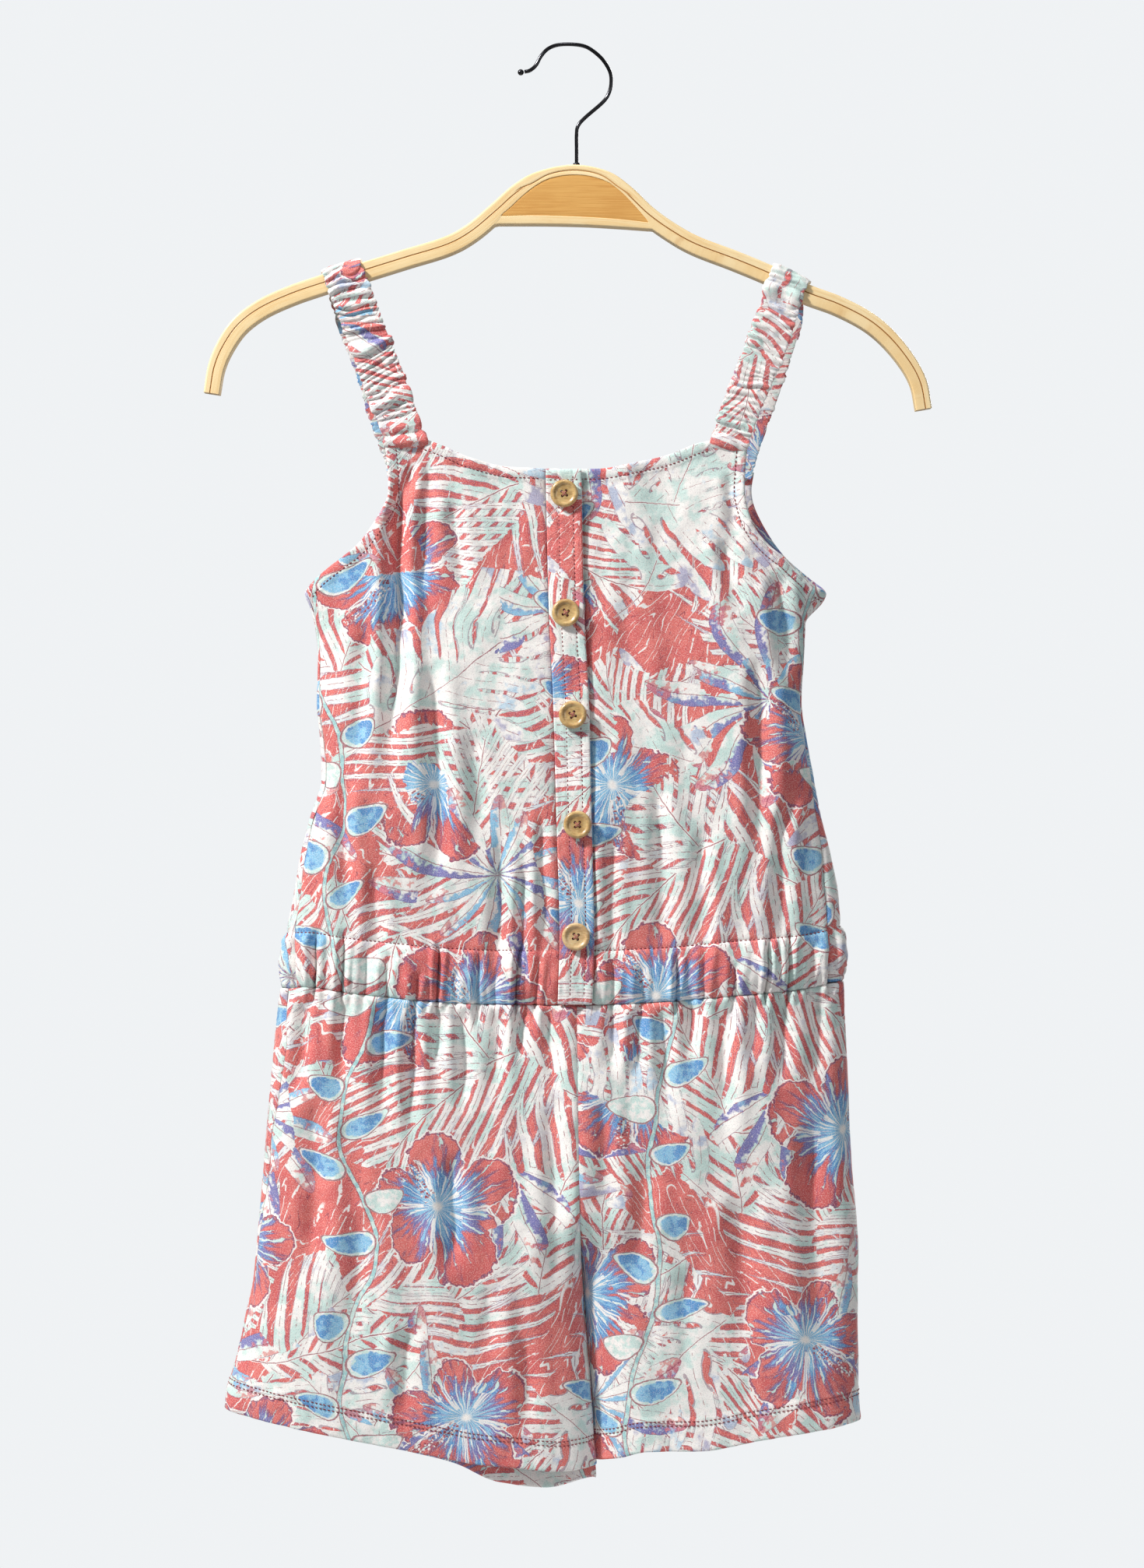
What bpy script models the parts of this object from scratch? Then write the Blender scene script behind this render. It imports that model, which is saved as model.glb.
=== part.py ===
"""Romper on a hanger: a child's strappy playsuit, buttoned down the front, hung
by its two elasticated straps on a bentwood hanger with a wire hook.

Frame: metres, +Z up, front towards -Y, +X to the right of someone facing the
front (the wearer's left).  The origin is the inner apex of the hook, where a
rail or a nail carries the whole thing.  All tables below are in millimetres.
"""
import math

import bmesh
import bpy
import numpy as np
from mathutils import Vector
from mathutils.geometry import delaunay_2d_cdt

# ---------------------------------------------------------------- sizes (mm)
WALL = 1.3              # cloth wall of a single panel
GAP = 0.3               # between pieces that lie face to face
SEAM_GAP = 0.8          # between the turned edges at a seam, where they part as they bend
PLACKET_WALL = 2.0      # folded band, two layers and interfacing
STRAP_WALL = 2.2        # cloth tube over flat elastic
SIDE_ROUND = 8          # exponent of the rounding at the side folds
INNER_ROUND = 10        # the same at the inner fold of each leg
ROW_PITCH = 24.0        # spacing of the rows of each cloth panel
COLUMN_PITCH = 11.6     # spacing of its columns across the middle
BUTTON_RADIUS, BUTTON_THICK = 8.0, 3.0
WIRE_RADIUS = 1.35
HANGER_DEPTH = 12.0     # front to back


def table(columns, *rows):
    """A short table: one named column per value, one row per section."""
    data = np.array(rows, float)
    return {name: data[:, i] for i, name in enumerate(columns.split())}


# Sections of the bodice tube: level, side folds, half depths front and back.
BODICE = table(
    "z      left    right  front back",
    (-225, -154.3, 141.8, 10.5, 10.5),
    (-306, -156.6, 144.0, 13.0, 12.0),
    (-314, -157.3, 144.9, 13.2, 12.2),
    (-322, -155.2, 141.8, 13.5, 12.5),
    (-334, -152.0, 132.4, 14.0, 13.0),
    (-356, -149.8, 131.4, 15.0, 14.0),
    (-378, -150.5, 130.3, 16.0, 15.0),
    (-400, -149.0, 133.2, 17.0, 16.0),
    (-423, -148.2, 137.3, 17.5, 16.5),
    (-446, -154.3, 141.8, 18.0, 17.0),
    (-468, -160.2, 147.2, 18.0, 17.0),
    (-491, -164.2, 151.7, 17.5, 16.5),
    (-513, -168.3, 153.2, 17.0, 16.0),
    (-536, -169.4, 154.0, 18.0, 17.0),
    (-556, -172.8, 155.3, 17.5, 16.5))

# Sections of the shorts: outer folds, inner folds of the two legs, half depths.
SHORTS = table(
    "z     out_r   in_r  in_l  out_l  front back",
    (-536, -170.0, -0.2,  0.2, 154.8, 18.0, 17.0),
    (-554, -172.8, -0.2,  0.2, 155.3, 17.5, 16.5),
    (-581, -175.9,  0.2,  0.6, 156.6, 20.0, 18.5),
    (-617, -178.7,  0.7,  1.1, 158.0, 22.5, 20.5),
    (-648, -181.3,  1.1,  1.6, 159.3, 23.5, 21.5),
    (-668, -183.0,  0.8,  2.9, 161.2, 24.0, 22.0),
    (-698, -185.8,  1.5,  3.8, 162.9, 24.0, 22.0),
    (-711, -187.2,  2.4,  5.2, 162.5, 24.0, 22.0),
    (-734, -192.2,  3.6,  7.0, 162.5, 23.5, 21.5),
    (-756, -196.7,  5.6,  9.0, 162.9, 23.0, 21.0),
    (-779, -202.5,  7.4, 10.6, 162.9, 22.5, 20.5),
    (-790, -203.4,  8.4, 11.4, 163.4, 22.0, 20.0),
    (-840, -203.8, 10.0, 12.6, 163.8, 20.0, 18.0))
CROTCH_START, CROTCH_END = -672.0, -706.0   # the rise curves under between these
LEG_SHIFT = 3.0         # the right leg lies this far forward, the left leg back

# Where the side seams run, in degrees round the side fold (+ is on the front).
SIDE_SEAM = table(
    "z    right left",
    (-300,   4,   0),
    (-380,   7,   5),
    (-446,  10,  10),
    (-490,  13,  17),
    (-530,  15,  17),
    (-556,  20,   9),
    (-575,  25,  -2),
    (-600,  20,  -4),
    (-640,  15,  -4),
    (-700,   8,  -4),
    (-760,   2,  -4),
    (-840,   0,  -4))

# Cut edges.  Armholes run from the underarm up to the outer corner of a strap.
UNDERARM_Z = -316.0
ARMHOLE_FRONT_RIGHT = table(
    "x       z",
    (-153.7, -311.0),
    (-148.3, -305.6),
    (-139.3, -298.5),
    (-130.4, -292.2),
    (-123.7, -285.5),
    (-117.8, -277.4),
    (-111.9, -267.5),
    (-108.6, -259.5),
    (-108.9, -245.0),
    (-110.2, -232.1))
NECK_FRONT = table(
    "x       z",
    ( -86.9, -227.6),
    ( -76.0, -231.8),
    ( -62.5, -237.8),
    ( -46.0, -242.5),
    ( -31.8, -244.0),
    (   0.0, -244.7),
    (  17.5, -244.2),
    (  35.4, -240.7),
    (  53.3, -236.5),
    (  67.0, -230.9),
    (  77.5, -228.3))
ARMHOLE_FRONT_LEFT = table(
    "x       z",
    (  98.1, -233.9),
    (  97.0, -247.0),
    (  96.9, -261.0),
    ( 101.7, -277.4),
    ( 110.5, -288.5),
    ( 121.0, -297.0),
    ( 129.5, -305.2),
    ( 138.0, -312.5))
ARMHOLE_BACK_RIGHT = table(
    "x       z",
    (-152.5, -309.0),
    (-140.0, -302.5),
    (-128.5, -294.0),
    (-118.0, -282.0),
    (-111.5, -269.0),
    (-108.8, -257.0),
    (-110.4, -243.2))
NECK_BACK = table(
    "x       z",
    ( -88.0, -239.2),
    ( -70.0, -243.5),
    ( -45.0, -246.5),
    (   0.0, -248.0),
    (  42.0, -246.5),
    (  64.0, -243.3),
    (  80.6, -239.6))
ARMHOLE_BACK_LEFT = table(
    "x       z",
    ( 103.0, -245.4),
    ( 101.5, -256.0),
    ( 103.5, -266.0),
    ( 110.0, -279.0),
    ( 117.6, -290.5),
    ( 126.0, -299.3),
    ( 139.0, -310.0))

WAIST_FRONT = table(
    "x       z",
    (-171.5, -543.6),
    (-154.5, -543.0),
    (-134.4, -545.8),
    (-107.0, -548.8),
    ( -83.1, -551.2),
    ( -50.0, -552.8),
    (   0.0, -553.4),
    (  53.1, -551.2),
    (  88.8, -548.0),
    ( 133.5, -544.0),
    ( 155.0, -539.5))
WAIST_BACK = table(
    "x       z",
    (-171.5, -543.6),
    (-100.0, -548.5),
    (   0.0, -551.0),
    ( 100.0, -546.0),
    ( 155.0, -539.5))

PLACKET = table(
    "z     left   right",
    (-244, -17.9,  2.7),
    (-325, -16.1,  4.2),
    (-378, -13.6,  7.0),
    (-449, -11.6,  8.6),
    (-514,  -9.9, 10.1),
    (-554, -11.0,  8.7))
BUTTONS = table(
    "x     z",
    (-7.2, -259.2),
    (-6.3, -327.9),
    (-2.3, -386.4),
    ( 0.4, -449.4),
    (-0.5, -513.7))

HEM_FRONT_RIGHT = table(
    "x       z",
    (-203.6, -786.0),
    (-192.4, -789.1),
    (-161.2, -795.8),
    (-116.5, -804.7),
    ( -80.8, -811.4),
    ( -60.0, -815.4),
    ( -36.2, -817.7),
    (  -9.4, -820.4),
    (   9.9, -818.5))
HEM_BACK_RIGHT = table(
    "x       z",
    (-203.6, -786.4),
    (-109.2, -812.0),
    ( -70.0, -821.7),
    ( -45.7, -832.0),
    ( -18.6, -834.9),
    (   9.9, -826.5))
HEM_FRONT_LEFT = table(
    "x       z",
    (  11.8, -815.9),
    (  26.3, -813.2),
    (  40.0, -809.6),
    (  71.0, -808.8),
    ( 106.7, -802.5),
    ( 137.9, -797.1),
    ( 163.8, -792.5))
HEM_BACK_LEFT = table(
    "x       z",
    (  11.8, -814.0),
    (  71.0, -808.0),
    ( 163.8, -792.7))

# Largest folds: a line down the cloth, how deep and how wide the trough is.
FOLDS_FRONT = table(
    "x_top   z_top  x_end   z_end  depth width",
    (-103.5, -246, -109.5, -442, 3.6,  8.0),
    ( -84.0, -380,  -83.0, -520, 2.0, 10.0),
    ( 118.5, -300,  110.0, -385, 2.6,  9.0),
    (  88.0, -255,   92.0, -320, 1.8,  9.0),
    ( 104.5, -390,  105.0, -520, 2.4, 10.0),
    (-113.0, -556, -111.0, -625, 2.8,  8.0),
    ( -94.0, -556,  -95.0, -640, 2.2,  8.0),
    ( -73.0, -640,  -74.0, -715, 2.2,  9.0),
    (-152.0, -610, -156.0, -730, 2.4, 10.0),
    ( -99.0, -745, -100.0, -795, 2.2, 11.0),
    (  86.0, -560,   84.0, -640, 2.0, 10.0),
    (  48.0, -556,   50.0, -620, 1.8,  9.0),
    ( 132.0, -620,  140.0, -780, 2.4, 12.0))
FOLDS_BACK = table(
    "x_top   z_top  x_end   z_end  depth width",
    ( -98.0, -300, -104.0, -470, 2.8,  9.0),
    (  40.0, -330,   44.0, -470, 1.6, 11.0),
    ( 100.0, -300,  106.0, -500, 2.6, 10.0),
    (-120.0, -556, -122.0, -640, 2.6,  9.0),
    ( -60.0, -556,  -58.0, -650, 2.0, 10.0),
    (  62.0, -556,   60.0, -640, 2.2, 10.0),
    ( 118.0, -560,  122.0, -660, 2.4, 10.0),
    ( -95.0, -690, -100.0, -790, 2.2, 12.0),
    (  92.0, -680,   96.0, -780, 2.2, 12.0))

# Straps: centre line down the front and down the back, the tilt of the cross
# line in degrees, width and distance from the mid plane.
STRAP_RIGHT_FRONT = table(
    "x       z       tilt  width y",
    (-131.9, -139.5, 17.0, 23.3, -7.6),
    (-127.4, -149.9, 18.0, 23.6, -7.8),
    (-122.9, -162.9, 18.5, 24.4, -8.2),
    (-117.5, -177.2, 19.0, 24.8, -8.7),
    (-111.7, -192.5, 19.0, 25.2, -9.2),
    (-106.0, -207.8, 18.0, 24.2, -9.8),
    (-101.2, -220.5, 14.0, 23.6, -10.2),
    ( -98.6, -229.2, 11.0, 23.6, -10.5))
STRAP_RIGHT_BACK = table(
    "x       z       tilt  width y",
    (-132.6, -140.0, 17.0, 23.3, 7.6),
    (-128.0, -155.0, 18.0, 24.0, 8.0),
    (-122.4, -170.1, 18.5, 24.6, 8.5),
    (-115.6, -188.2, 18.5, 25.0, 9.2),
    (-109.9, -208.5, 17.5, 24.4, 9.7),
    (-103.6, -226.5, 13.0, 23.4, 10.0),
    ( -99.3, -240.4, 10.0, 22.8, 10.2))
STRAP_LEFT_FRONT = table(
    "x       z       tilt  width y",
    ( 119.6, -142.0, -25.0, 23.6, -7.6),
    ( 116.6, -153.0, -22.0, 23.8, -7.8),
    ( 112.6, -164.5, -20.0, 24.2, -8.2),
    ( 107.6, -178.4, -20.0, 24.4, -8.7),
    ( 102.0, -191.8, -19.0, 23.6, -9.2),
    (  96.8, -204.5, -18.0, 23.2, -9.7),
    (  91.6, -218.0, -16.0, 22.6, -10.2),
    (  88.0, -230.4, -14.6, 21.4, -10.5))
STRAP_LEFT_BACK = table(
    "x       z       tilt  width y",
    ( 121.0, -142.0, -25.0, 23.6, 7.6),
    ( 120.0, -155.0, -21.0, 23.8, 8.0),
    ( 115.2, -170.1, -19.0, 24.4, 8.5),
    ( 110.2, -183.7, -18.0, 24.6, 9.0),
    ( 104.3, -201.7, -18.0, 24.2, 9.5),
    (  97.4, -222.0, -16.0, 23.2, 10.0),
    (  92.0, -241.6, -14.0, 22.6, 10.2))
STRAP_TOPS = table(     # centre of each strap on the top edge of the hanger
    "x       z       tilt  width",
    (-135.5, -128.7, 17.0, 23.3),
    ( 123.6, -132.2, -26.5, 23.6))

# Hanger: its top edge from tip to tip, with the thickness of the upper strip
# and of the lower one, square to the edge.
BOW = table(
    "x       z       upper lower",
    (-215.3, -200.0, 3.6, 5.4),
    (-212.8, -184.5, 3.8, 5.6),
    (-207.4, -171.0, 4.1, 5.8),
    (-198.4, -157.9, 4.4, 5.9),
    (-184.8, -147.4, 4.6, 5.9),
    (-166.8, -139.0, 4.7, 5.9),
    (-147.2, -132.3, 4.7, 5.9),
    (-122.0, -124.6, 4.7, 5.8),
    ( -99.5, -117.6, 4.7, 5.8),
    ( -77.0, -110.7, 4.7, 5.7),
    ( -63.5, -103.4, 4.7, 5.6),
    ( -50.0,  -92.2, 4.8, 5.4),
    ( -36.5,  -80.4, 5.1, 5.0),
    ( -22.9,  -72.9, 5.3, 5.0),
    (  -2.2,  -68.8, 5.4, 5.0),
    (  17.6,  -72.4, 5.3, 5.0),
    (  31.0,  -81.2, 5.1, 5.0),
    (  44.5,  -93.8, 4.8, 5.2),
    (  58.0, -103.4, 4.7, 5.4),
    (  71.5, -110.7, 4.7, 5.6),
    (  94.0, -119.2, 4.7, 5.8),
    ( 116.5, -128.7, 4.7, 5.8),
    ( 134.6, -138.1, 4.7, 5.9),
    ( 152.6, -144.9, 4.6, 5.9),
    ( 170.6, -154.3, 4.5, 5.9),
    ( 183.6, -165.2, 4.3, 5.8),
    ( 195.3, -180.0, 4.0, 5.6),
    ( 202.1, -193.5, 3.8, 5.5),
    ( 205.0, -209.0, 3.6, 5.4))
BAR = table(            # the lower strip where it runs straight under the panel
    "x       top     bottom",
    ( -43.2,  -98.6, -103.3),
    ( -25.0,  -98.2, -103.3),
    (   0.0,  -98.9, -103.7),
    (  25.0, -100.5, -105.0),
    (  41.4, -102.3, -106.2))
HOOK = table(
    "x      z",
    (-30.2, -14.5),
    (-27.0, -13.7),
    (-23.6, -10.8),
    (-20.7,  -5.6),
    (-16.7,  -1.3),
    (-11.0,   1.0),
    ( -3.2,   1.4),
    (  4.0,   0.4),
    (  9.4,  -2.4),
    ( 15.3,  -7.8),
    ( 19.2, -14.4),
    ( 20.0, -20.2),
    ( 18.9, -26.1),
    ( 15.3, -31.9),
    (  5.0, -40.9),
    (  0.9, -45.6),
    (  0.0, -50.5),
    (  0.0, -60.0),
    (  0.0, -72.6))

# ------------------------------------------------------------- plain algebra


def curve(x, y):
    """Smooth curve through a table's rows that never overshoots a row."""
    x, y = np.asarray(x, float), np.asarray(y, float)
    if x[0] > x[-1]:
        x, y = x[::-1], y[::-1]
    h, d = np.diff(x), np.diff(y) / np.diff(x)
    m = np.zeros_like(y)
    for i in range(1, len(x) - 1):
        if d[i - 1] * d[i] > 0:
            a, b = 2 * h[i] + h[i - 1], h[i] + 2 * h[i - 1]
            m[i] = (a + b) / (a / d[i - 1] + b / d[i])
    m[0], m[-1] = d[0], d[-1]

    def value(t):
        t = np.clip(np.asarray(t, float), x[0], x[-1])
        i = np.clip(np.searchsorted(x, t) - 1, 0, len(x) - 2)
        u = (t - x[i]) / h[i]
        return ((2 * u**3 - 3 * u**2 + 1) * y[i] + (u**3 - 2 * u**2 + u) * h[i] * m[i]
                + (3 * u**2 - 2 * u**3) * y[i + 1] + (u**3 - u**2) * h[i] * m[i + 1])
    return value


def smooth(t):
    t = np.clip(t, 0.0, 1.0)
    return t * t * (3 - 2 * t)


def trough(folds, x, z):
    """How far the folds push the cloth inwards at a point."""
    total = np.zeros_like(np.asarray(x, float) + np.asarray(z, float))
    for xt, zt, xe, ze, depth, width in zip(*folds.values()):
        u = (z - zt) / (ze - zt)
        line = xt + (xe - xt) * np.clip(u, 0, 1)
        along = smooth(u / 0.18) * smooth((1 - u) / 0.3)
        total = total + depth * along * np.exp(-((x - line) / width) ** 2)
    return total


LEFT, RIGHT = curve(BODICE["z"], BODICE["left"]), curve(BODICE["z"], BODICE["right"])
DEPTH = {-1: curve(BODICE["z"], BODICE["front"]), 1: curve(BODICE["z"], BODICE["back"])}
OUT = {"right": curve(SHORTS["z"], SHORTS["out_r"]), "left": curve(SHORTS["z"], SHORTS["out_l"])}
INN = {"right": curve(SHORTS["z"], SHORTS["in_r"]), "left": curve(SHORTS["z"], SHORTS["in_l"])}
LEG_DEPTH = {-1: curve(SHORTS["z"], SHORTS["front"]), 1: curve(SHORTS["z"], SHORTS["back"])}
SEAM = {"right": curve(SIDE_SEAM["z"], SIDE_SEAM["right"]), "left": curve(SIDE_SEAM["z"], SIDE_SEAM["left"])}
FOLDS = {-1: FOLDS_FRONT, 1: FOLDS_BACK}


class Bodice:
    """The bodice tube seen from the front (face -1) or from the back (face 1).
    A point is found by the angle round the section, 0 at the middle of the
    face and 90 degrees at the side folds, and by its level."""

    def __init__(self, face):
        self.face = face
        self.levels = np.arange(-560.0, -219.0, 5.0)
        self.angles = np.radians(np.linspace(-128, 128, 257))
        self._measure()

    def _measure(self):
        a, z = np.meshgrid(self.angles, self.levels)
        x, y = self.flat(a, z)
        step = np.hypot(np.diff(x, axis=1), np.diff(y, axis=1))
        run = np.concatenate([np.zeros((len(self.levels), 1)), np.cumsum(step, axis=1)], axis=1)
        mid = len(self.angles) // 2
        self.run = run - run[:, mid:mid + 1]

    def flat(self, a, z):
        xl, xr = LEFT(z) + 0.7, RIGHT(z) - 0.7
        s = np.sin(a)
        f = np.cos(a) * np.sqrt(sum(s ** (2 * i) for i in range(SIDE_ROUND // 2)))
        depth = np.where(f >= 0, DEPTH[self.face](z), DEPTH[-self.face](z))
        return (xl + xr) / 2 + (xr - xl) / 2 * s, self.face * depth * f

    def angle(self, x, z):
        xl, xr = LEFT(z) + 0.7, RIGHT(z) - 0.7
        return np.arcsin(np.clip((x - (xl + xr) / 2) / ((xr - xl) / 2), -1, 1))

    def span(self, a, z):
        """Distance along the cloth from the middle of the face."""
        i = int(np.clip((z - self.levels[0]) / 5.0, 0, len(self.levels) - 2))
        u = (z - self.levels[i]) / 5.0
        lo, hi = (np.interp(a, self.angles, self.run[j]) for j in (i, i + 1))
        return lo + (hi - lo) * u

    def place(self, q, z):
        i = int(np.clip((z - self.levels[0]) / 5.0, 0, len(self.levels) - 2))
        u = (z - self.levels[i]) / 5.0
        lo, hi = (np.interp(q, self.run[j], self.angles) for j in (i, i + 1))
        return self.point(lo + (hi - lo) * u, z)

    def point(self, a, z):
        x, y = self.flat(a, z)
        side = -1 if y < 0 else 1
        return np.array([x, y - side * float(trough(FOLDS[side], x, z)), z])


class Leg(Bodice):
    """One half of the shorts: half the hip tube above the crotch, a tube of its
    own below.  The angle is -90 degrees at the outer fold and 90 at the inner."""

    def __init__(self, face, side):
        self.side = side
        self.face = face
        self.levels = np.arange(-845.0, -529.0, 5.0)
        self.angles = np.radians(np.linspace(-128, 90, 219))
        self._measure()

    def flat(self, a, z):
        turn = 1 if self.side == "right" else -1
        xo, xi = OUT[self.side](z) + 0.7 * turn, INN[self.side](z) - 0.15 * turn
        h = (1 + np.sin(a)) / 2
        outer = np.sqrt(np.clip(1 - (1 - h) ** SIDE_ROUND, 0, 1)) * np.sign(a + math.pi / 2)
        inner = np.sqrt(np.clip(1 - h ** INNER_ROUND, 0, 1))
        k = smooth((CROTCH_START - z) / (CROTCH_START - CROTCH_END))
        depth = np.where(outer >= 0, LEG_DEPTH[self.face](z), LEG_DEPTH[-self.face](z))
        y = self.face * depth * outer * (1 - k + k * inner)
        return xo + (xi - xo) * h, y - turn * LEG_SHIFT * k * smooth(h)

    def angle(self, x, z):
        turn = 1 if self.side == "right" else -1
        xo, xi = OUT[self.side](z) + 0.7 * turn, INN[self.side](z) - 0.15 * turn
        return np.arcsin(np.clip(2 * (x - xo) / (xi - xo) - 1, -1, 1))


# ------------------------------------------------------------ Blender helpers

COLLECTION = None


def clear():
    for item in list(bpy.context.scene.objects):
        bpy.data.objects.remove(item, do_unlink=True)


def material(name, colour, roughness, metallic=0.0):
    mat = bpy.data.materials.new(name)
    mat.use_nodes = True
    shader = mat.node_tree.nodes["Principled BSDF"]
    shader.inputs["Base Color"].default_value = (*colour, 1.0)
    shader.inputs["Roughness"].default_value = roughness
    shader.inputs["Metallic"].default_value = metallic
    return mat


def add(name, data, mat):
    item = bpy.data.objects.new(name, data)
    item.data.materials.append(mat)
    COLLECTION.objects.link(item)
    return item


def shade(mesh, angle=35.0):
    mesh.shade_smooth()
    mesh.set_sharp_from_angle(angle=math.radians(angle))


def thicken(item, thickness):
    shell = item.modifiers.new("wall", "SOLIDIFY")
    shell.thickness = thickness / 1000.0
    shell.offset = 0.0
    shell.use_rim = True


def sheet(name, points, faces, outward, wall, mat):
    """An open sheet of cloth through the points, turned to face outward, with
    its wall given by Solidify."""
    mesh = bpy.data.meshes.new(name)
    mesh.from_pydata([tuple(p / 1000.0 for p in point) for point in points], [], faces)
    mesh.update()
    lean = sum((f.normal * f.area for f in mesh.polygons), Vector()).dot(Vector(outward))
    if lean < 0:
        mesh.flip_normals()
    shade(mesh)
    item = add(name, mesh, mat)
    thicken(item, wall)
    return item


def loft(name, sections, mat, angle=35.0):
    """A closed solid through sections with the same number of corners."""
    bm = bmesh.new()
    rings = [[bm.verts.new(Vector(p) / 1000.0) for p in ring] for ring in sections]
    count = len(rings[0])
    for a, b in zip(rings, rings[1:]):
        for i in range(count):
            j = (i + 1) % count
            bm.faces.new((a[i], a[j], b[j], b[i]))
    bm.faces.new(rings[0][::-1])
    bm.faces.new(rings[-1])
    bmesh.ops.recalc_face_normals(bm, faces=bm.faces)
    mesh = bpy.data.meshes.new(name)
    bm.to_mesh(mesh)
    bm.free()
    shade(mesh, angle)
    return add(name, mesh, mat)


def resample(points, pitch):
    """Even points along an open polyline, keeping both ends."""
    points = np.array(points, float)
    run = np.concatenate([[0], np.cumsum(np.linalg.norm(np.diff(points, axis=0), axis=1))])
    count = max(1, int(round(run[-1] / pitch)))
    at = np.linspace(0, run[-1], count + 1)
    return np.stack([np.interp(at, run, points[:, i]) for i in range(points.shape[1])], axis=1)


SQUASH = 0.45           # rows are further apart than columns


def cut_panel(name, tube, edge, outward, mat, columns, rows):
    """Cut one piece out of the tube.  `edge` is its closed outline, as pairs of
    distance along the cloth and level; the inside is filled on rows and columns."""
    edge = [np.array(p, float) for p in edge]
    loop = []
    for p in edge:
        if not loop or np.linalg.norm(p - loop[-1]) > 0.6:
            loop.append(p)
    if np.linalg.norm(loop[0] - loop[-1]) < 0.6:
        loop.pop()
    ring = np.array([(p[0], p[1] * SQUASH) for p in loop])
    nxt = np.roll(ring, -1, axis=0)

    def within(p):
        inside = False
        for (x1, y1), (x2, y2) in zip(ring, nxt):
            if (y1 > p[1]) != (y2 > p[1]) and p[0] < (x2 - x1) * (p[1] - y1) / (y2 - y1) + x1:
                inside = not inside
        return inside

    inner = []
    for z in rows:
        for a in columns:
            q = float(tube.span(a, z))
            p = np.array([q, z * SQUASH])
            if not within(p):
                continue
            d = nxt - ring
            t = np.clip(((p - ring) * d).sum(1) / (d * d).sum(1), 0, 1)
            away = np.linalg.norm(ring + d * t[:, None] - p, axis=1).min()
            gap = 0.32 * min(COLUMN_PITCH, 3.0 + abs(math.cos(a)) * COLUMN_PITCH)
            if away > gap:
                inner.append((q, z * SQUASH))
    coords = [Vector(p) for p in ring] + [Vector(p) for p in inner]
    sides = [(i, (i + 1) % len(ring)) for i in range(len(ring))]
    out = delaunay_2d_cdt(coords, sides, [], 1, 1e-4, False)
    points = [tube.place(float(v[0]), float(v[1]) / SQUASH) for v in out[0]]
    kept = [tuple(f) for f in out[2] if within(sum((out[0][i] for i in f), Vector((0, 0))) / 3)]
    return sheet(name, points, kept, outward, WALL, mat)


def column_angles(tube, level, low, high):
    """Angles of the columns: close together round a side fold, even elsewhere."""
    start, end = (float(tube.span(math.radians(v), level)) for v in (low, high))
    fold = float(tube.span(-math.pi / 2, level))
    other = float(tube.span(math.pi / 2, level))
    marks, q = [], start
    while q < end:
        marks.append(q)
        near = min(abs(q - fold), abs(q - other))
        q += min(COLUMN_PITCH, 1.7 + 0.45 * near)
    row = np.array([float(tube.span(a, level)) for a in tube.angles])
    return [float(np.interp(m, row, tube.angles)) for m in marks]


def offset_edge(tube, angle, level, shift):
    """A point on a seam, moved along the cloth by `shift`."""
    return (float(tube.span(angle, level)) + shift, level)


def along(tube, tab, clip_low=-1e9, clip_high=1e9, pitch=8.0):
    """A cut edge given by a table of x and level, as a path on the cloth."""
    pts = resample(list(zip(tab["x"], tab["z"])), pitch)
    return [(float(tube.span(float(tube.angle(x, z)), z)), z) for x, z in pts if clip_low <= x <= clip_high]


def level_edge(tube, line, start, end, drop=0.0, pitch=COLUMN_PITCH):
    """A nearly level edge z = line(x) between two angles, `drop` lower."""
    path = []
    count = max(4, int(abs(end - start) / 0.055))
    for a in np.linspace(start, end, count + 1):
        z = -550.0
        for _ in range(3):
            x = float(tube.flat(np.array(a), np.array(z))[0])
            z = float(line(x)) - drop
        path.append((float(tube.span(a, z)), z))
    return path


# ------------------------------------------------------------------ the cloth

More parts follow.
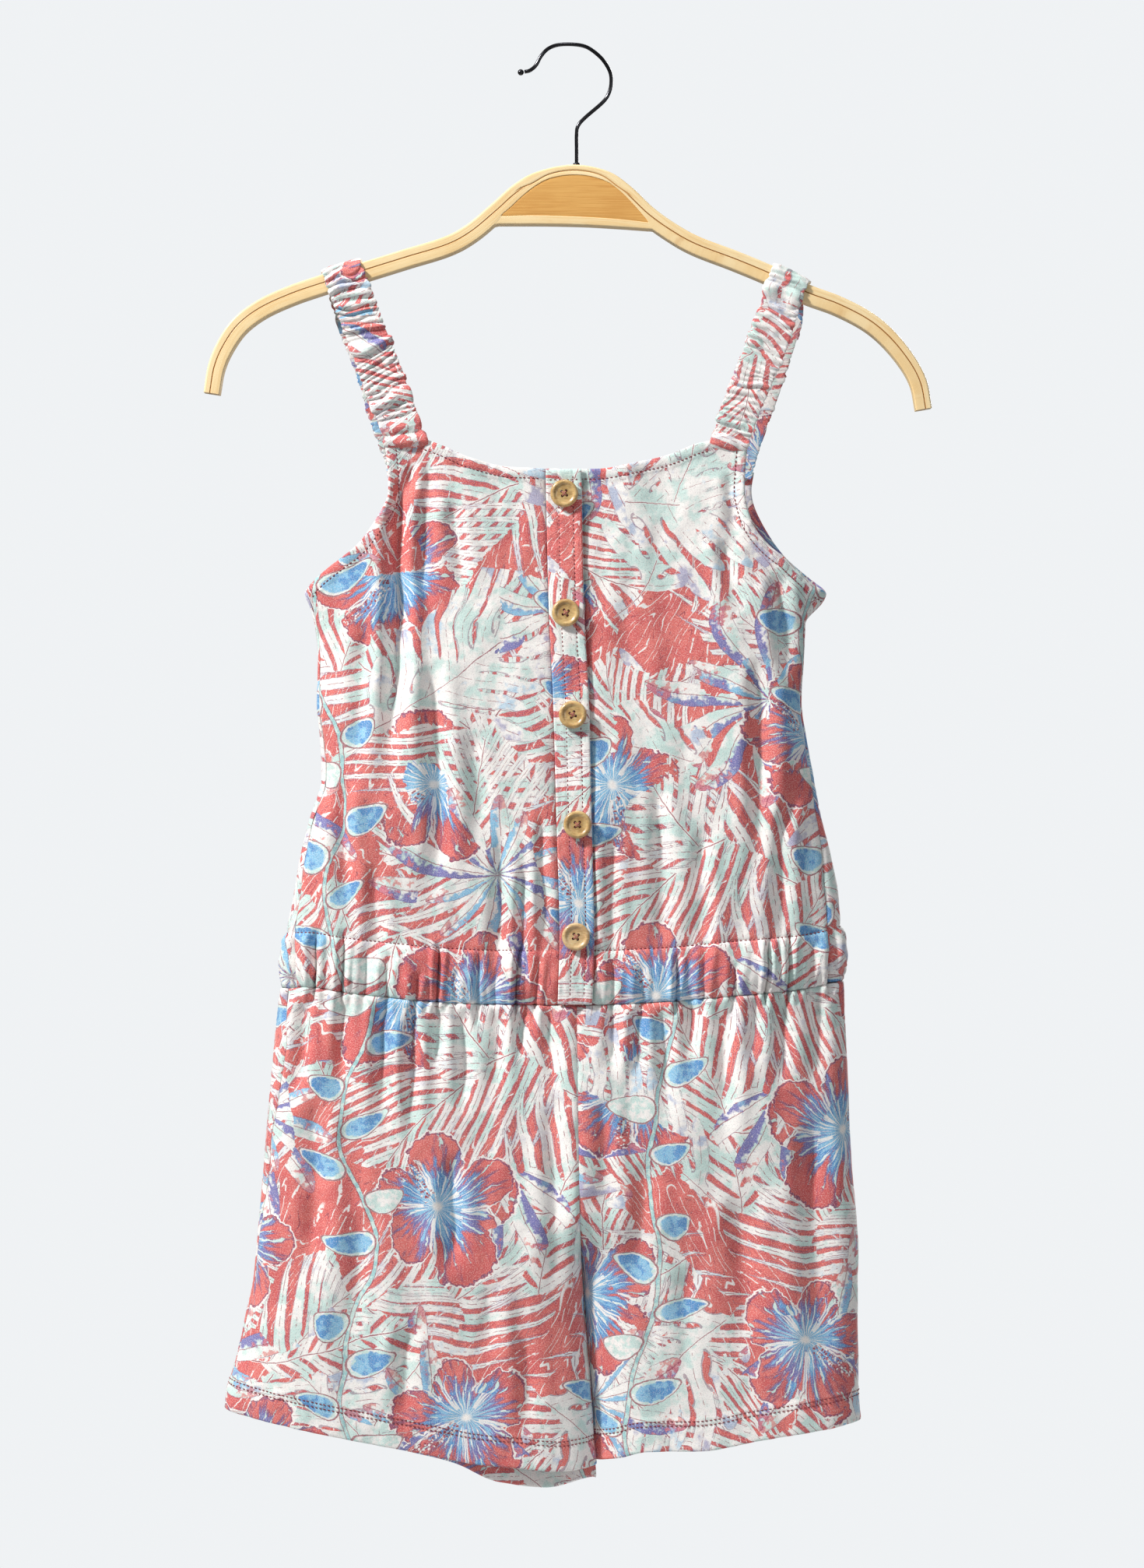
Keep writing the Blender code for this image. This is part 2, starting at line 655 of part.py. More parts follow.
def build_bodice(mat):
    front, back = Bodice(-1), Bodice(1)
    rows = list(np.arange(-545.0, -226.0, ROW_PITCH))
    waist_front, waist_back = curve(**named(WAIST_FRONT)), curve(**named(WAIST_BACK))
    seam_levels = list(np.linspace(UNDERARM_Z, -541.0, 14))
    opening = curve(PLACKET["z"], PLACKET["left"])
    half = SEAM_GAP / 2

    def seam(tube, side, levels, shift):
        sign = -1 if side == "right" else 1
        turn = (lambda z: 90 - SEAM[side](z)) if tube.face < 0 else (lambda z: 90 + SEAM[side](z))
        return [offset_edge(tube, sign * math.radians(float(turn(z))), z, -sign * shift) for z in levels]

    # front right: side seam, armhole, strap end, neck edge to the placket
    top = along(front, ARMHOLE_FRONT_RIGHT) + along(front, NECK_FRONT, clip_high=-20.0)
    centre = [(float(front.span(float(front.angle(opening(z) - half, z)), z)), z)
              for z in np.linspace(-244.6, -552.6, 14)]
    low = level_edge(front, waist_front, float(front.angle(opening(-552) - half, -552)),
                     -math.radians(90 - float(SEAM["right"](-544))), drop=-half)
    side = seam(front, "right", seam_levels[::-1], half)
    cut_panel("bodice_front_right", front, top + centre + low[1:-1] + side, (0, -1, 0), mat,
              column_angles(front, -420, -95, 2), rows)

    # front left: from the placket's inner edge to the left side seam
    top = along(front, NECK_FRONT, clip_low=-14.0) + along(front, ARMHOLE_FRONT_LEFT)
    side = seam(front, "left", seam_levels, half)
    low = level_edge(front, waist_front, math.radians(90 - float(SEAM["left"](-541))),
                     float(front.angle(opening(-552) + half, -552)), drop=-half)
    centre = [(float(front.span(float(front.angle(opening(z) + half, z)), z)), z)
              for z in np.linspace(-552.6, -244.8, 14)]
    cut_panel("bodice_front_left", front, top + side + low[1:-1] + centre, (0, -1, 0), mat,
              column_angles(front, -420, -8, 95), rows)

    # back, in one piece
    top = along(back, ARMHOLE_BACK_RIGHT) + along(back, NECK_BACK) + along(back, ARMHOLE_BACK_LEFT)
    side_l = seam(back, "left", seam_levels, half)
    side_r = seam(back, "right", seam_levels[::-1], half)

    def waist_line(x):
        return waist_back(x)
    low = level_edge(back, waist_line, math.radians(90 + float(SEAM["left"](-541))),
                     -math.radians(90 + float(SEAM["right"](-544))), drop=-half)
    cut_panel("bodice_back", back, top + side_l + low[1:-1] + side_r, (0, 1, 0), mat,
              column_angles(back, -420, -112, 112), rows)
    return front


def named(tab):
    return {"x": tab["x"], "y": tab["z"]}


def build_leg(side, face, hem, mat):
    tube = Leg(face, side)
    line = curve(**named(WAIST_FRONT if face < 0 else WAIST_BACK))
    hem_line = curve(**named(hem))
    half = SEAM_GAP / 2
    edge_angle = math.radians(88.6)

    def seam_angle(z):
        turn = float(SEAM[side](z))
        return -math.radians(90 - turn if face < 0 else 90 + turn)

    top_z = -544.4 if side == "right" else -540.4
    hem_z = float(hem_line(float(OUT[side](-790))))
    top = level_edge(tube, line, seam_angle(top_z), edge_angle, drop=0.5)
    inner = [offset_edge(tube, edge_angle, z, 0.0) for z in np.linspace(top[-1][1], -812.0, 22)[1:-1]]
    inner = [p for p in inner if p[1] > float(hem_line(float(INN[side](p[1])))) + 3.0]
    low = []
    for a in np.linspace(edge_angle, seam_angle(hem_z), 34):
        z = -800.0
        for _ in range(4):
            x = float(tube.flat(np.array(a), np.array(z))[0])
            z = float(hem_line(x))
        low.append((float(tube.span(a, z)), z))
    outer = [offset_edge(tube, seam_angle(z), z, half) for z in np.linspace(low[-1][1], top[0][1], 13)[1:-1]]
    name = "shorts_%s_%s" % ("front" if face < 0 else "back", side)
    low[-1] = (low[-1][0] + half, low[-1][1])
    top[0] = (top[0][0] + half, top[0][1])
    return cut_panel(name, tube, top + inner + low + outer, (0, face, 0), mat,
                     column_angles(tube, -650, -112, 89), list(np.arange(-820.0, -556.0, ROW_PITCH)))


def build_placket(front, mat):
    left, right = curve(PLACKET["z"], PLACKET["left"]), curve(PLACKET["z"], PLACKET["right"])
    lift = WALL / 2 + GAP + 0.15 + PLACKET_WALL / 2
    points, faces = [], []
    levels, across = np.linspace(-244.9, -552.2, 17), 4
    for z in levels:
        for u in np.linspace(0, 1, across + 1):
            x = float(left(z) + (right(z) - left(z)) * u)
            p = front.point(float(front.angle(x, z)), z)
            points.append(p + np.array([0, -lift, 0]))
    for i in range(len(levels) - 1):
        for j in range(across):
            a = i * (across + 1) + j
            faces.append((a, a + 1, a + across + 2, a + across + 1))
    sheet("placket", points, faces, (0, -1, 0), PLACKET_WALL, mat)


def build_buttons(front, mats):
    lift = WALL / 2 + GAP + 0.15 + PLACKET_WALL + GAP + 0.25
    profile = table(    # down the outer side of the turned rim, front to back
        "r    h",
        (0.0, 2.1),
        (4.9, 2.1),
        (5.7, 2.9),
        (6.9, 3.0),
        (7.8, 2.3),
        (8.0, 1.2),
        (6.2, 0.0),
        (0.0, 0.0))
    for number, (x, z) in enumerate(zip(BUTTONS["x"], BUTTONS["z"]), 1):
        p = front.point(float(front.angle(x, z)), z)
        up = front.point(float(front.angle(x, z + 6)), z + 6)
        slope = math.atan2(up[1] - p[1], 12.0 / 2)
        mesh = bpy.data.meshes.new("button_%d" % number)
        bm = bmesh.new()
        turned = [bm.verts.new((r / 1000, 0, h / 1000)) for r, h in zip(profile["r"], profile["h"])]
        edges = [bm.edges.new(pair) for pair in zip(turned, turned[1:])]
        bmesh.ops.spin(bm, geom=turned + edges, cent=(0, 0, 0), axis=(0, 0, 1),
                       angle=math.tau, steps=20, use_merge=True)
        bmesh.ops.remove_doubles(bm, verts=bm.verts, dist=1e-6)
        bmesh.ops.recalc_face_normals(bm, faces=bm.faces)
        bm.to_mesh(mesh)
        bm.free()
        shade(mesh)
        item = add("button_%d" % number, mesh, mats[1] if number == 5 else mats[0])
        item.location = (p[0] / 1000, (p[1] - lift) / 1000, z / 1000)
        item.rotation_euler = (math.radians(90) - slope, 0, 0)
        holes = item.modifiers.new("holes", "BOOLEAN")
        holes.operation = "DIFFERENCE"
        holes.object = hole_cutter(number, item)


def hole_cutter(number, item):
    """Four thread holes in one cutter, turned with its button."""
    bm = bmesh.new()
    for dx, dy in ((1, 1), (1, -1), (-1, 1), (-1, -1)):
        made = bmesh.ops.create_cone(bm, cap_ends=True, segments=8, radius1=0.0009,
                                     radius2=0.0009, depth=0.008)
        bmesh.ops.translate(bm, verts=made["verts"], vec=(dx * 0.0015, dy * 0.0015, 0))
    mesh = bpy.data.meshes.new("thread_holes_%d" % number)
    bm.to_mesh(mesh)
    bm.free()
    cutter = bpy.data.objects.new("thread_holes_%d" % number, mesh)
    cutter.location, cutter.rotation_euler = item.location, item.rotation_euler
    cutter.hide_render = True
    cutter.display_type = "WIRE"
    CUTTERS.objects.link(cutter)
    return cutter


def build_strap(side, front_rows, back_rows, top, mat):
    """A flat tube that climbs the front, crosses the hanger and goes down the back."""
    x0, z0, tilt0, width0 = top
    up = np.array([-math.sin(math.radians(tilt0)), math.cos(math.radians(tilt0))])
    reach, rise, corner = HANGER_DEPTH / 2 + GAP + STRAP_WALL / 2, GAP + STRAP_WALL / 2, 3.4
    over = [(-reach, rise - corner)]
    over += [(-reach + corner * (1 - math.cos(t)), rise - corner + corner * math.sin(t))
             for t in np.radians((30, 60, 90))]
    over += [(0.0, rise)]
    over += [(-y, h) for y, h in over[-2::-1]]
    rows = []
    for i in range(len(front_rows["x"]) - 1, -1, -1):
        rows.append(tuple(front_rows[c][i] for c in ("x", "z", "tilt", "width", "y")))
    for y, h in over:
        c = np.array([x0, z0]) + up * h
        rows.append((c[0], c[1], tilt0, width0, y))
    for i in range(len(back_rows["x"])):
        rows.append(tuple(back_rows[c][i] for c in ("x", "z", "tilt", "width", "y")))
    points, faces, across = [], [], 4
    for x, z, tilt, width, y in rows:
        u = np.array([math.cos(math.radians(tilt)), math.sin(math.radians(tilt))])
        for t in np.linspace(-0.5, 0.5, across + 1):
            points.append((x + u[0] * width * t, y, z + u[1] * width * t))
    for i in range(len(rows) - 1):
        for j in range(across):
            a = i * (across + 1) + j
            faces.append((a, a + 1, a + across + 2, a + across + 1))
    mesh_points = [np.array(p) for p in points]
    item = sheet("strap_%s" % side, mesh_points, faces, (0, 0, 1), STRAP_WALL, mat)
    return item


# ----------------------------------------------------------------- the hanger

def strip_sections(line_top, line_low, depth, ease):
    """Eight-cornered sections of a bent strip between two matching lines."""
    sections = []
    for (xt, zt), (xl, zl) in zip(line_top, line_low):
        t, l = np.array([xt, zt]), np.array([xl, zl])
        d = (l - t) / np.linalg.norm(l - t)
        e = ease
        a, b = t + d * e, l - d * e
        h = depth / 2
        sections.append([(a[0], -h, a[1]), (t[0], -h + e, t[1]), (t[0], h - e, t[1]), (a[0], h, a[1]),
                         (b[0], h, b[1]), (l[0], h - e, l[1]), (l[0], -h + e, l[1]), (b[0], -h, b[1])])
    return sections


def square_off(x, z, distance):
    """The line a given distance below another, measured square to it."""
    p = np.stack([x, z], axis=1)
    t = np.gradient(p, axis=0)
    t /= np.linalg.norm(t, axis=1)[:, None]
    return p + np.stack([t[:, 1], -t[:, 0]], axis=1) * np.asarray(distance)[:, None]


def build_hanger(light, brown, chrome):
    line = resample(smooth_path(list(zip(*BOW.values()))), 7.0)
    x, z, thick_up, thick_low = line.T
    top = np.stack([x, z], axis=1)
    low = square_off(x, z, thick_up)
    bow = loft("hanger_upper_strip", strip_sections(top, low, HANGER_DEPTH, 1.0), light, 50)

    # a drilled hole for the stem of the hook
    cutter_mesh = bpy.data.meshes.new("stem_hole")
    bm = bmesh.new()
    bmesh.ops.create_cone(bm, cap_ends=True, segments=12, radius1=0.0018, radius2=0.0018, depth=0.010)
    bm.to_mesh(cutter_mesh)
    bm.free()
    cutter = bpy.data.objects.new("stem_hole", cutter_mesh)
    cutter.location = (0, 0, -0.0682)
    cutter.hide_render = True
    cutter.display_type = "WIRE"
    CUTTERS.objects.link(cutter)
    hole = bow.modifiers.new("stem hole", "BOOLEAN")
    hole.operation = "DIFFERENCE"
    hole.object = cutter

    # lower strip: under the arms, and straight below the panel between them
    upper = square_off(x, z, thick_up + GAP)
    lower = square_off(x, z, thick_up + GAP + thick_low)
    arm_r, arm_l = x < -52, x > 50
    bar_top = np.stack([BAR["x"], BAR["top"]], axis=1)
    bar_low = np.stack([BAR["x"], BAR["bottom"]], axis=1)
    line_top = np.concatenate([upper[arm_r], bar_top, upper[arm_l]])
    line_low = np.concatenate([lower[arm_r], bar_low, lower[arm_l]])
    loft("hanger_lower_strip", strip_sections(line_top, line_low, HANGER_DEPTH, 1.0), light, 50)

    # panel between the arch and the bar
    arch = curve(upper[:, 0], upper[:, 1])
    bar = curve(BAR["x"], BAR["top"] + GAP)
    xs = np.linspace(-40.8, 38.6, 33)
    outline = [(v, float(bar(v))) for v in xs]
    outline += [(v, float(max(arch(v) - 0.25, bar(v) + 0.05))) for v in xs[::-1]]
    data = bpy.data.curves.new("hanger_panel", "CURVE")
    data.dimensions = "2D"
    data.fill_mode = "BOTH"
    data.extrude = (HANGER_DEPTH - 2.4) / 2000
    spline = data.splines.new("POLY")
    spline.points.add(len(outline) - 1)
    for point, (px, pz) in zip(spline.points, outline):
        point.co = (px / 1000, pz / 1000, 0, 1)
    spline.use_cyclic_u = True
    panel = add("hanger_panel", data, brown)
    panel.rotation_euler = (math.radians(90), 0, 0)

    # hook: one bent wire, its stem in the hole; a ball on its tip, a collar below
    path = resample(smooth_path(list(zip(HOOK["x"], HOOK["z"]))), 3.2)
    wire = bpy.data.curves.new("hook", "CURVE")
    wire.dimensions = "3D"
    wire.bevel_depth = WIRE_RADIUS / 1000
    wire.bevel_resolution = 2
    wire.use_fill_caps = True
    spline = wire.splines.new("POLY")
    spline.points.add(len(path) - 1)
    for point, (px, pz) in zip(spline.points, path):
        point.co = (px / 1000, 0, pz / 1000, 1)
    add("hook", wire, chrome)

    ball = bpy.data.meshes.new("hook_tip")
    bm = bmesh.new()
    bmesh.ops.create_uvsphere(bm, u_segments=14, v_segments=9, radius=0.0018)
    bm.to_mesh(ball)
    bm.free()
    shade(ball, 60)
    tip = add("hook_tip", ball, chrome)
    tip.location = (-0.0323, 0, -0.0148)

    ring = bpy.data.meshes.new("hook_collar")
    bm = bmesh.new()
    turned = [bm.verts.new((r / 1000, 0, h / 1000)) for r, h in
              ((1.7, 0.0), (1.7, 1.2), (2.9, 1.2), (3.3, 0.6), (3.3, 0.0))]
    edges = [bm.edges.new((turned[i], turned[(i + 1) % 5])) for i in range(5)]
    bmesh.ops.spin(bm, geom=turned + edges, cent=(0, 0, 0), axis=(0, 0, 1), angle=math.tau,
                   steps=20, use_merge=True)
    bmesh.ops.remove_doubles(bm, verts=bm.verts, dist=1e-6)
    bmesh.ops.recalc_face_normals(bm, faces=bm.faces)
    bm.to_mesh(ring)
    bm.free()
    shade(ring)
    collar = add("hook_collar", ring, chrome)
    collar.location = (0, 0, -0.0683)


def smooth_path(points, steps=8):
    """Catmull-Rom curve through the points."""
    p = [np.array(v, float) for v in points]
    p = [2 * p[0] - p[1]] + p + [2 * p[-1] - p[-2]]
    out = []
    for a, b, c, d in zip(p, p[1:], p[2:], p[3:]):
        for i in range(steps):
            t = i / steps
            out.append(0.5 * ((2 * b) + (c - a) * t + (2 * a - 5 * b + 4 * c - d) * t * t
                              + (3 * b - a - 3 * c + d) * t ** 3))
    out.append(p[-2])
    return out


# ----------------------------------------------------------------------- main

def main():
    global COLLECTION, CUTTERS
    clear()
    COLLECTION = bpy.data.collections.new("romper_on_hanger")
    CUTTERS = bpy.data.collections.new("cutters")
    bpy.context.scene.collection.children.link(COLLECTION)
    bpy.context.scene.collection.children.link(CUTTERS)

    cloth = material("printed_cloth", (0.72, 0.20, 0.19), 0.85)
    strap_cloth = material("strap_cloth", (0.74, 0.30, 0.28), 0.85)
    horn = material("horn_button", (0.55, 0.36, 0.12), 0.35)
    horn_light = material("pale_button", (0.72, 0.53, 0.27), 0.35)
    light = material("light_wood", (0.86, 0.62, 0.33), 0.45)
    brown = material("panel_wood", (0.70, 0.38, 0.10), 0.45)
    chrome = material("hook_wire", (0.60, 0.60, 0.62), 0.2, 1.0)

    front = build_bodice(cloth)
    build_placket(front, cloth)
    build_buttons(front, (horn, horn_light))
    build_leg("right", -1, HEM_FRONT_RIGHT, cloth)
    build_leg("right", 1, HEM_BACK_RIGHT, cloth)
    build_leg("left", -1, HEM_FRONT_LEFT, cloth)
    build_leg("left", 1, HEM_BACK_LEFT, cloth)
    tops = list(zip(*STRAP_TOPS.values()))
    build_strap("right", STRAP_RIGHT_FRONT, STRAP_RIGHT_BACK, tops[0], strap_cloth)
    build_strap("left", STRAP_LEFT_FRONT, STRAP_LEFT_BACK, tops[1], strap_cloth)
    build_hanger(light, brown, chrome)


CUTTERS = None
main()
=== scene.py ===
"""Looks of the romper on its hanger: thin printed jersey with its hems, seams,
gathers and creases, ruched straps, horn buttons, bentwood hanger, wire hook.

Tables are in millimetres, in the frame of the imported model: +Z up, front
towards -Y, +X to the right of someone facing the front.
"""
import math

import bmesh
import bpy
import numpy as np
from mathutils import Matrix, Vector
from mathutils.bvhtree import BVHTree
from mathutils.geometry import delaunay_2d_cdt


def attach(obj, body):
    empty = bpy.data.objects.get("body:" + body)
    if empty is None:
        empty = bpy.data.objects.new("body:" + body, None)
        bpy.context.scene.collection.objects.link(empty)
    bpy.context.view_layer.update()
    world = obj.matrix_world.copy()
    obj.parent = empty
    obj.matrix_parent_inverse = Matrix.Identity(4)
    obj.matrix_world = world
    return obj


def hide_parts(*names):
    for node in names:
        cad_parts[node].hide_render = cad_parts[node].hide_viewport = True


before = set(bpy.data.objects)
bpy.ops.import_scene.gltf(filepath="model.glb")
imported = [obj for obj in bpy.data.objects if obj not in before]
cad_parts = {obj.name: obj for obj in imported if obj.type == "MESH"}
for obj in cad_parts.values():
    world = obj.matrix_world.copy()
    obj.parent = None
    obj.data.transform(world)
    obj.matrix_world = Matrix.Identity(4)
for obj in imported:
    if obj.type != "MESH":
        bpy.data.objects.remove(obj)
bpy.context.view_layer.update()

# ------------------------------------------------------------------ sizes (mm)
CLOTH = 0.75            # one layer of jersey
DOUBLE = 1.5            # two layers, in hems and in the waist casing
SPACING = 2.1           # of the points inside a panel
HEM_BAND = 18.0         # depth of the leg hems
EDGE_BAND = 6.6         # depth of the turned hems at neck and armholes
CASING = 31.4           # height of the elastic casing above the waist seam
SIDE_ROUND, INNER_ROUND = 8, 10
HANGER_DEPTH = 12.0
WIRE_RADIUS = 1.35


def table(columns, *rows):
    """A short table: one named column per value, one row per section."""
    data = np.array(rows, float)
    return {name: data[:, i] for i, name in enumerate(columns.split())}


def rows_of(tab):
    return list(zip(*tab.values()))

# Sections of the bodice tube: level, side folds, half depths front and back.
BODICE = table(
    "z      left    right  front back",
    (-225, -154.3, 141.8, 10.5, 10.5),
    (-306, -156.6, 144.0, 13.0, 12.0),
    (-314, -157.3, 144.9, 13.2, 12.2),
    (-322, -155.2, 141.8, 13.5, 12.5),
    (-334, -152.0, 132.4, 14.0, 13.0),
    (-356, -149.8, 131.4, 15.0, 14.0),
    (-378, -150.5, 130.3, 16.0, 15.0),
    (-400, -149.0, 133.2, 17.0, 16.0),
    (-423, -148.2, 137.3, 17.5, 16.5),
    (-446, -154.3, 141.8, 18.0, 17.0),
    (-468, -160.2, 147.2, 18.0, 17.0),
    (-491, -164.2, 151.7, 17.5, 16.5),
    (-513, -168.3, 153.2, 17.0, 16.0),
    (-536, -169.4, 154.0, 18.0, 17.0),
    (-556, -172.8, 155.3, 17.5, 16.5))

# Sections of the shorts: outer folds, inner folds of the two legs, half depths.
SHORTS = table(
    "z     out_r   in_r  in_l  out_l  front back",
    (-536, -170.0,  0.0,  0.0, 154.8, 18.0, 17.0),
    (-554, -172.8,  0.0,  0.0, 155.3, 17.5, 16.5),
    (-581, -175.9,  0.4,  0.4, 156.6, 20.0, 18.5),
    (-617, -178.7,  0.9,  0.9, 158.0, 22.5, 20.5),
    (-648, -181.3,  1.3,  1.3, 159.3, 23.5, 21.5),
    (-668, -183.0,  1.6,  1.6, 161.2, 24.0, 22.0),
    (-698, -185.8,  2.2,  2.5, 162.9, 24.0, 22.0),
    (-711, -187.2,  3.0,  3.5, 162.5, 24.0, 22.0),
    (-734, -192.2,  4.3,  5.0, 162.5, 23.5, 21.5),
    (-756, -196.7,  6.2,  7.0, 162.9, 23.0, 21.0),
    (-779, -202.5,  8.0,  8.9, 162.9, 22.5, 20.5),
    (-790, -203.4,  8.9,  9.9, 163.4, 22.0, 20.0),
    (-840, -203.8, 10.2, 11.3, 163.8, 20.0, 18.0))
CROTCH_START, CROTCH_END = -672.0, -706.0   # the rise curves under between these
LEG_SHIFT = 3.0         # the right leg lies this far forward, the left leg back

# Where the side seams run, in degrees round the side fold (+ is on the front).
SIDE_SEAM = table(
    "z    right left",
    (-300,   4,   0),
    (-380,   7,   5),
    (-446,  10,  10),
    (-490,  13,  17),
    (-530,  15,  17),
    (-556,  20,   9),
    (-575,  25,  -2),
    (-600,  20,  -4),
    (-640,  15,  -4),
    (-700,   8,  -4),
    (-760,   2,  -4),
    (-840,   0,  -4))

# Cut edges.  Armholes run from the underarm up to the outer corner of a strap.
UNDERARM_Z = -316.0
ARMHOLE_FRONT_RIGHT = table(
    "x       z",
    (-153.7, -311.0),
    (-148.3, -305.6),
    (-139.3, -298.5),
    (-130.4, -292.2),
    (-123.7, -285.5),
    (-117.8, -277.4),
    (-111.9, -267.5),
    (-108.6, -259.5),
    (-108.9, -245.0),
    (-110.2, -232.1))
NECK_FRONT = table(
    "x       z",
    ( -86.9, -227.6),
    ( -76.0, -231.8),
    ( -62.5, -237.8),
    ( -46.0, -242.5),
    ( -31.8, -244.0),
    (   0.0, -244.7),
    (  17.5, -244.2),
    (  35.4, -240.7),
    (  53.3, -236.5),
    (  67.0, -230.9),
    (  77.5, -228.3))
ARMHOLE_FRONT_LEFT = table(
    "x       z",
    (  98.1, -233.9),
    (  97.0, -247.0),
    (  96.9, -261.0),
    ( 101.7, -277.4),
    ( 110.5, -288.5),
    ( 121.0, -297.0),
    ( 129.5, -305.2),
    ( 138.0, -312.5))
ARMHOLE_BACK_RIGHT = table(
    "x       z",
    (-152.5, -309.0),
    (-140.0, -302.5),
    (-128.5, -294.0),
    (-118.0, -282.0),
    (-111.5, -269.0),
    (-108.8, -257.0),
    (-110.4, -243.2))
NECK_BACK = table(
    "x       z",
    ( -88.0, -239.2),
    ( -70.0, -243.5),
    ( -45.0, -246.5),
    (   0.0, -248.0),
    (  42.0, -246.5),
    (  64.0, -243.3),
    (  80.6, -239.6))
ARMHOLE_BACK_LEFT = table(
    "x       z",
    ( 103.0, -245.4),
    ( 101.5, -256.0),
    ( 103.5, -266.0),
    ( 110.0, -279.0),
    ( 117.6, -290.5),
    ( 126.0, -299.3),
    ( 139.0, -310.0))

WAIST_FRONT = table(
    "x       z",
    (-171.5, -543.6),
    (-154.5, -543.0),
    (-134.4, -545.8),
    (-107.0, -548.8),
    ( -83.1, -551.2),
    ( -50.0, -552.8),
    (   0.0, -553.4),
    (  53.1, -551.2),
    (  88.8, -548.0),
    ( 133.5, -544.0),
    ( 155.0, -539.5))
WAIST_BACK = table(
    "x       z",
    (-171.5, -543.6),
    (-100.0, -548.5),
    (   0.0, -551.0),
    ( 100.0, -546.0),
    ( 155.0, -539.5))

PLACKET = table(
    "z     left   right",
    (-244, -17.9,  2.7),
    (-325, -16.1,  4.2),
    (-378, -13.6,  7.0),
    (-449, -11.6,  8.6),
    (-514,  -9.9, 10.1),
    (-554, -11.0,  8.7))
BUTTONS = table(
    "x     z",
    (-7.2, -259.2),
    (-6.3, -327.9),
    (-2.3, -386.4),
    ( 0.4, -449.4),
    (-0.5, -513.7))

HEM_FRONT_RIGHT = table(
    "x       z",
    (-203.6, -786.0),
    (-192.4, -789.1),
    (-161.2, -795.8),
    (-116.5, -804.7),
    ( -80.8, -811.4),
    ( -60.0, -815.4),
    ( -36.2, -817.7),
    (  -9.4, -820.4),
    (   9.9, -818.5))
HEM_BACK_RIGHT = table(
    "x       z",
    (-203.6, -786.4),
    (-109.2, -812.0),
    ( -70.0, -821.7),
    ( -45.7, -832.0),
    ( -18.6, -834.9),
    (   9.9, -826.5))
HEM_FRONT_LEFT = table(
    "x       z",
    (  11.8, -815.9),
    (  26.3, -813.2),
    (  40.0, -809.6),
    (  71.0, -808.8),
    ( 106.7, -802.5),
    ( 137.9, -797.1),
    ( 163.8, -792.5))
HEM_BACK_LEFT = table(
    "x       z",
    (  11.8, -814.0),
    (  71.0, -808.0),
    ( 163.8, -792.7))


# Straps: centre line down the front and down the back, the tilt of the cross
# line in degrees, width and distance from the mid plane.
STRAP_RIGHT_FRONT = table(
    "x       z       tilt  width y",
    (-131.9, -139.5, 17.0, 23.3, -7.6),
    (-127.4, -149.9, 18.0, 23.6, -7.8),
    (-122.9, -162.9, 18.5, 24.4, -8.2),
    (-117.5, -177.2, 19.0, 24.8, -8.7),
    (-111.7, -192.5, 19.0, 25.2, -9.2),
    (-106.0, -207.8, 18.0, 24.2, -9.8),
    (-101.2, -220.5, 14.0, 23.6, -10.2),
    ( -98.6, -229.2, 11.0, 23.6, -10.5))
STRAP_RIGHT_BACK = table(
    "x       z       tilt  width y",
    (-132.6, -140.0, 17.0, 23.3, 7.6),
    (-128.0, -155.0, 18.0, 24.0, 8.0),
    (-122.4, -170.1, 18.5, 24.6, 8.5),
    (-115.6, -188.2, 18.5, 25.0, 9.2),
    (-109.9, -208.5, 17.5, 24.4, 9.7),
    (-103.6, -226.5, 13.0, 23.4, 10.0),
    ( -99.3, -240.4, 10.0, 22.8, 10.2))
STRAP_LEFT_FRONT = table(
    "x       z       tilt  width y",
    ( 119.6, -142.0, -25.0, 23.6, -7.6),
    ( 116.6, -153.0, -22.0, 23.8, -7.8),
    ( 112.6, -164.5, -20.0, 24.2, -8.2),
    ( 107.6, -178.4, -20.0, 24.4, -8.7),
    ( 102.0, -191.8, -19.0, 23.6, -9.2),
    (  96.8, -204.5, -18.0, 23.2, -9.7),
    (  91.6, -218.0, -16.0, 22.6, -10.2),
    (  88.0, -230.4, -14.6, 21.4, -10.5))
STRAP_LEFT_BACK = table(
    "x       z       tilt  width y",
    ( 121.0, -142.0, -25.0, 23.6, 7.6),
    ( 120.0, -155.0, -21.0, 23.8, 8.0),
    ( 115.2, -170.1, -19.0, 24.4, 8.5),
    ( 110.2, -183.7, -18.0, 24.6, 9.0),
    ( 104.3, -201.7, -18.0, 24.2, 9.5),
    (  97.4, -222.0, -16.0, 23.2, 10.0),
    (  92.0, -241.6, -14.0, 22.6, 10.2))
STRAP_TOPS = table(     # centre of each strap on the top edge of the hanger
    "x       z       tilt  width",
    (-135.5, -128.7, 17.0, 23.3),
    ( 123.6, -132.2, -26.5, 23.6))

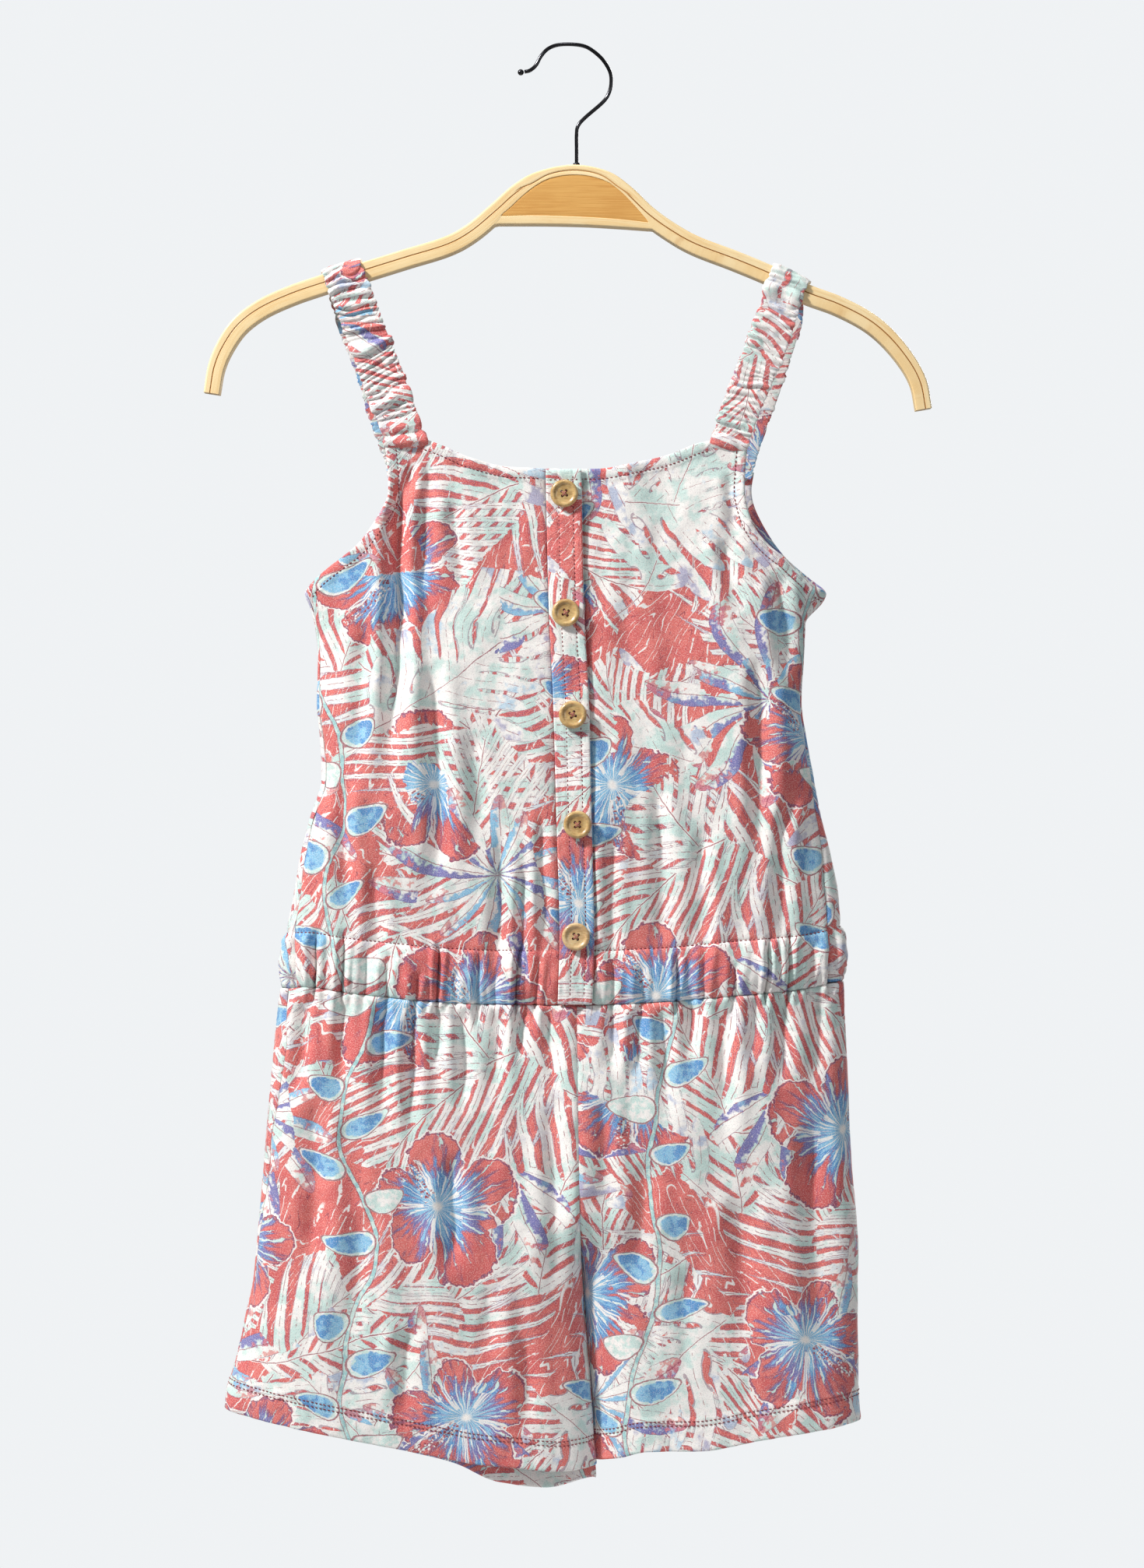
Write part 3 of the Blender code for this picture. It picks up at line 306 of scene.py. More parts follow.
# Hanger: its top edge from tip to tip, with the thickness of the upper strip
# and of the lower one, square to the edge.
BOW = table(
    "x       z       upper lower",
    (-215.3, -200.0, 3.6, 5.4),
    (-212.8, -184.5, 3.8, 5.6),
    (-207.4, -171.0, 4.1, 5.8),
    (-198.4, -157.9, 4.4, 5.9),
    (-184.8, -147.4, 4.6, 5.9),
    (-166.8, -139.0, 4.7, 5.9),
    (-147.2, -132.3, 4.7, 5.9),
    (-122.0, -124.6, 4.7, 5.8),
    ( -99.5, -117.6, 4.7, 5.8),
    ( -77.0, -110.7, 4.7, 5.7),
    ( -63.5, -103.4, 4.7, 5.6),
    ( -50.0,  -92.2, 4.8, 5.4),
    ( -36.5,  -80.4, 5.1, 5.0),
    ( -22.9,  -72.9, 5.3, 5.0),
    (  -2.2,  -68.8, 5.4, 5.0),
    (  17.6,  -72.4, 5.3, 5.0),
    (  31.0,  -81.2, 5.1, 5.0),
    (  44.5,  -93.8, 4.8, 5.2),
    (  58.0, -103.4, 4.7, 5.4),
    (  71.5, -110.7, 4.7, 5.6),
    (  94.0, -119.2, 4.7, 5.8),
    ( 116.5, -128.7, 4.7, 5.8),
    ( 134.6, -138.1, 4.7, 5.9),
    ( 152.6, -144.9, 4.6, 5.9),
    ( 170.6, -154.3, 4.5, 5.9),
    ( 183.6, -165.2, 4.3, 5.8),
    ( 195.3, -180.0, 4.0, 5.6),
    ( 202.1, -193.5, 3.8, 5.5),
    ( 205.0, -209.0, 3.6, 5.4))
BAR = table(            # the lower strip where it runs straight under the panel
    "x       top     bottom",
    ( -43.2,  -98.6, -103.3),
    ( -25.0,  -98.2, -103.3),
    (   0.0,  -98.9, -103.7),
    (  25.0, -100.5, -105.0),
    (  41.4, -102.3, -106.2))
PANEL_TOP = table(      # where the panel meets the bow above it
    "x       z",
    ( -43.9,  -98.2),
    ( -39.6,  -94.7),
    ( -36.0,  -91.4),
    ( -32.4,  -88.0),
    ( -28.8,  -84.9),
    ( -25.2,  -82.1),
    ( -21.6,  -79.7),
    ( -18.0,  -77.8),
    ( -14.4,  -76.4),
    (  -7.2,  -75.0),
    (   0.0,  -74.7),
    (   7.2,  -75.4),
    (  14.4,  -77.4),
    (  18.0,  -79.1),
    (  21.6,  -81.4),
    (  25.2,  -84.3),
    (  28.8,  -87.7),
    (  32.4,  -91.5),
    (  36.0,  -95.5),
    (  39.6,  -99.8),
    (  41.3, -101.9))
HOOK = table(
    "x      z",
    (-30.2, -14.5),
    (-27.0, -13.7),
    (-23.6, -10.8),
    (-20.7,  -5.6),
    (-16.7,  -1.3),
    (-11.0,   1.0),
    ( -3.2,   1.4),
    (  4.0,   0.4),
    (  9.4,  -2.4),
    ( 15.3,  -7.8),
    ( 19.2, -14.4),
    ( 20.0, -20.2),
    ( 18.9, -26.1),
    ( 15.3, -31.9),
    (  5.0, -40.9),
    (  0.9, -45.6),
    (  0.0, -50.5),
    (  0.0, -60.0),
    (  0.0, -72.6))

# Creases pressed or hung into the cloth: a line down it, the depth and width of
# the trough, and how far the line bows sideways.
CREASES_BODICE = table(
    "x_top   z_top  x_end   z_end  depth width bow",
    (-103.0, -240, -108.5, -450, 4.2,  5.6,  1.5),
    ( -96.0, -242,  -98.0, -262, 1.0,  2.6,  0.5),
    ( -85.5, -240,  -84.5, -262, 0.9,  2.4,  0.0),
    ( -87.5, -258,  -86.0, -340, 1.7,  4.6, -1.5),
    ( -71.5, -262,  -65.5, -322, 1.3,  4.2,  1.0),
    ( -83.5, -352,  -80.5, -505, 2.0,  5.6,  2.0),
    ( -62.0, -395,  -56.0, -470, 0.9,  5.0,  1.5),
    ( -45.0, -452,  -45.0, -560, 1.5,  4.2,  0.6),
    ( -31.0, -470,  -34.0, -560, 1.6,  3.4,  0.8),
    ( -20.5, -440,  -19.5, -530, 1.2,  3.0,  0.4),
    (  20.5, -452,   21.5, -552, 1.4,  4.0, -0.6),
    (  30.0, -300,   27.0, -380, 0.7,  5.0,  1.0),
    (  46.0, -420,   48.5, -540, 1.5,  5.0,  1.2),
    (  73.0, -448,   72.5, -545, 1.5,  4.6, -1.0),
    (  84.0, -284,   93.0, -336, 1.5,  4.6,  1.0),
    (  88.0, -246,   90.5, -290, 1.2,  4.0,  0.6),
    ( 104.0, -352,  104.5, -505, 2.3,  6.0,  1.5),
    ( 114.5, -304,  121.0, -372, 2.4,  5.0,  1.2),
    ( 121.0, -430,  117.0, -520, 1.8,  4.6, -1.2),
    (-123.0, -330, -126.0, -430, 1.5,  5.2,  1.0),
    (-134.0, -420, -131.0, -520, 1.9,  4.8, -1.0),
    (-118.0, -470, -113.0, -545, 1.6,  4.2,  0.8))
CREASES_SHORTS = table(
    "x_top   z_top  x_end   z_end  depth width bow",
    (-158.0, -548, -161.0, -612, 2.2,  4.2,  0.8),
    (-134.5, -548, -136.0, -606, 1.8,  4.0,  0.6),
    (-113.5, -550, -111.0, -628, 3.0,  4.4,  0.8),
    ( -94.5, -552,  -95.5, -640, 2.7,  3.8, -0.6),
    ( -79.0, -552,  -82.0, -592, 1.4,  3.2,  0.3),
    ( -67.0, -553,  -65.0, -622, 1.8,  4.2,  0.8),
    ( -45.0, -553,  -44.0, -612, 1.7,  4.0, -0.6),
    ( -30.0, -553,  -33.0, -586, 1.2,  3.2,  0.2),
    ( -17.0, -553,  -14.0, -608, 1.7,  3.6,  0.6),
    (  19.5, -553,   21.0, -596, 1.7,  3.8,  0.5),
    (  35.5, -552,   33.0, -604, 1.5,  3.8,  0.5),
    (  49.0, -551,   51.0, -622, 1.9,  4.2,  0.8),
    (  66.0, -550,   65.0, -588, 1.2,  3.6,  0.3),
    (  84.5, -548,   84.0, -640, 1.9,  5.0,  1.0),
    ( 102.0, -546,  100.0, -590, 1.4,  3.8,  0.3),
    ( 116.5, -545,  118.0, -604, 1.8,  4.2,  0.6),
    ( 138.0, -542,  140.0, -600, 1.7,  4.2,  0.4),
    ( -72.0, -636,  -73.5, -716, 2.4,  5.4,  1.6),
    (-151.0, -604, -156.0, -728, 2.5,  7.0,  2.4),
    (-124.0, -668, -130.0, -752, 1.2,  7.0,  1.6),
    ( -98.5, -736,  -99.5, -800, 2.2,  5.4,  1.0),
    ( -51.0, -712,  -49.0, -760, 1.5,  5.0,  1.0),
    ( -15.5, -600,  -12.0, -735, 1.7,  5.2,  2.0),
    ( -30.0, -742,  -24.0, -802, 1.4,  5.2, -1.0),
    (  14.5, -604,   17.0, -688, 1.3,  5.0,  1.0),
    (  38.0, -640,   34.0, -725, 1.3,  6.2,  1.5),
    (  62.0, -700,   66.0, -790, 1.4,  7.0, -1.4),
    (  92.0, -660,   95.0, -760, 1.6,  7.4,  1.8),
    ( 133.0, -612,  141.0, -786, 2.2,  8.0,  2.2))
CREASES_BODICE_BACK = table(
    "x_top   z_top  x_end   z_end  depth width bow",
    ( -98.0, -296, -104.0, -474, 3.0,  6.4,  1.5),
    ( -86.0, -246,  -80.0, -318, 1.4,  4.4,  1.0),
    ( -58.0, -372,  -52.0, -480, 1.3,  6.0,  2.0),
    ( -76.0, -440,  -78.0, -552, 1.7,  4.6,  0.8),
    ( -44.0, -462,  -42.0, -552, 1.5,  4.2,  0.5),
    ( -18.0, -448,  -20.0, -552, 1.6,  4.6, -0.8),
    (   8.0, -470,    9.0, -552, 1.3,  3.6,  0.4),
    (  40.0, -322,   44.0, -474, 1.8,  6.6,  2.0),
    (  62.0, -452,   60.0, -552, 1.7,  4.4,  0.6),
    (  88.0, -246,   84.0, -306, 1.3,  4.4,  0.8),
    ( 100.0, -300,  106.0, -505, 2.8,  6.4,  1.5),
    ( 122.0, -440,  120.0, -545, 1.7,  4.4, -0.8),
    (-128.0, -450, -126.0, -545, 1.8,  4.6,  0.8))
CREASES_SHORTS_BACK = table(
    "x_top   z_top  x_end   z_end  depth width bow",
    (-152.0, -548, -154.0, -612, 1.9,  4.4,  0.6),
    (-120.0, -548, -122.0, -644, 2.8,  4.8,  0.8),
    ( -92.0, -550,  -90.0, -606, 1.7,  4.0,  0.4),
    ( -60.0, -552,  -58.0, -654, 2.3,  4.8,  1.0),
    ( -34.0, -552,  -36.0, -600, 1.5,  3.8,  0.4),
    ( -14.0, -552,  -15.0, -612, 1.5,  4.0,  0.6),
    (  16.0, -551,   15.0, -604, 1.5,  4.0,  0.5),
    (  38.0, -550,   40.0, -600, 1.6,  4.0,  0.4),
    (  62.0, -550,   60.0, -644, 2.4,  4.8,  1.0),
    (  90.0, -548,   92.0, -606, 1.6,  4.2,  0.5),
    ( 118.0, -546,  122.0, -664, 2.5,  5.2,  1.2),
    (-132.0, -650, -138.0, -740, 1.4,  7.4,  1.6),
    ( -95.0, -690, -100.0, -796, 2.2,  7.0,  1.8),
    ( -44.0, -690,  -40.0, -780, 1.6,  6.4,  1.4),
    (  34.0, -690,   38.0, -770, 1.5,  6.4,  1.2),
    (  92.0, -680,   96.0, -784, 2.2,  7.0,  1.6),
    ( 134.0, -640,  140.0, -740, 1.6,  7.0,  1.4))

# Sharp puckers where the elastic draws the waist seam up: position, depth,
# half width, and how far each runs above and below the seam.
PUCKERS_FRONT = table(
    "x       depth width up   down",
    (-164.0, 2.0,  2.6, 30,  14),
    (-151.5, 2.8,  2.2, 33,  16),
    (-135.5, 2.4,  2.0, 36,  12),
    (-122.0, 1.2,  2.4, 26,  18),
    (-109.0, 1.6,  2.2, 30,  30),
    ( -93.5, 1.8,  2.0, 16,  34),
    ( -80.8, 2.9,  1.7, 34,  12),
    ( -70.0, 1.0,  2.2, 20,  16),
    ( -57.5, 1.6,  1.8, 31,  20),
    ( -46.5, 0.9,  1.8, 22,  14),
    ( -34.8, 3.2,  1.5, 36,  12),
    ( -24.0, 1.4,  1.6, 28,  18),
    (  19.6, 1.5,  2.0, 26,  22),
    (  36.0, 1.0,  2.2, 22,  20),
    (  57.1, 2.3,  1.7, 27,  12),
    (  73.0, 1.4,  2.0, 34,  16),
    (  90.0, 1.1,  2.2, 20,  22),
    ( 108.8, 2.9,  1.7, 33,  12),
    ( 121.4, 2.6,  1.7, 35,  14),
    ( 134.0, 1.4,  2.0, 26,  16),
    ( 146.2, 2.4,  2.2, 34,  12))
PUCKERS_BACK = table(
    "x       depth width up   down",
    (-160.0, 2.0,  2.6, 30,  14),
    (-146.0, 2.4,  2.2, 34,  18),
    (-131.0, 1.6,  2.2, 28,  16),
    (-117.5, 2.8,  1.8, 34,  14),
    (-102.0, 1.5,  2.2, 26,  22),
    ( -88.0, 2.6,  1.8, 35,  12),
    ( -71.0, 1.7,  2.0, 27,  20),
    ( -59.0, 2.9,  1.6, 34,  12),
    ( -41.0, 1.6,  2.0, 28,  18),
    ( -27.5, 2.4,  1.8, 32,  14),
    ( -10.0, 1.6,  2.2, 27,  20),
    (   5.5, 2.8,  1.7, 35,  12),
    (  21.0, 1.7,  2.0, 26,  18),
    (  35.0, 2.6,  1.8, 33,  14),
    (  52.5, 1.5,  2.2, 28,  20),
    (  66.0, 2.8,  1.7, 34,  12),
    (  83.0, 1.6,  2.0, 27,  18),
    (  97.0, 2.6,  1.8, 34,  14),
    ( 113.0, 1.7,  2.0, 28,  16),
    ( 127.0, 2.6,  1.8, 33,  14),
    ( 142.0, 2.0,  2.2, 30,  14))

# --------------------------------------------------------------- plain algebra


def curve(x, y):
    """Smooth curve through a table's rows that never overshoots a row."""
    x, y = np.asarray(x, float), np.asarray(y, float)
    if x[0] > x[-1]:
        x, y = x[::-1], y[::-1]
    h, d = np.diff(x), np.diff(y) / np.diff(x)
    m = np.zeros_like(y)
    for i in range(1, len(x) - 1):
        if d[i - 1] * d[i] > 0:
            a, b = 2 * h[i] + h[i - 1], h[i] + 2 * h[i - 1]
            m[i] = (a + b) / (a / d[i - 1] + b / d[i])
    m[0], m[-1] = d[0], d[-1]

    def value(t):
        t = np.clip(np.asarray(t, float), x[0], x[-1])
        i = np.clip(np.searchsorted(x, t) - 1, 0, len(x) - 2)
        u = (t - x[i]) / h[i]
        return ((2 * u**3 - 3 * u**2 + 1) * y[i] + (u**3 - 2 * u**2 + u) * h[i] * m[i]
                + (3 * u**2 - 2 * u**3) * y[i + 1] + (u**3 - u**2) * h[i] * m[i + 1])
    return value


def smooth(t):
    t = np.clip(t, 0.0, 1.0)
    return t * t * (3 - 2 * t)


def bell(t):
    return np.exp(-np.square(t))


def corner(ix, iy, seed):
    """A repeatable random number from 0 to 1 for each corner of a lattice."""
    h = (ix * 374761393 + iy * 668265263 + seed * 974634777) & 0xFFFFFFFF
    h = ((h ^ (h >> 13)) * 1274126177) & 0xFFFFFFFF
    return ((h ^ (h >> 16)) & 0xFFFF) / 65535.0


def noise(x, y, seed=0):
    """Smooth unevenness from -1 to 1, about one bump per unit."""
    x, y = np.broadcast_arrays(np.asarray(x, float), np.asarray(y, float))
    ix, iy = np.floor(x).astype(np.int64), np.floor(y).astype(np.int64)
    fx, fy = x - ix, y - iy
    u, v = fx * fx * fx * (fx * (fx * 6 - 15) + 10), fy * fy * fy * (fy * (fy * 6 - 15) + 10)
    low = corner(ix, iy, seed) * (1 - u) + corner(ix + 1, iy, seed) * u
    high = corner(ix, iy + 1, seed) * (1 - u) + corner(ix + 1, iy + 1, seed) * u
    return 2 * (low * (1 - v) + high * v) - 1


def smooth_path(points, steps=8):
    """Catmull-Rom curve through the points."""
    p = [np.array(v, float) for v in points]
    p = [2 * p[0] - p[1]] + p + [2 * p[-1] - p[-2]]
    out = []
    for a, b, c, d in zip(p, p[1:], p[2:], p[3:]):
        for i in range(steps):
            t = i / steps
            out.append(0.5 * ((2 * b) + (c - a) * t + (2 * a - 5 * b + 4 * c - d) * t * t
                              + (3 * b - a - 3 * c + d) * t ** 3))
    out.append(p[-2])
    return np.array(out)


def resample(points, pitch):
    """Even points along an open line, keeping both ends."""
    points = np.array(points, float)
    run = np.concatenate([[0], np.cumsum(np.linalg.norm(np.diff(points, axis=0), axis=1))])
    count = max(1, int(round(run[-1] / pitch)))
    at = np.linspace(0, run[-1], count + 1)
    return np.stack([np.interp(at, run, points[:, i]) for i in range(points.shape[1])], axis=1)


def nearest(points, path):
    """Distance from each point to an open line, and how far along it that is."""
    path = np.asarray(path, float)
    a, d = path[:-1], np.diff(path, axis=0)
    length = np.linalg.norm(d, axis=1)
    run = np.concatenate([[0], np.cumsum(length)])[:-1]
    far, at = np.full(len(points), 1e9), np.zeros(len(points))
    for s in range(0, len(points), 2048):
        p = points[s:s + 2048]
        v = p[:, None, :] - a[None]
        t = np.clip((v * d).sum(2) / np.maximum((d * d).sum(1), 1e-12), 0, 1)
        gap = np.hypot(v[..., 0] - d[:, 0] * t, v[..., 1] - d[:, 1] * t)
        k = gap.argmin(1)
        i = np.arange(len(p))
        far[s:s + 2048], at[s:s + 2048] = gap[i, k], run[k] + t[i, k] * length[k]
    return far, at


def within(points, ring):
    """Which points lie inside a closed outline."""
    points, ring = np.asarray(points, float), np.asarray(ring, float)
    nxt = np.roll(ring, -1, axis=0)
    keep = ring[:, 1] != nxt[:, 1]
    x1, y1, x2, y2 = ring[keep, 0], ring[keep, 1], nxt[keep, 0], nxt[keep, 1]
    slope = (x2 - x1) / (y2 - y1)
    inside = np.zeros(len(points), bool)
    for s in range(0, len(points), 1024):
        x, y = points[s:s + 1024, :1], points[s:s + 1024, 1:]
        hits = ((y1 > y) != (y2 > y)) & (x < slope * (y - y1) + x1)
        inside[s:s + 1024] = hits.sum(1) % 2 == 1
    return inside


def creased(tab, x, z):
    """How far the creases push the cloth in (negative) or out at each point."""
    total = np.zeros(np.broadcast(x, z).shape)
    for row, (xt, zt, xe, ze, depth, width, bow) in enumerate(rows_of(tab)):
        u = (z - zt) / (ze - zt)
        if not np.any((u > 0) & (u < 1)):
            continue
        c = np.clip(u, 0, 1)
        line = xt + (xe - xt) * c + bow * np.sin(math.pi * c) + 0.25 * width * noise(z / 19, row * 7.3, 5)
        along = smooth(u / 0.16) * smooth((1 - u) / 0.45) * (1 + 0.3 * noise(z / 23, row * 3.1, 9))
        t = (x - line) / (width * (0.85 + 0.35 * c))
        ridge = 0.42 * bell((t - 1.9) / 0.95) + 0.34 * bell((t + 1.9) / 0.95)
        total -= depth * along * (np.exp(-np.abs(t) ** 1.7) - ridge)
    return total


LEFT, RIGHT = curve(BODICE["z"], BODICE["left"]), curve(BODICE["z"], BODICE["right"])
DEPTH = {-1: curve(BODICE["z"], BODICE["front"]), 1: curve(BODICE["z"], BODICE["back"])}
OUT = {"right": curve(SHORTS["z"], SHORTS["out_r"]), "left": curve(SHORTS["z"], SHORTS["out_l"])}
INN = {"right": curve(SHORTS["z"], SHORTS["in_r"]), "left": curve(SHORTS["z"], SHORTS["in_l"])}
LEG_DEPTH = {-1: curve(SHORTS["z"], SHORTS["front"]), 1: curve(SHORTS["z"], SHORTS["back"])}
SEAM = {"right": curve(SIDE_SEAM["z"], SIDE_SEAM["right"]), "left": curve(SIDE_SEAM["z"], SIDE_SEAM["left"])}
WAIST = {-1: curve(WAIST_FRONT["x"], WAIST_FRONT["z"]), 1: curve(WAIST_BACK["x"], WAIST_BACK["z"])}
PLACKET_EDGE = curve(PLACKET["z"], PLACKET["right"])
PUCKERS = {-1: PUCKERS_FRONT, 1: PUCKERS_BACK}
CREASES = {("bodice", -1): CREASES_BODICE, ("bodice", 1): CREASES_BODICE_BACK,
           ("shorts", -1): CREASES_SHORTS, ("shorts", 1): CREASES_SHORTS_BACK}


class Bodice:
    """The bodice tube seen from the front (face -1) or from the back (face 1).
    A point is found by the distance q along the cloth from the middle of the
    face, and by its level z."""

    kind = "bodice"

    def __init__(self, face):
        self.face = face
        self.levels = np.arange(-562.0, -217.0, 3.0)
        self.angles = np.radians(np.linspace(-128, 128, 1025))
        self.measure()

    def measure(self):
        a, z = np.meshgrid(self.angles, self.levels)
        x, y = self.flat(a, z)
        step = np.hypot(np.diff(x, axis=1), np.diff(y, axis=1))
        run = np.concatenate([np.zeros((len(self.levels), 1)), np.cumsum(step, axis=1)], axis=1)
        mid = int(np.argmin(np.abs(self.angles)))
        self.run = run - run[:, mid:mid + 1]
        self.reach = np.arange(self.run.min() - 0.3, self.run.max() + 0.6, 0.3)
        self.back = np.array([np.interp(self.reach, row, self.angles) for row in self.run])

    def flat(self, a, z):
        xl, xr = LEFT(z) + 0.7, RIGHT(z) - 0.7
        s = np.sin(a)
        f = np.cos(a) * np.sqrt(sum(s ** (2 * i) for i in range(SIDE_ROUND // 2)))
        depth = np.where(f >= 0, DEPTH[self.face](z), DEPTH[-self.face](z))
        return (xl + xr) / 2 + (xr - xl) / 2 * s, self.face * depth * f

    def angle(self, x, z):
        xl, xr = LEFT(z) + 0.7, RIGHT(z) - 0.7
        return np.arcsin(np.clip((x - (xl + xr) / 2) / ((xr - xl) / 2), -1, 1))

    def read(self, grid, start, step, value, z):
        """Grid of values by level and by even steps, read between its points."""
        v = np.clip((z - self.levels[0]) / 3.0, 0, len(self.levels) - 1.001)
        u = np.clip((value - start) / step, 0, grid.shape[1] - 1.001)
        i, j = v.astype(int), u.astype(int)
        v, u = v - i, u - j
        return ((grid[i, j] * (1 - u) + grid[i, j + 1] * u) * (1 - v)
                + (grid[i + 1, j] * (1 - u) + grid[i + 1, j + 1] * u) * v)

    def span(self, a, z):
        """Distance along the cloth of an angle."""
        a, z = np.broadcast_arrays(np.asarray(a, float), np.asarray(z, float))
        return self.read(self.run, self.angles[0], self.angles[1] - self.angles[0], a.ravel(), z.ravel())

    def turn(self, q, z):
        """Angle of a distance along the cloth."""
        return self.read(self.back, self.reach[0], 0.3, q, z)

    def base(self, q, z):
        x, y = self.flat(self.turn(q, z), z)
        return np.stack([x, y, z], axis=1)

    def normal(self, q, z):
        e = 0.6
        across = self.base(q + e, z) - self.base(q - e, z)
        down = self.base(q, z + e) - self.base(q, z - e)
        n = np.cross(across, down) * (1 if self.face < 0 else -1)
        return n / np.linalg.norm(n, axis=1)[:, None]


class Leg(Bodice):
    """One half of the shorts: half the hip tube above the crotch, and a tube of
    its own below.  The angle is -90 degrees at the outer fold, 90 at the inner."""

    kind = "shorts"

    def __init__(self, face, side):
        self.side, self.face = side, face
        self.levels = np.arange(-846.0, -527.0, 3.0)
        self.angles = np.radians(np.linspace(-128, 90, 873))
        self.measure()

    def flat(self, a, z):
        turn = 1 if self.side == "right" else -1
        xo, xi = OUT[self.side](z) + 0.7 * turn, INN[self.side](z) - 0.02 * turn
        h = (1 + np.sin(a)) / 2
        outer = np.sqrt(np.clip(1 - (1 - h) ** SIDE_ROUND, 0, 1)) * np.sign(a + math.pi / 2)
        inner = np.sqrt(np.clip(1 - h ** INNER_ROUND, 0, 1))
        k = smooth((CROTCH_START - z) / (CROTCH_START - CROTCH_END))
        depth = np.where(outer >= 0, LEG_DEPTH[self.face](z), LEG_DEPTH[-self.face](z))
        y = self.face * depth * outer * (1 - k + k * inner)
        return xo + (xi - xo) * h, y - turn * LEG_SHIFT * k * smooth(h)

    def angle(self, x, z):
        turn = 1 if self.side == "right" else -1
        xo, xi = OUT[self.side](z) + 0.7 * turn, INN[self.side](z) - 0.02 * turn
        return np.arcsin(np.clip(2 * (x - xo) / (xi - xo) - 1, -1, 1))

    def normal(self, q, z):
        n = super().normal(q, z)
        return n if self.side == "right" else -n


def hung(kind, face, x, z):
    """The cloth's own relief at a point, away from its edges: creases, the
    gathers at the elastic, and the soft unevenness of hanging jersey."""
    seam = WAIST[face](x)
    s = z - seam
    lift = 2.1 * creased(CREASES[kind, face], x, z)
    lift += 1.6 * noise(x / 47, z / 95, 11 + face) + 1.35 * noise(x / 15 + z / 120, z / 62, 17 + face)
    lift += 0.48 * noise(x / 7.5 - z / 60, z / 24, 23 + face) + 0.12 * noise(x / 3.4 + z / 9, z / 7, 29 + face)
    near = np.exp(-np.abs(s) / 46)
    gather = 1.9 * noise(x / 10.5, s / 90, 31 + face) + 1.1 * noise(x / 5.0, s / 45, 37 + face)
    lift += gather * near * (0.75 if kind == "bodice" else 0.9)
    for px, depth, width, up, down in rows_of(PUCKERS[face]):
        reach = np.where(s > 0, s / up, -s / down)
        lean = 0.05 * s + 0.9 * noise(s / 12, px, 47)
        t = (x - px - lean) / (width * (0.84 if depth >= 1.9 else 0.95) * (1 + 0.35 * np.clip(reach, 0, 1)))
        fade = np.where(s > 0, 1 - smooth((reach - 0.72) / 0.36), 1 - smooth(reach))
        lift -= depth * 1.95 * fade * (np.exp(-np.abs(t) ** 1.1) - 0.5 * bell((np.abs(t) - 1.8) / 0.9))
    if kind == "bodice":
        inside = smooth(s / 10.0) * smooth((CASING + 1.0 - s) / 2.2)
        puff = np.sqrt(np.clip(np.sin(math.pi * np.clip(s / CASING, 0, 1)), 0, 1))
        lift += inside * puff * (1.5 + 0.95 * noise(x / 8, 0.0, 41) + 0.6 * noise(x / 3.6, s / 30, 43))
        lift -= 0.45 * bell((s - CASING) / 0.9)
        if face < 0:        # the cloth sinks under the placket's buttoned edge
            lift -= 2.5 * bell((x - PLACKET_EDGE(z) - 0.5) / 0.8) * smooth((-248.0 - z) / 5.0)
    else:
        lift += 0.65 * np.exp(-np.abs(s) / 7.0)
    lift -= 0.9 * bell(s / 0.75)
    return lift


EDGES = ("hem", "edge", "seam", "waist", "open", "strap")


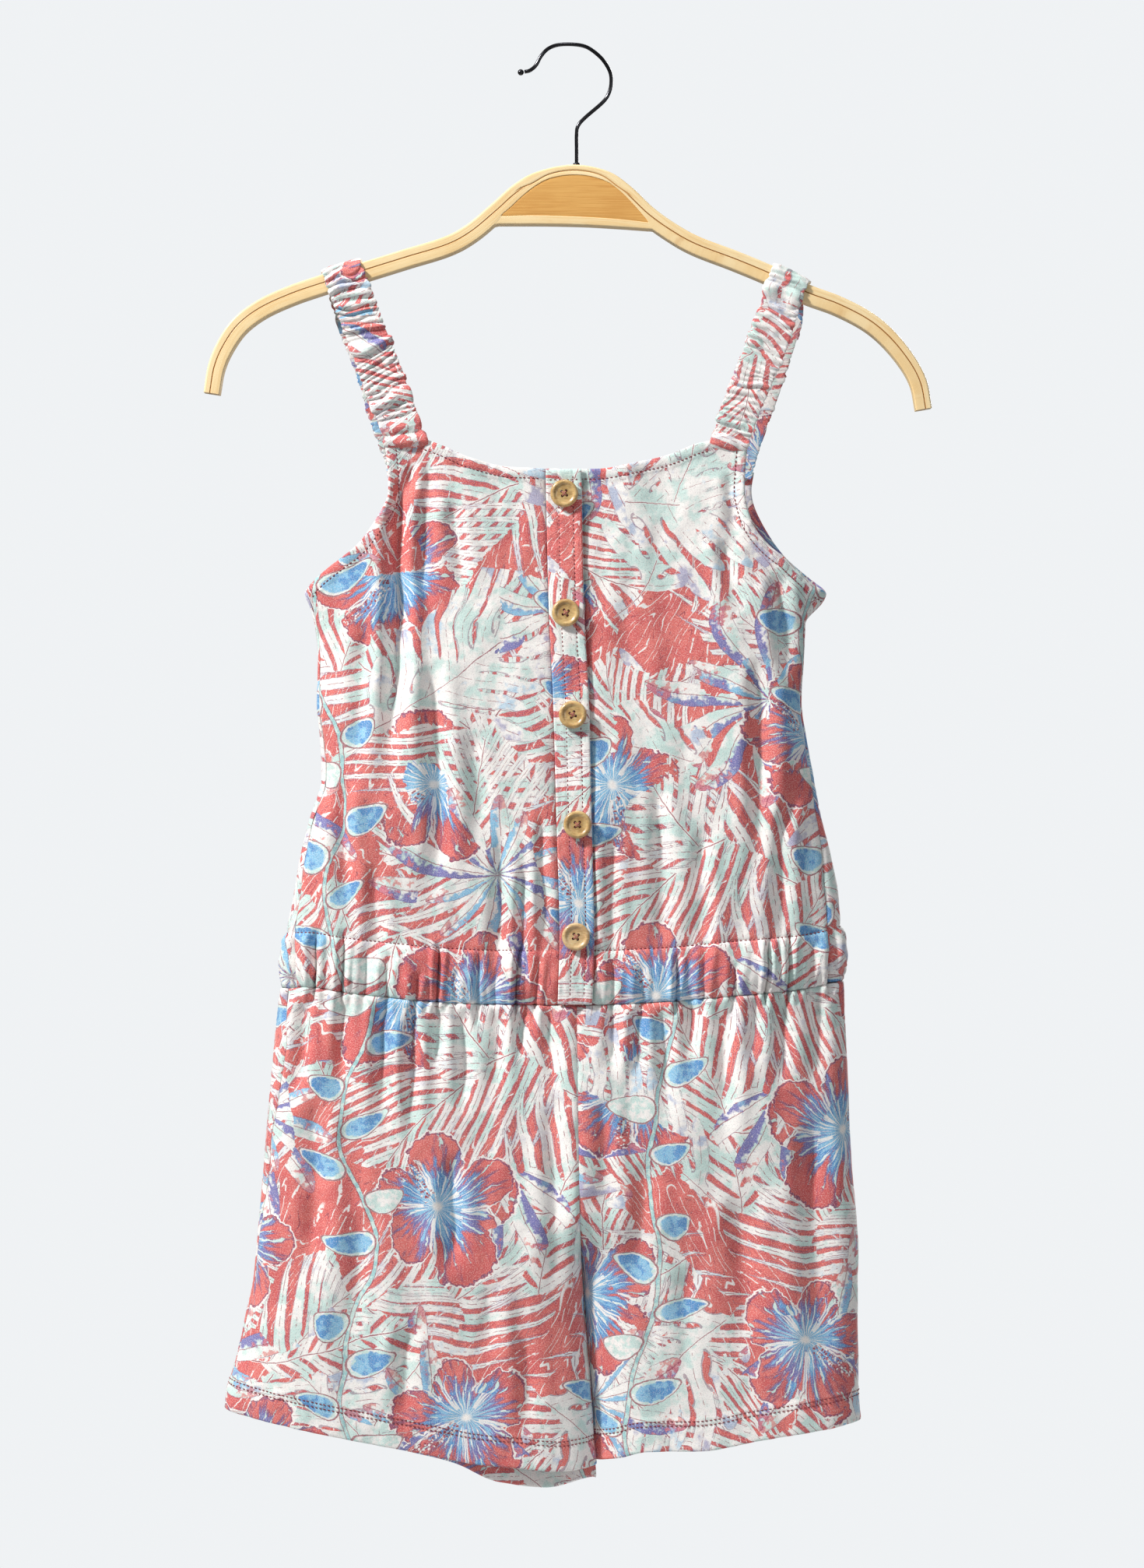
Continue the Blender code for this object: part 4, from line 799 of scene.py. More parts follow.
class Panel:
    """One cut piece: its place on a tube, its outline by kind of edge, and the
    relief of its surface."""

    def __init__(self, name, tube, outline, inner=()):
        self.name, self.tube = name, tube
        self.parts = [(kind, np.array(path, float)) for kind, path in outline]
        loop = []
        for _, path in self.parts:
            for p in resample(path, 1.3):
                if not loop or np.linalg.norm(p - loop[-1]) > 0.55:
                    loop.append(p)
        if np.linalg.norm(loop[0] - loop[-1]) < 0.55:
            loop.pop()
        self.ring = np.array(loop)
        self.inner = [np.array(path, float) for path in inner]

    def gaps(self, q, z):
        p = np.stack([q, z], axis=1)
        out = {}
        for kind in EDGES:
            paths = [path for k, path in self.parts if k == kind]
            if not paths:
                out[kind] = (np.full(len(q), 1e3), np.zeros(len(q)))
                continue
            found = [self.close(p, resample(path, 3.2)) for path in paths]
            d = np.stack([f[0] for f in found])
            t = np.stack([f[1] + 400 * i for i, f in enumerate(found)])
            k = d.argmin(0)
            i = np.arange(len(q))
            out[kind] = (d[k, i], t[k, i])
        return out

    def close(self, p, path):
        """nearest(), worked out only for points that the path's box comes near."""
        low, high = path.min(0) - 42.0, path.max(0) + 42.0
        m = np.all((p > low) & (p < high), axis=1)
        d, t = np.full(len(p), 1e3), np.zeros(len(p))
        if m.any():
            d[m], t[m] = nearest(p[m], path)
        return d, t

    def relief(self, q, z):
        """Outward shift, wall and distances at each point."""
        base = self.tube.base(q, z)
        n = self.tube.normal(q, z)
        gaps = self.gaps(q, z)
        facing = smooth(np.abs(n[:, 1]) / 0.75)
        side = np.where(n[:, 1] < 0, -1, 1)
        lift = np.where(side < 0, hung(self.tube.kind, -1, base[:, 0], z), hung(self.tube.kind, 1, base[:, 0], z))
        lift = lift * (0.25 + 0.75 * facing)
        if self.tube.kind == "bodice":      # the casing swells out at both folded ends
            s = z - WAIST[self.tube.face](base[:, 0])
            swell = np.sqrt(np.clip(np.sin(math.pi * np.clip(s / CASING, 0, 1)), 0, 1))
            lift += (1 - facing) * (swell * (2.6 + 0.9 * noise(s / 7, side * 3.0, 61)) - 1.0 * bell((s - CASING) / 1.6))
        wall = np.full(len(q), CLOTH)
        d, t = gaps["hem"]
        band = 1 - smooth((d - HEM_BAND) / 1.2)
        wall += (DOUBLE - CLOTH) * band
        lift += 0.32 * band - 0.42 * bell((d - 17.2) / 0.75) - 0.36 * bell((d - 14.7) / 0.75)
        lift += band * (0.42 * noise(t / 8.5, d / 14, 51) + 0.25 * noise(t / 3.6, d / 9, 52)) + 0.8 * noise(t / 38, 0.0, 53) * np.exp(-d / 30)
        d, t = gaps["edge"]
        band = 1 - smooth((d - EDGE_BAND) / 0.9)
        wall += (DOUBLE - CLOTH) * band
        lift += 0.34 * band - 0.48 * bell((d - 5.9) / 0.7)
        lift += np.exp(-(d / 8.0) ** 2) * (0.36 * noise(t / 5.5, d / 7, 57) + 0.22 * noise(t / 2.7, d / 6, 58))
        for kind, dip, reach, rough in (("seam", 0.85, 1.5, 0.42), ("waist", 0.5, 1.3, 0.3), ("open", 0.7, 1.3, 0.2)):
            d, t = gaps[kind]
            lift -= dip * bell(d / reach) * facing
            lift += rough * np.exp(-(d / 6.5) ** 2) * noise(t / 7.5, d / 9, 61) * (0.3 + 0.7 * facing)
        s = z - WAIST[self.tube.face](base[:, 0])
        if self.tube.kind == "bodice":
            wall += 0.4 * (DOUBLE - CLOTH) * smooth((CASING + 0.6 - s) / 1.2)
        round_off = np.minimum(np.minimum(gaps["hem"][0], gaps["edge"][0]), gaps["strap"][0])
        wall = wall * np.maximum(0.16, np.sqrt(np.clip(1 - (1 - np.clip(round_off / (0.62 * wall), 0, 1)) ** 2, 0, 1)))
        sewn = np.minimum(np.minimum(gaps["seam"][0], gaps["waist"][0]), gaps["open"][0])
        wall = wall * (0.55 + 0.45 * smooth(sewn / 1.2))
        return base, n, lift, wall, gaps, s

    def surface(self, q, z, lift_by=0.0):
        """Points on the outer face, with their outward directions."""
        def at(dq, dz):
            base, n, lift, wall, _, _ = self.relief(q + dq, z + dz)
            return base + n * (lift + wall / 2 + lift_by)[:, None]
        mid = at(0, 0)
        n = np.cross(at(0.35, 0) - at(-0.35, 0), at(0, 0.35) - at(0, -0.35))
        n /= np.linalg.norm(n, axis=1)[:, None]
        _, rough = self.tube.base(q, z), self.tube.normal(q, z)
        n *= np.sign((n * rough).sum(1))[:, None]
        return mid, n

    def inset(self, kind, distance, start=0.0, end=0.0):
        """The line a given distance inside an edge, as a path on the cloth."""
        out = []
        for k, path in self.parts:
            if k != kind:
                continue
            p = resample(path, 0.8)
            t = np.gradient(p, axis=0)
            t /= np.linalg.norm(t, axis=1)[:, None]
            for sign in (1, -1):
                moved = p + sign * distance * np.stack([-t[:, 1], t[:, 0]], axis=1)
                if within(moved[len(moved) // 2:len(moved) // 2 + 1], self.ring)[0]:
                    break
            run = np.concatenate([[0], np.cumsum(np.linalg.norm(np.diff(p, axis=0), axis=1))])
            good = within(moved, self.ring) & (nearest(moved, resample(path, 2.4))[0] > 0.95 * distance)
            good &= (run >= start) & (run <= run[-1] - end)
            if good.sum() > 3:
                out.append(moved[good])
        return out

    def gathered(self, pts):
        """Where the elastic draws the cloth up finely."""
        s = pts[:, 1] - WAIST[self.tube.face](self.tube.base(pts[:, 0], pts[:, 1])[:, 0])
        return (s > -13.0) & (s < CASING + 6.0)

    def close_grid(self, lo, hi):
        rows = np.arange(max(lo[1], -562.0), min(hi[1], -470.0), 1.25)
        if not len(rows):
            return np.zeros((0, 2))
        q = np.arange(lo[0], hi[0], 1.15)
        pts = np.stack(np.meshgrid(q, rows), axis=2).reshape(-1, 2)
        pts[:, 0] += 0.55 * (np.round((pts[:, 1] - rows[0]) / 1.25) % 2)
        return pts[self.gathered(pts)]

    def points(self):
        """The outline, lines that follow its hems, and an even filling."""
        ring = self.ring
        closed = np.concatenate([ring, ring[:1]])
        lines = []
        for kind, path in self.parts:
            for distance in {"hem": (0.4, 1.1, 2.2, 14.0, 14.7, 15.4, 16.5, 17.2, 17.9, 19.0),
                             "edge": (0.4, 1.0, 1.9, 3.4, 5.2, 5.9, 6.6, 7.6),
                             "seam": (0.6, 1.4, 2.6), "waist": (0.6, 1.4, 2.6),
                             "open": (0.6, 1.4, 2.6), "strap": (0.6, 1.4)}[kind]:
                for line in Panel.inset(self, kind, distance):
                    lines.append(resample(line, 1.4))
        for path in self.inner:
            for offset in (-1.6, -0.8, 0.0, 0.8, 1.6):
                lines.append(resample(path, 1.4) + np.array([0, offset]))
        for px, depth, width, up, down in rows_of(PUCKERS[self.tube.face]):
            if depth >= 1.9:
                s = np.arange(1.2, min(up, 31.0), 1.0) if self.tube.kind == "bodice" else -np.arange(1.2, 0.8 * down, 1.0)
                x = px + 0.05 * s + 0.9 * noise(s / 12, px, 47)
                z = WAIST[self.tube.face](px) + s
                for off in (-1.3, -0.65, 0.0, 0.65, 1.3):
                    lines.append(np.stack([self.tube.span(self.tube.angle(x + off, z), z), z], axis=1))
        if self.name == "bodice_front_left":
            z = np.arange(-551.0, -246.0, 1.3)
            for off in (-0.95, -0.25, 0.45, 1.15, 1.9):
                x = PLACKET_EDGE(z) + off
                lines.append(np.stack([self.tube.span(self.tube.angle(x, z), z), z], axis=1))
        chosen = np.zeros((0, 2))
        if lines:
            pts = np.concatenate(lines)
            pts = pts[within(pts, ring)]
            far, _ = nearest(pts, closed)
            pts = pts[far > 0.34]
            chosen = thin(pts, 0.62)
        lo, hi = ring.min(0), ring.max(0)
        rows = np.arange(lo[1], hi[1], SPACING * 0.866)
        grid = np.concatenate([np.stack([np.arange(lo[0] + (i % 2) * SPACING / 2, hi[0], SPACING),
                                         np.full(len(np.arange(lo[0] + (i % 2) * SPACING / 2, hi[0], SPACING)), z)], axis=1)
                               for i, z in enumerate(rows)])
        grid = np.concatenate([grid[~self.gathered(grid)], self.close_grid(lo, hi)])
        grid = grid[within(grid, ring)]
        far, _ = nearest(grid, closed)
        grid = grid[far > 1.2]
        if len(chosen):
            grid = grid[clear_of(grid, chosen, 1.25)]
        return np.concatenate([ring, chosen, grid])


def cells(points, size):
    return np.floor(points / size).astype(np.int64)


def thin(points, gap):
    """Drop points that lie too near one already kept."""
    kept, grid = [], {}
    for p, c in zip(points, cells(points, gap)):
        near = False
        for dx in (-1, 0, 1):
            for dy in (-1, 0, 1):
                for k in grid.get((c[0] + dx, c[1] + dy), ()):
                    if (kept[k][0] - p[0]) ** 2 + (kept[k][1] - p[1]) ** 2 < gap * gap:
                        near = True
        if not near:
            grid.setdefault((c[0], c[1]), []).append(len(kept))
            kept.append(p)
    return np.array(kept)


def clear_of(points, others, gap):
    grid = {}
    for p, c in zip(others, cells(others, gap)):
        grid.setdefault((c[0], c[1]), []).append(p)
    good = np.ones(len(points), bool)
    for i, (p, c) in enumerate(zip(points, cells(points, gap))):
        for dx in (-1, 0, 1):
            for dy in (-1, 0, 1):
                for o in grid.get((c[0] + dx, c[1] + dy), ()):
                    if (o[0] - p[0]) ** 2 + (o[1] - p[1]) ** 2 < gap * gap:
                        good[i] = False
    return good


# ------------------------------------------------------------------- materials

class Value:
    """A number or vector travelling through a node tree."""

    def __init__(self, tree, socket):
        self.tree, self.socket = tree, socket

    def __add__(self, o): return self.tree.math("ADD", self, o)
    def __radd__(self, o): return self.tree.math("ADD", o, self)
    def __sub__(self, o): return self.tree.math("SUBTRACT", self, o)
    def __rsub__(self, o): return self.tree.math("SUBTRACT", o, self)
    def __mul__(self, o): return self.tree.math("MULTIPLY", self, o)
    def __rmul__(self, o): return self.tree.math("MULTIPLY", o, self)
    def __truediv__(self, o): return self.tree.math("DIVIDE", self, o)
    def __neg__(self): return self.tree.math("MULTIPLY", self, -1.0)
    def __pow__(self, o): return self.tree.math("POWER", self, o)
    def __gt__(self, o): return self.tree.math("GREATER_THAN", self, o)
    def __lt__(self, o): return self.tree.math("LESS_THAN", self, o)


class Tree:
    """Short ways to write node arithmetic."""

    def __init__(self, tree):
        self.tree = tree

    def node(self, kind, **settings):
        made = self.tree.nodes.new(kind)
        for key, value in settings.items():
            setattr(made, key, value)
        return made

    def put(self, socket, value):
        if isinstance(value, Value):
            self.tree.links.new(value.socket, socket)
        elif value is not None:
            socket.default_value = value

    def wrap(self, socket):
        return Value(self, socket)

    def math(self, op, *args, clamp=False):
        n = self.node("ShaderNodeMath", operation=op, use_clamp=clamp)
        for socket, value in zip(n.inputs, args):
            self.put(socket, value)
        return self.wrap(n.outputs[0])

    def vector(self, op, *args, out=0, **named):
        n = self.node("ShaderNodeVectorMath", operation=op)
        for socket, value in zip(n.inputs, args):
            self.put(socket, value)
        for key, value in named.items():
            self.put(n.inputs[key], value)
        return self.wrap(n.outputs[out])

    def split(self, vector):
        n = self.node("ShaderNodeSeparateXYZ")
        self.put(n.inputs[0], vector)
        return tuple(self.wrap(s) for s in n.outputs)

    def join(self, x=0.0, y=0.0, z=0.0):
        n = self.node("ShaderNodeCombineXYZ")
        for socket, value in zip(n.inputs, (x, y, z)):
            self.put(socket, value)
        return self.wrap(n.outputs[0])

    def rotate(self, vector, angle):
        n = self.node("ShaderNodeVectorRotate", rotation_type="Z_AXIS")
        self.put(n.inputs["Vector"], vector)
        self.put(n.inputs["Angle"], angle)
        return self.wrap(n.outputs[0])

    def noise(self, vector, scale, detail=2.0, rough=0.5, dims="2D", w=None, colour=False):
        n = self.node("ShaderNodeTexNoise", noise_dimensions=dims)
        self.put(n.inputs["Vector"], vector)
        if w is not None:
            self.put(n.inputs["W"], w)
        n.inputs["Scale"].default_value = scale
        n.inputs["Detail"].default_value = detail
        n.inputs["Roughness"].default_value = rough
        return self.wrap(n.outputs["Color" if colour else "Fac"])

    def white(self, value, dims="1D"):
        n = self.node("ShaderNodeTexWhiteNoise", noise_dimensions=dims)
        self.put(n.inputs["W" if dims == "1D" else "Vector"], value)
        return self.wrap(n.outputs["Value"])

    def step(self, value, low, high):
        """0 below low, 1 above high, smooth between."""
        n = self.node("ShaderNodeMapRange", interpolation_type="SMOOTHSTEP")
        self.put(n.inputs["Value"], value)
        self.put(n.inputs["From Min"], low)
        self.put(n.inputs["From Max"], high)
        return self.wrap(n.outputs["Result"])

    def mix(self, fac, a, b, blend="MIX"):
        n = self.node("ShaderNodeMix", data_type="RGBA", blend_type=blend)
        self.put(n.inputs[0], fac)
        self.put(n.inputs[6], a if isinstance(a, Value) else (*a, 1.0))
        self.put(n.inputs[7], b if isinstance(b, Value) else (*b, 1.0))
        return self.wrap(n.outputs[2])

    def blend(self, fac, a, b):
        n = self.node("ShaderNodeMix", data_type="FLOAT")
        self.put(n.inputs[0], fac)
        self.put(n.inputs[2], a)
        self.put(n.inputs[3], b)
        return self.wrap(n.outputs[0])


def hue(red, green, blue):
    """Screen colour 0..255 to linear light."""
    return tuple((c / 255 / 12.92) if c / 255 <= 0.04045 else ((c / 255 + 0.055) / 1.055) ** 2.4
                 for c in (red, green, blue))


CORAL, CORAL_DEEP, CORAL_LIGHT = hue(229, 119, 112), hue(216, 101, 99), hue(238, 140, 130)
OFFWHITE, MINT, AQUA = hue(249, 247, 243), hue(206, 232, 226), hue(158, 208, 210)
SKY, BLUE, INDIGO = hue(140, 198, 230), hue(88, 154, 210), hue(124, 126, 184)
PLUM, MAROON = hue(126, 78, 114), hue(150, 62, 80)


def group(name, ins, outs):
    tree = bpy.data.node_groups.new(name, "ShaderNodeTree")
    for label, kind, value in ins:
        socket = tree.interface.new_socket(label, in_out="INPUT", socket_type=kind)
        if value is not None:
            socket.default_value = value
    for label, kind in outs:
        tree.interface.new_socket(label, in_out="OUTPUT", socket_type=kind)
    t = Tree(tree)
    source, sink = t.node("NodeGroupInput"), t.node("NodeGroupOutput")
    return t, {s.name: t.wrap(s) for s in source.outputs if s.name}, {s.name: s for s in sink.inputs if s.name}


FLOAT, VECTOR, COLOUR = "NodeSocketFloat", "NodeSocketVector", "NodeSocketColor"


def leaf_group():
    """A leaf of length 1 from its foot up +Y: slanted leaflets or lobes on both
    sides of a curved rib, cut as deep as `reach` lets them be."""
    t, i, o = group("leaf", [
        ("Vector", VECTOR, None), ("Ground", COLOUR, None), ("Width", FLOAT, 0.4), ("Pitch", FLOAT, 0.08), ("Slant", FLOAT, 0.6),
        ("Fan", FLOAT, 0.8), ("Arch", FLOAT, 0.5), ("Duty", FLOAT, 0.3), ("Point", FLOAT, 1.4), ("Blunt", FLOAT, 1.0),
        ("Reach", FLOAT, 0.0), ("Bend", FLOAT, 0.2), ("Holes", FLOAT, 0.0), ("Shade", FLOAT, 0.4), ("Seed", FLOAT, 0.0),
        ("Rough", FLOAT, 0.5), ("Wash", FLOAT, 0.5)], [("Color", COLOUR)])
    x, y, _ = t.split(i["Vector"])
    x = x + i["Bend"] * (y * y - y * 0.6)
    side = t.math("SIGN", x)
    away = t.math("ABSOLUTE", x)
    foot = (y - i["Slant"] * away - i["Arch"] * (away * away)) / (1.0 + i["Fan"] * away)
    c = foot / i["Pitch"] + side * 0.25 + i["Seed"]
    index = t.math("FLOOR", c)
    level = t.math("MULTIPLY", (index + 0.5 - side * 0.25 - i["Seed"]), i["Pitch"])
    level = t.math("MINIMUM", t.math("MAXIMUM", level, 0.0), 1.0)
    odd = t.white(index + side * 17.3 + i["Seed"] * 3.7)
    bulge = t.math("POWER", t.math("MAXIMUM", level * (1.0 - level) * 4.0, 0.0), 0.5)
    width = t.math("MAXIMUM", i["Width"] * bulge * (1.2 - 0.5 * level) * (0.74 + 0.42 * odd), 0.004)
    r = away / width
    f = t.math("ABSOLUTE", c - index - 0.5 + (odd - 0.5) * 0.26 * r * (1.0 - i["Reach"]))
    cut = t.step(r, i["Reach"] - 0.05, i["Reach"] + 0.04)
    rr = t.math("MINIMUM", t.math("MAXIMUM", (r - i["Reach"]) / (1.0 - i["Reach"]), 0.0), 1.0)
    taper = t.math("POWER", 1.0 - t.math("POWER", rr, i["Point"]), i["Blunt"])
    half = t.blend(cut, 0.53, i["Duty"] * taper)
    gap = (half - f) * i["Pitch"]
    ends = t.math("MULTIPLY", foot > -0.002, foot < 0.985)
    mask = t.step(gap, -0.0008, 0.0012) * (r < 1.0) * ends
    shadow = (1.0 - t.step(t.math("ABSOLUTE", gap + 0.0062), 0.0006, 0.0026)) * (r < 0.96) * ends * (i["Rough"] > 0.44)
    # the rib and the veins, thin and broken
    rib = (1.0 - t.step(away, 0.003, 0.0065)) * (y > -0.16) * (y < 0.97)
    rough, wash = i["Rough"], i["Wash"]
    vein = (1.0 - t.step(f * i["Pitch"], 0.0008, 0.0028)) * (r < 0.86) * t.step(1.0 - rough, 0.42, 0.54)
    rim = (1.0 - t.step(gap, 0.0012, 0.0046)) * t.step(rough, 0.37, 0.50) * cut
    hole = t.math("POWER", (0.5 - f) / 0.17, 2.0) + t.math("POWER", (r - 0.26) / 0.10, 2.0)
    holed = (hole < 1.0) * i["Holes"] * (odd > 0.2)
    ringed = (hole < 1.7) * i["Holes"] * (odd > 0.2)
    # paint: off-white, greener towards the rib, blue and violet washes
    body = t.mix(t.step(wash + 0.14 * (0.6 - r), 0.5, 0.66), OFFWHITE, MINT)
    tint = t.step(1.0 - wash + 0.22 * (rough - 0.5) + 0.3 * (r - 0.6), 0.52, 0.68) * i["Shade"]
    body = t.mix(tint, body, t.mix(t.step(odd, 0.4, 0.7), SKY, INDIGO))
    body = t.mix(vein * 0.85, body, MAROON)
    body = t.mix(t.math("MAXIMUM", rim * 0.8, ringed * 0.6), body, PLUM)
    out = t.mix(shadow * 0.6, i["Ground"], PLUM)
    out = t.mix(mask * (1.0 - holed), out, body)
    out = t.mix(rib * 0.9, out, t.mix(t.step(away, 0.001, 0.003), MAROON, OFFWHITE))
    t.tree.links.new(out.socket, o["Color"])
    return t.tree


def bloom_group():
    """An open flower of radius 1: fine pale rays from its middle, blue and violet
    between them, thinning out over ruffled coral petals, and a stippled stamen."""
    t, i, o = group("bloom", [
        ("Vector", VECTOR, None), ("Ground", COLOUR, None), ("Petals", FLOAT, 5.0), ("Seed", FLOAT, 0.0), ("Wash", FLOAT, 0.5),
        ("Rough", FLOAT, 0.5)], [("Color", COLOUR)])
    x, y, _ = t.split(i["Vector"])
    r = t.math("SQRT", x * x + y * y)
    turn = t.math("ARCTAN2", y, x) / math.tau + 0.5
    wave, rough = i["Wash"], i["Rough"]
    c = turn * i["Petals"] + (wave - 0.5) * 0.5 * r
    index = t.math("FLOOR", c)
    p = t.math("ABSOLUTE", c - index - 0.5) * 2.0
    odd = t.white(index + i["Seed"] * 5.1)
    length = (0.82 + 0.19 * odd) * (1.0 - 0.42 * t.math("POWER", p, 2.6)) + (rough - 0.5) * 0.10
    edge = length - r
    mask = t.step(edge, 0.0, 0.01)
    ring = t.vector("SCALE", t.vector("NORMALIZE", t.join(x, y, 0.0)), Scale=3.1)
    rx, ry, _ = t.split(ring)
    streak = t.noise(t.join(rx, ry, r * 1.1 + i["Seed"] * 7.0), 2.4, 2.0, 0.75, dims="3D")
    ray = t.math("ABSOLUTE", t.math("FRACT", c * 6.0 + streak * 1.2) - 0.5) * 2.0
    petal = t.mix(t.step(wave + 0.3 * (odd - 0.5), 0.42, 0.6), CORAL, CORAL_DEEP)
    petal = t.mix(t.step(streak + (0.70 - r) * 0.5, 0.47, 0.64) * 0.85, petal, PLUM)
    petal = t.mix(t.step(streak + (0.60 - r) * 0.85, 0.52, 0.66), petal, t.mix(t.step(odd + rough - 0.5, 0.3, 0.6), INDIGO, BLUE))
    petal = t.mix(t.step(streak + (0.45 - r) * 0.8 - 0.12 * ray, 0.54, 0.62), petal, SKY)
    line = t.step(ray + (0.50 - r) * 0.42 + (streak - 0.5) * 1.7, 0.90, 1.0)
    petal = t.mix(line, petal, t.mix(t.step(r, 0.2, 0.62), OFFWHITE, MINT))
    petal = t.mix(t.step(0.055 - r, -0.03, 0.03), petal, OFFWHITE)
    petal = t.mix(1.0 - t.step(edge, 0.022, 0.034), petal, OFFWHITE)
    petal = t.mix((1.0 - t.step(t.math("ABSOLUTE", edge - 0.042), 0.006, 0.014)) * 0.85, petal, PLUM)
    petal = t.mix((1.0 - t.step(t.math("ABSOLUTE", p - 0.93) * r, 0.012, 0.026)) * (r > 0.16) * 0.9, petal, OFFWHITE)
    spot = t.node("ShaderNodeTexVoronoi", voronoi_dimensions="2D")
    t.put(spot.inputs["Vector"], i["Vector"])
    spot.inputs["Scale"].default_value = 24.0
    dots = 1.0 - t.step(t.wrap(spot.outputs["Distance"]), 0.26, 0.42)
    bar = (1.0 - t.step(t.math("ABSOLUTE", x + 0.3 * y * y - 0.02), 0.06, 0.11)) * (y < -0.1) * (y > -0.74)
    petal = t.mix(bar * dots, petal, t.mix(t.step(rough, 0.42, 0.55), OFFWHITE, MAROON))
    out = t.mix(mask, i["Ground"], petal)
    t.tree.links.new(out.socket, o["Color"])
    return t.tree


def spikes_group():
    """A rosette of long pointed leaves of radius 1, one half of each leaf pale,
    the other streaked blue and violet."""
    t, i, o = group("spikes", [
        ("Vector", VECTOR, None), ("Ground", COLOUR, None), ("Count", FLOAT, 11.0), ("Seed", FLOAT, 0.0), ("Wash", FLOAT, 0.5),
        ("Rough", FLOAT, 0.5)], [("Color", COLOUR)])
    x, y, _ = t.split(i["Vector"])
    r = t.math("SQRT", x * x + y * y)
    turn = t.math("ARCTAN2", y, x) / math.tau + 0.5
    c = turn * i["Count"] + 0.22 * r * r
    index = t.math("FLOOR", c)
    signed = (c - index - 0.5) * 2.0
    p = t.math("ABSOLUTE", signed)
    odd = t.white(index + i["Seed"] * 7.7)
    s = r / (0.55 + 0.45 * odd)
    half = t.math("POWER", t.math("MAXIMUM", 1.0 - s, 0.0), 0.55) * 1.08
    gap = (half - p) * r
    mask = t.step(gap, 0.0, 0.012) * (s < 1.0)
    wash, rough = i["Wash"], i["Rough"]
    body = t.mix(t.step(wash, 0.45, 0.62), OFFWHITE, MINT)
    shaded = t.step(signed + 1.3 * (rough - 0.5) + 0.5 * (s - 0.4), 0.1, 0.4)
    body = t.mix(shaded, body, t.mix(t.step(odd + 1.5 * (wash - 0.5), 0.35, 0.65), SKY, INDIGO))
    body = t.mix(t.step(s + 1.2 * (rough - 0.5), 0.78, 0.92) * 0.7, body, CORAL)
    body = t.mix((1.0 - t.step(p * r, 0.006, 0.018)) * (r > 0.1) * 0.8, body, MAROON)
    body = t.mix((1.0 - t.step(gap, 0.012, 0.03)) * t.step(rough, 0.38, 0.5) * 0.8, body, PLUM)
    out = t.mix(mask, i["Ground"], body)
    t.tree.links.new(out.socket, o["Color"])
    return t.tree


def vine_group():
    """A stem that winds along Y with a bud-shaped pod on each bend."""
    t, i, o = group("vine", [
        ("Vector", VECTOR, None), ("Ground", COLOUR, None), ("Sway", FLOAT, 5.0), ("Wave", FLOAT, 134.0), ("Step", FLOAT, 38.0),
        ("Seed", FLOAT, 0.0), ("Rough", FLOAT, 0.5)], [("Color", COLOUR)])
    x, y, _ = t.split(i["Vector"])
    x = x - i["Sway"] * t.math("SINE", y * math.tau / i["Wave"])
    rough = i["Rough"]
    wide = t.math("ABSOLUTE", x)
    out = t.mix((1.0 - t.step(wide, 1.5, 1.8)) * 0.8, i["Ground"], MAROON)
    out = t.mix(1.0 - t.step(wide, 1.0, 1.3), out, t.mix(t.step(rough, 0.45, 0.6), AQUA, MINT))
    for hand, offset in ((1.0, 0.0), (-1.0, 0.5)):
        c = y / i["Step"] + offset + i["Seed"]
        index = t.math("FLOOR", c)
        odd = t.white(index + offset * 9.0 + i["Seed"] * 3.3)
        u, v = x * hand - 14.2, (c - index - 0.5) * i["Step"]
        a = 0.1 + 0.6 * odd
        cosine, sine = t.math("COSINE", a), t.math("SINE", a)
        m, n = u * cosine + v * sine, v * cosine - u * sine
        lean = (n - 0.009 * m * m + 0.4) / (7.2 - 0.20 * m)
        d = t.math("SQRT", t.math("POWER", m / 14.2, 2.0) + lean * lean)
        pod = t.mix(t.step(rough, 0.4, 0.62), MINT, OFFWHITE)
        core = t.step(0.77 - d + (rough - 0.5) * 0.3, -0.05, 0.05)
        pod = t.mix(core * (odd > 0.16), pod, t.mix(t.step(rough + 0.016 * m, 0.40, 0.62), SKY, BLUE))
        pod = t.mix((1.0 - t.step(t.math("ABSOLUTE", d - 0.97), 0.025, 0.06)) * 0.85, pod, MAROON)
        out = t.mix((1.0 - t.step(d, 0.99, 1.03)) * (odd < 0.86), out, pod)
    t.tree.links.new(out.socket, o["Color"])
    return t.tree


LEAVES = table(         # one scatter of leaves per row: its grid, then the leaf's own numbers
    "cell  grid shift_x shift_y size width pitch slant fan  arch duty point blunt reach bend  holes shade share seed",
    (158,   17,     0,     0, 0.99, 0.47, 0.076, 0.60, 1.1, 0.9, 0.36, 1.8,  1.0, 0.03,  0.50, 0.0, 0.30, 1.00, 1.0),
    (140,  -31,    40,    66, 0.99, 0.48, 0.086, 0.45, 1.2, 0.9, 0.38, 1.8,  1.0, 0.03, -0.50, 0.0, 0.20, 0.86, 2.0),
    (138,    6,    88,    20, 0.80, 0.46, 0.130, 0.40, 0.8, 0.5, 0.42, 3.0,  0.5, 0.40,  0.16, 1.0, 0.65, 0.60, 3.0))
SPIKES = table(
    "cell  grid shift_x shift_y size count share seed",
    (150,   11,    30,    95, 0.48,  11,  0.80, 4.0))
BLOOMS = table(
    "cell  grid shift_x shift_y size petals share seed",
    (126,  -12,    70,   110, 0.38,   5,  0.58, 5.0))
VINES = table(
    "pitch turn sway wave step seed",
    (156,   -4,  7.5, 150, 46.0, 0.0))


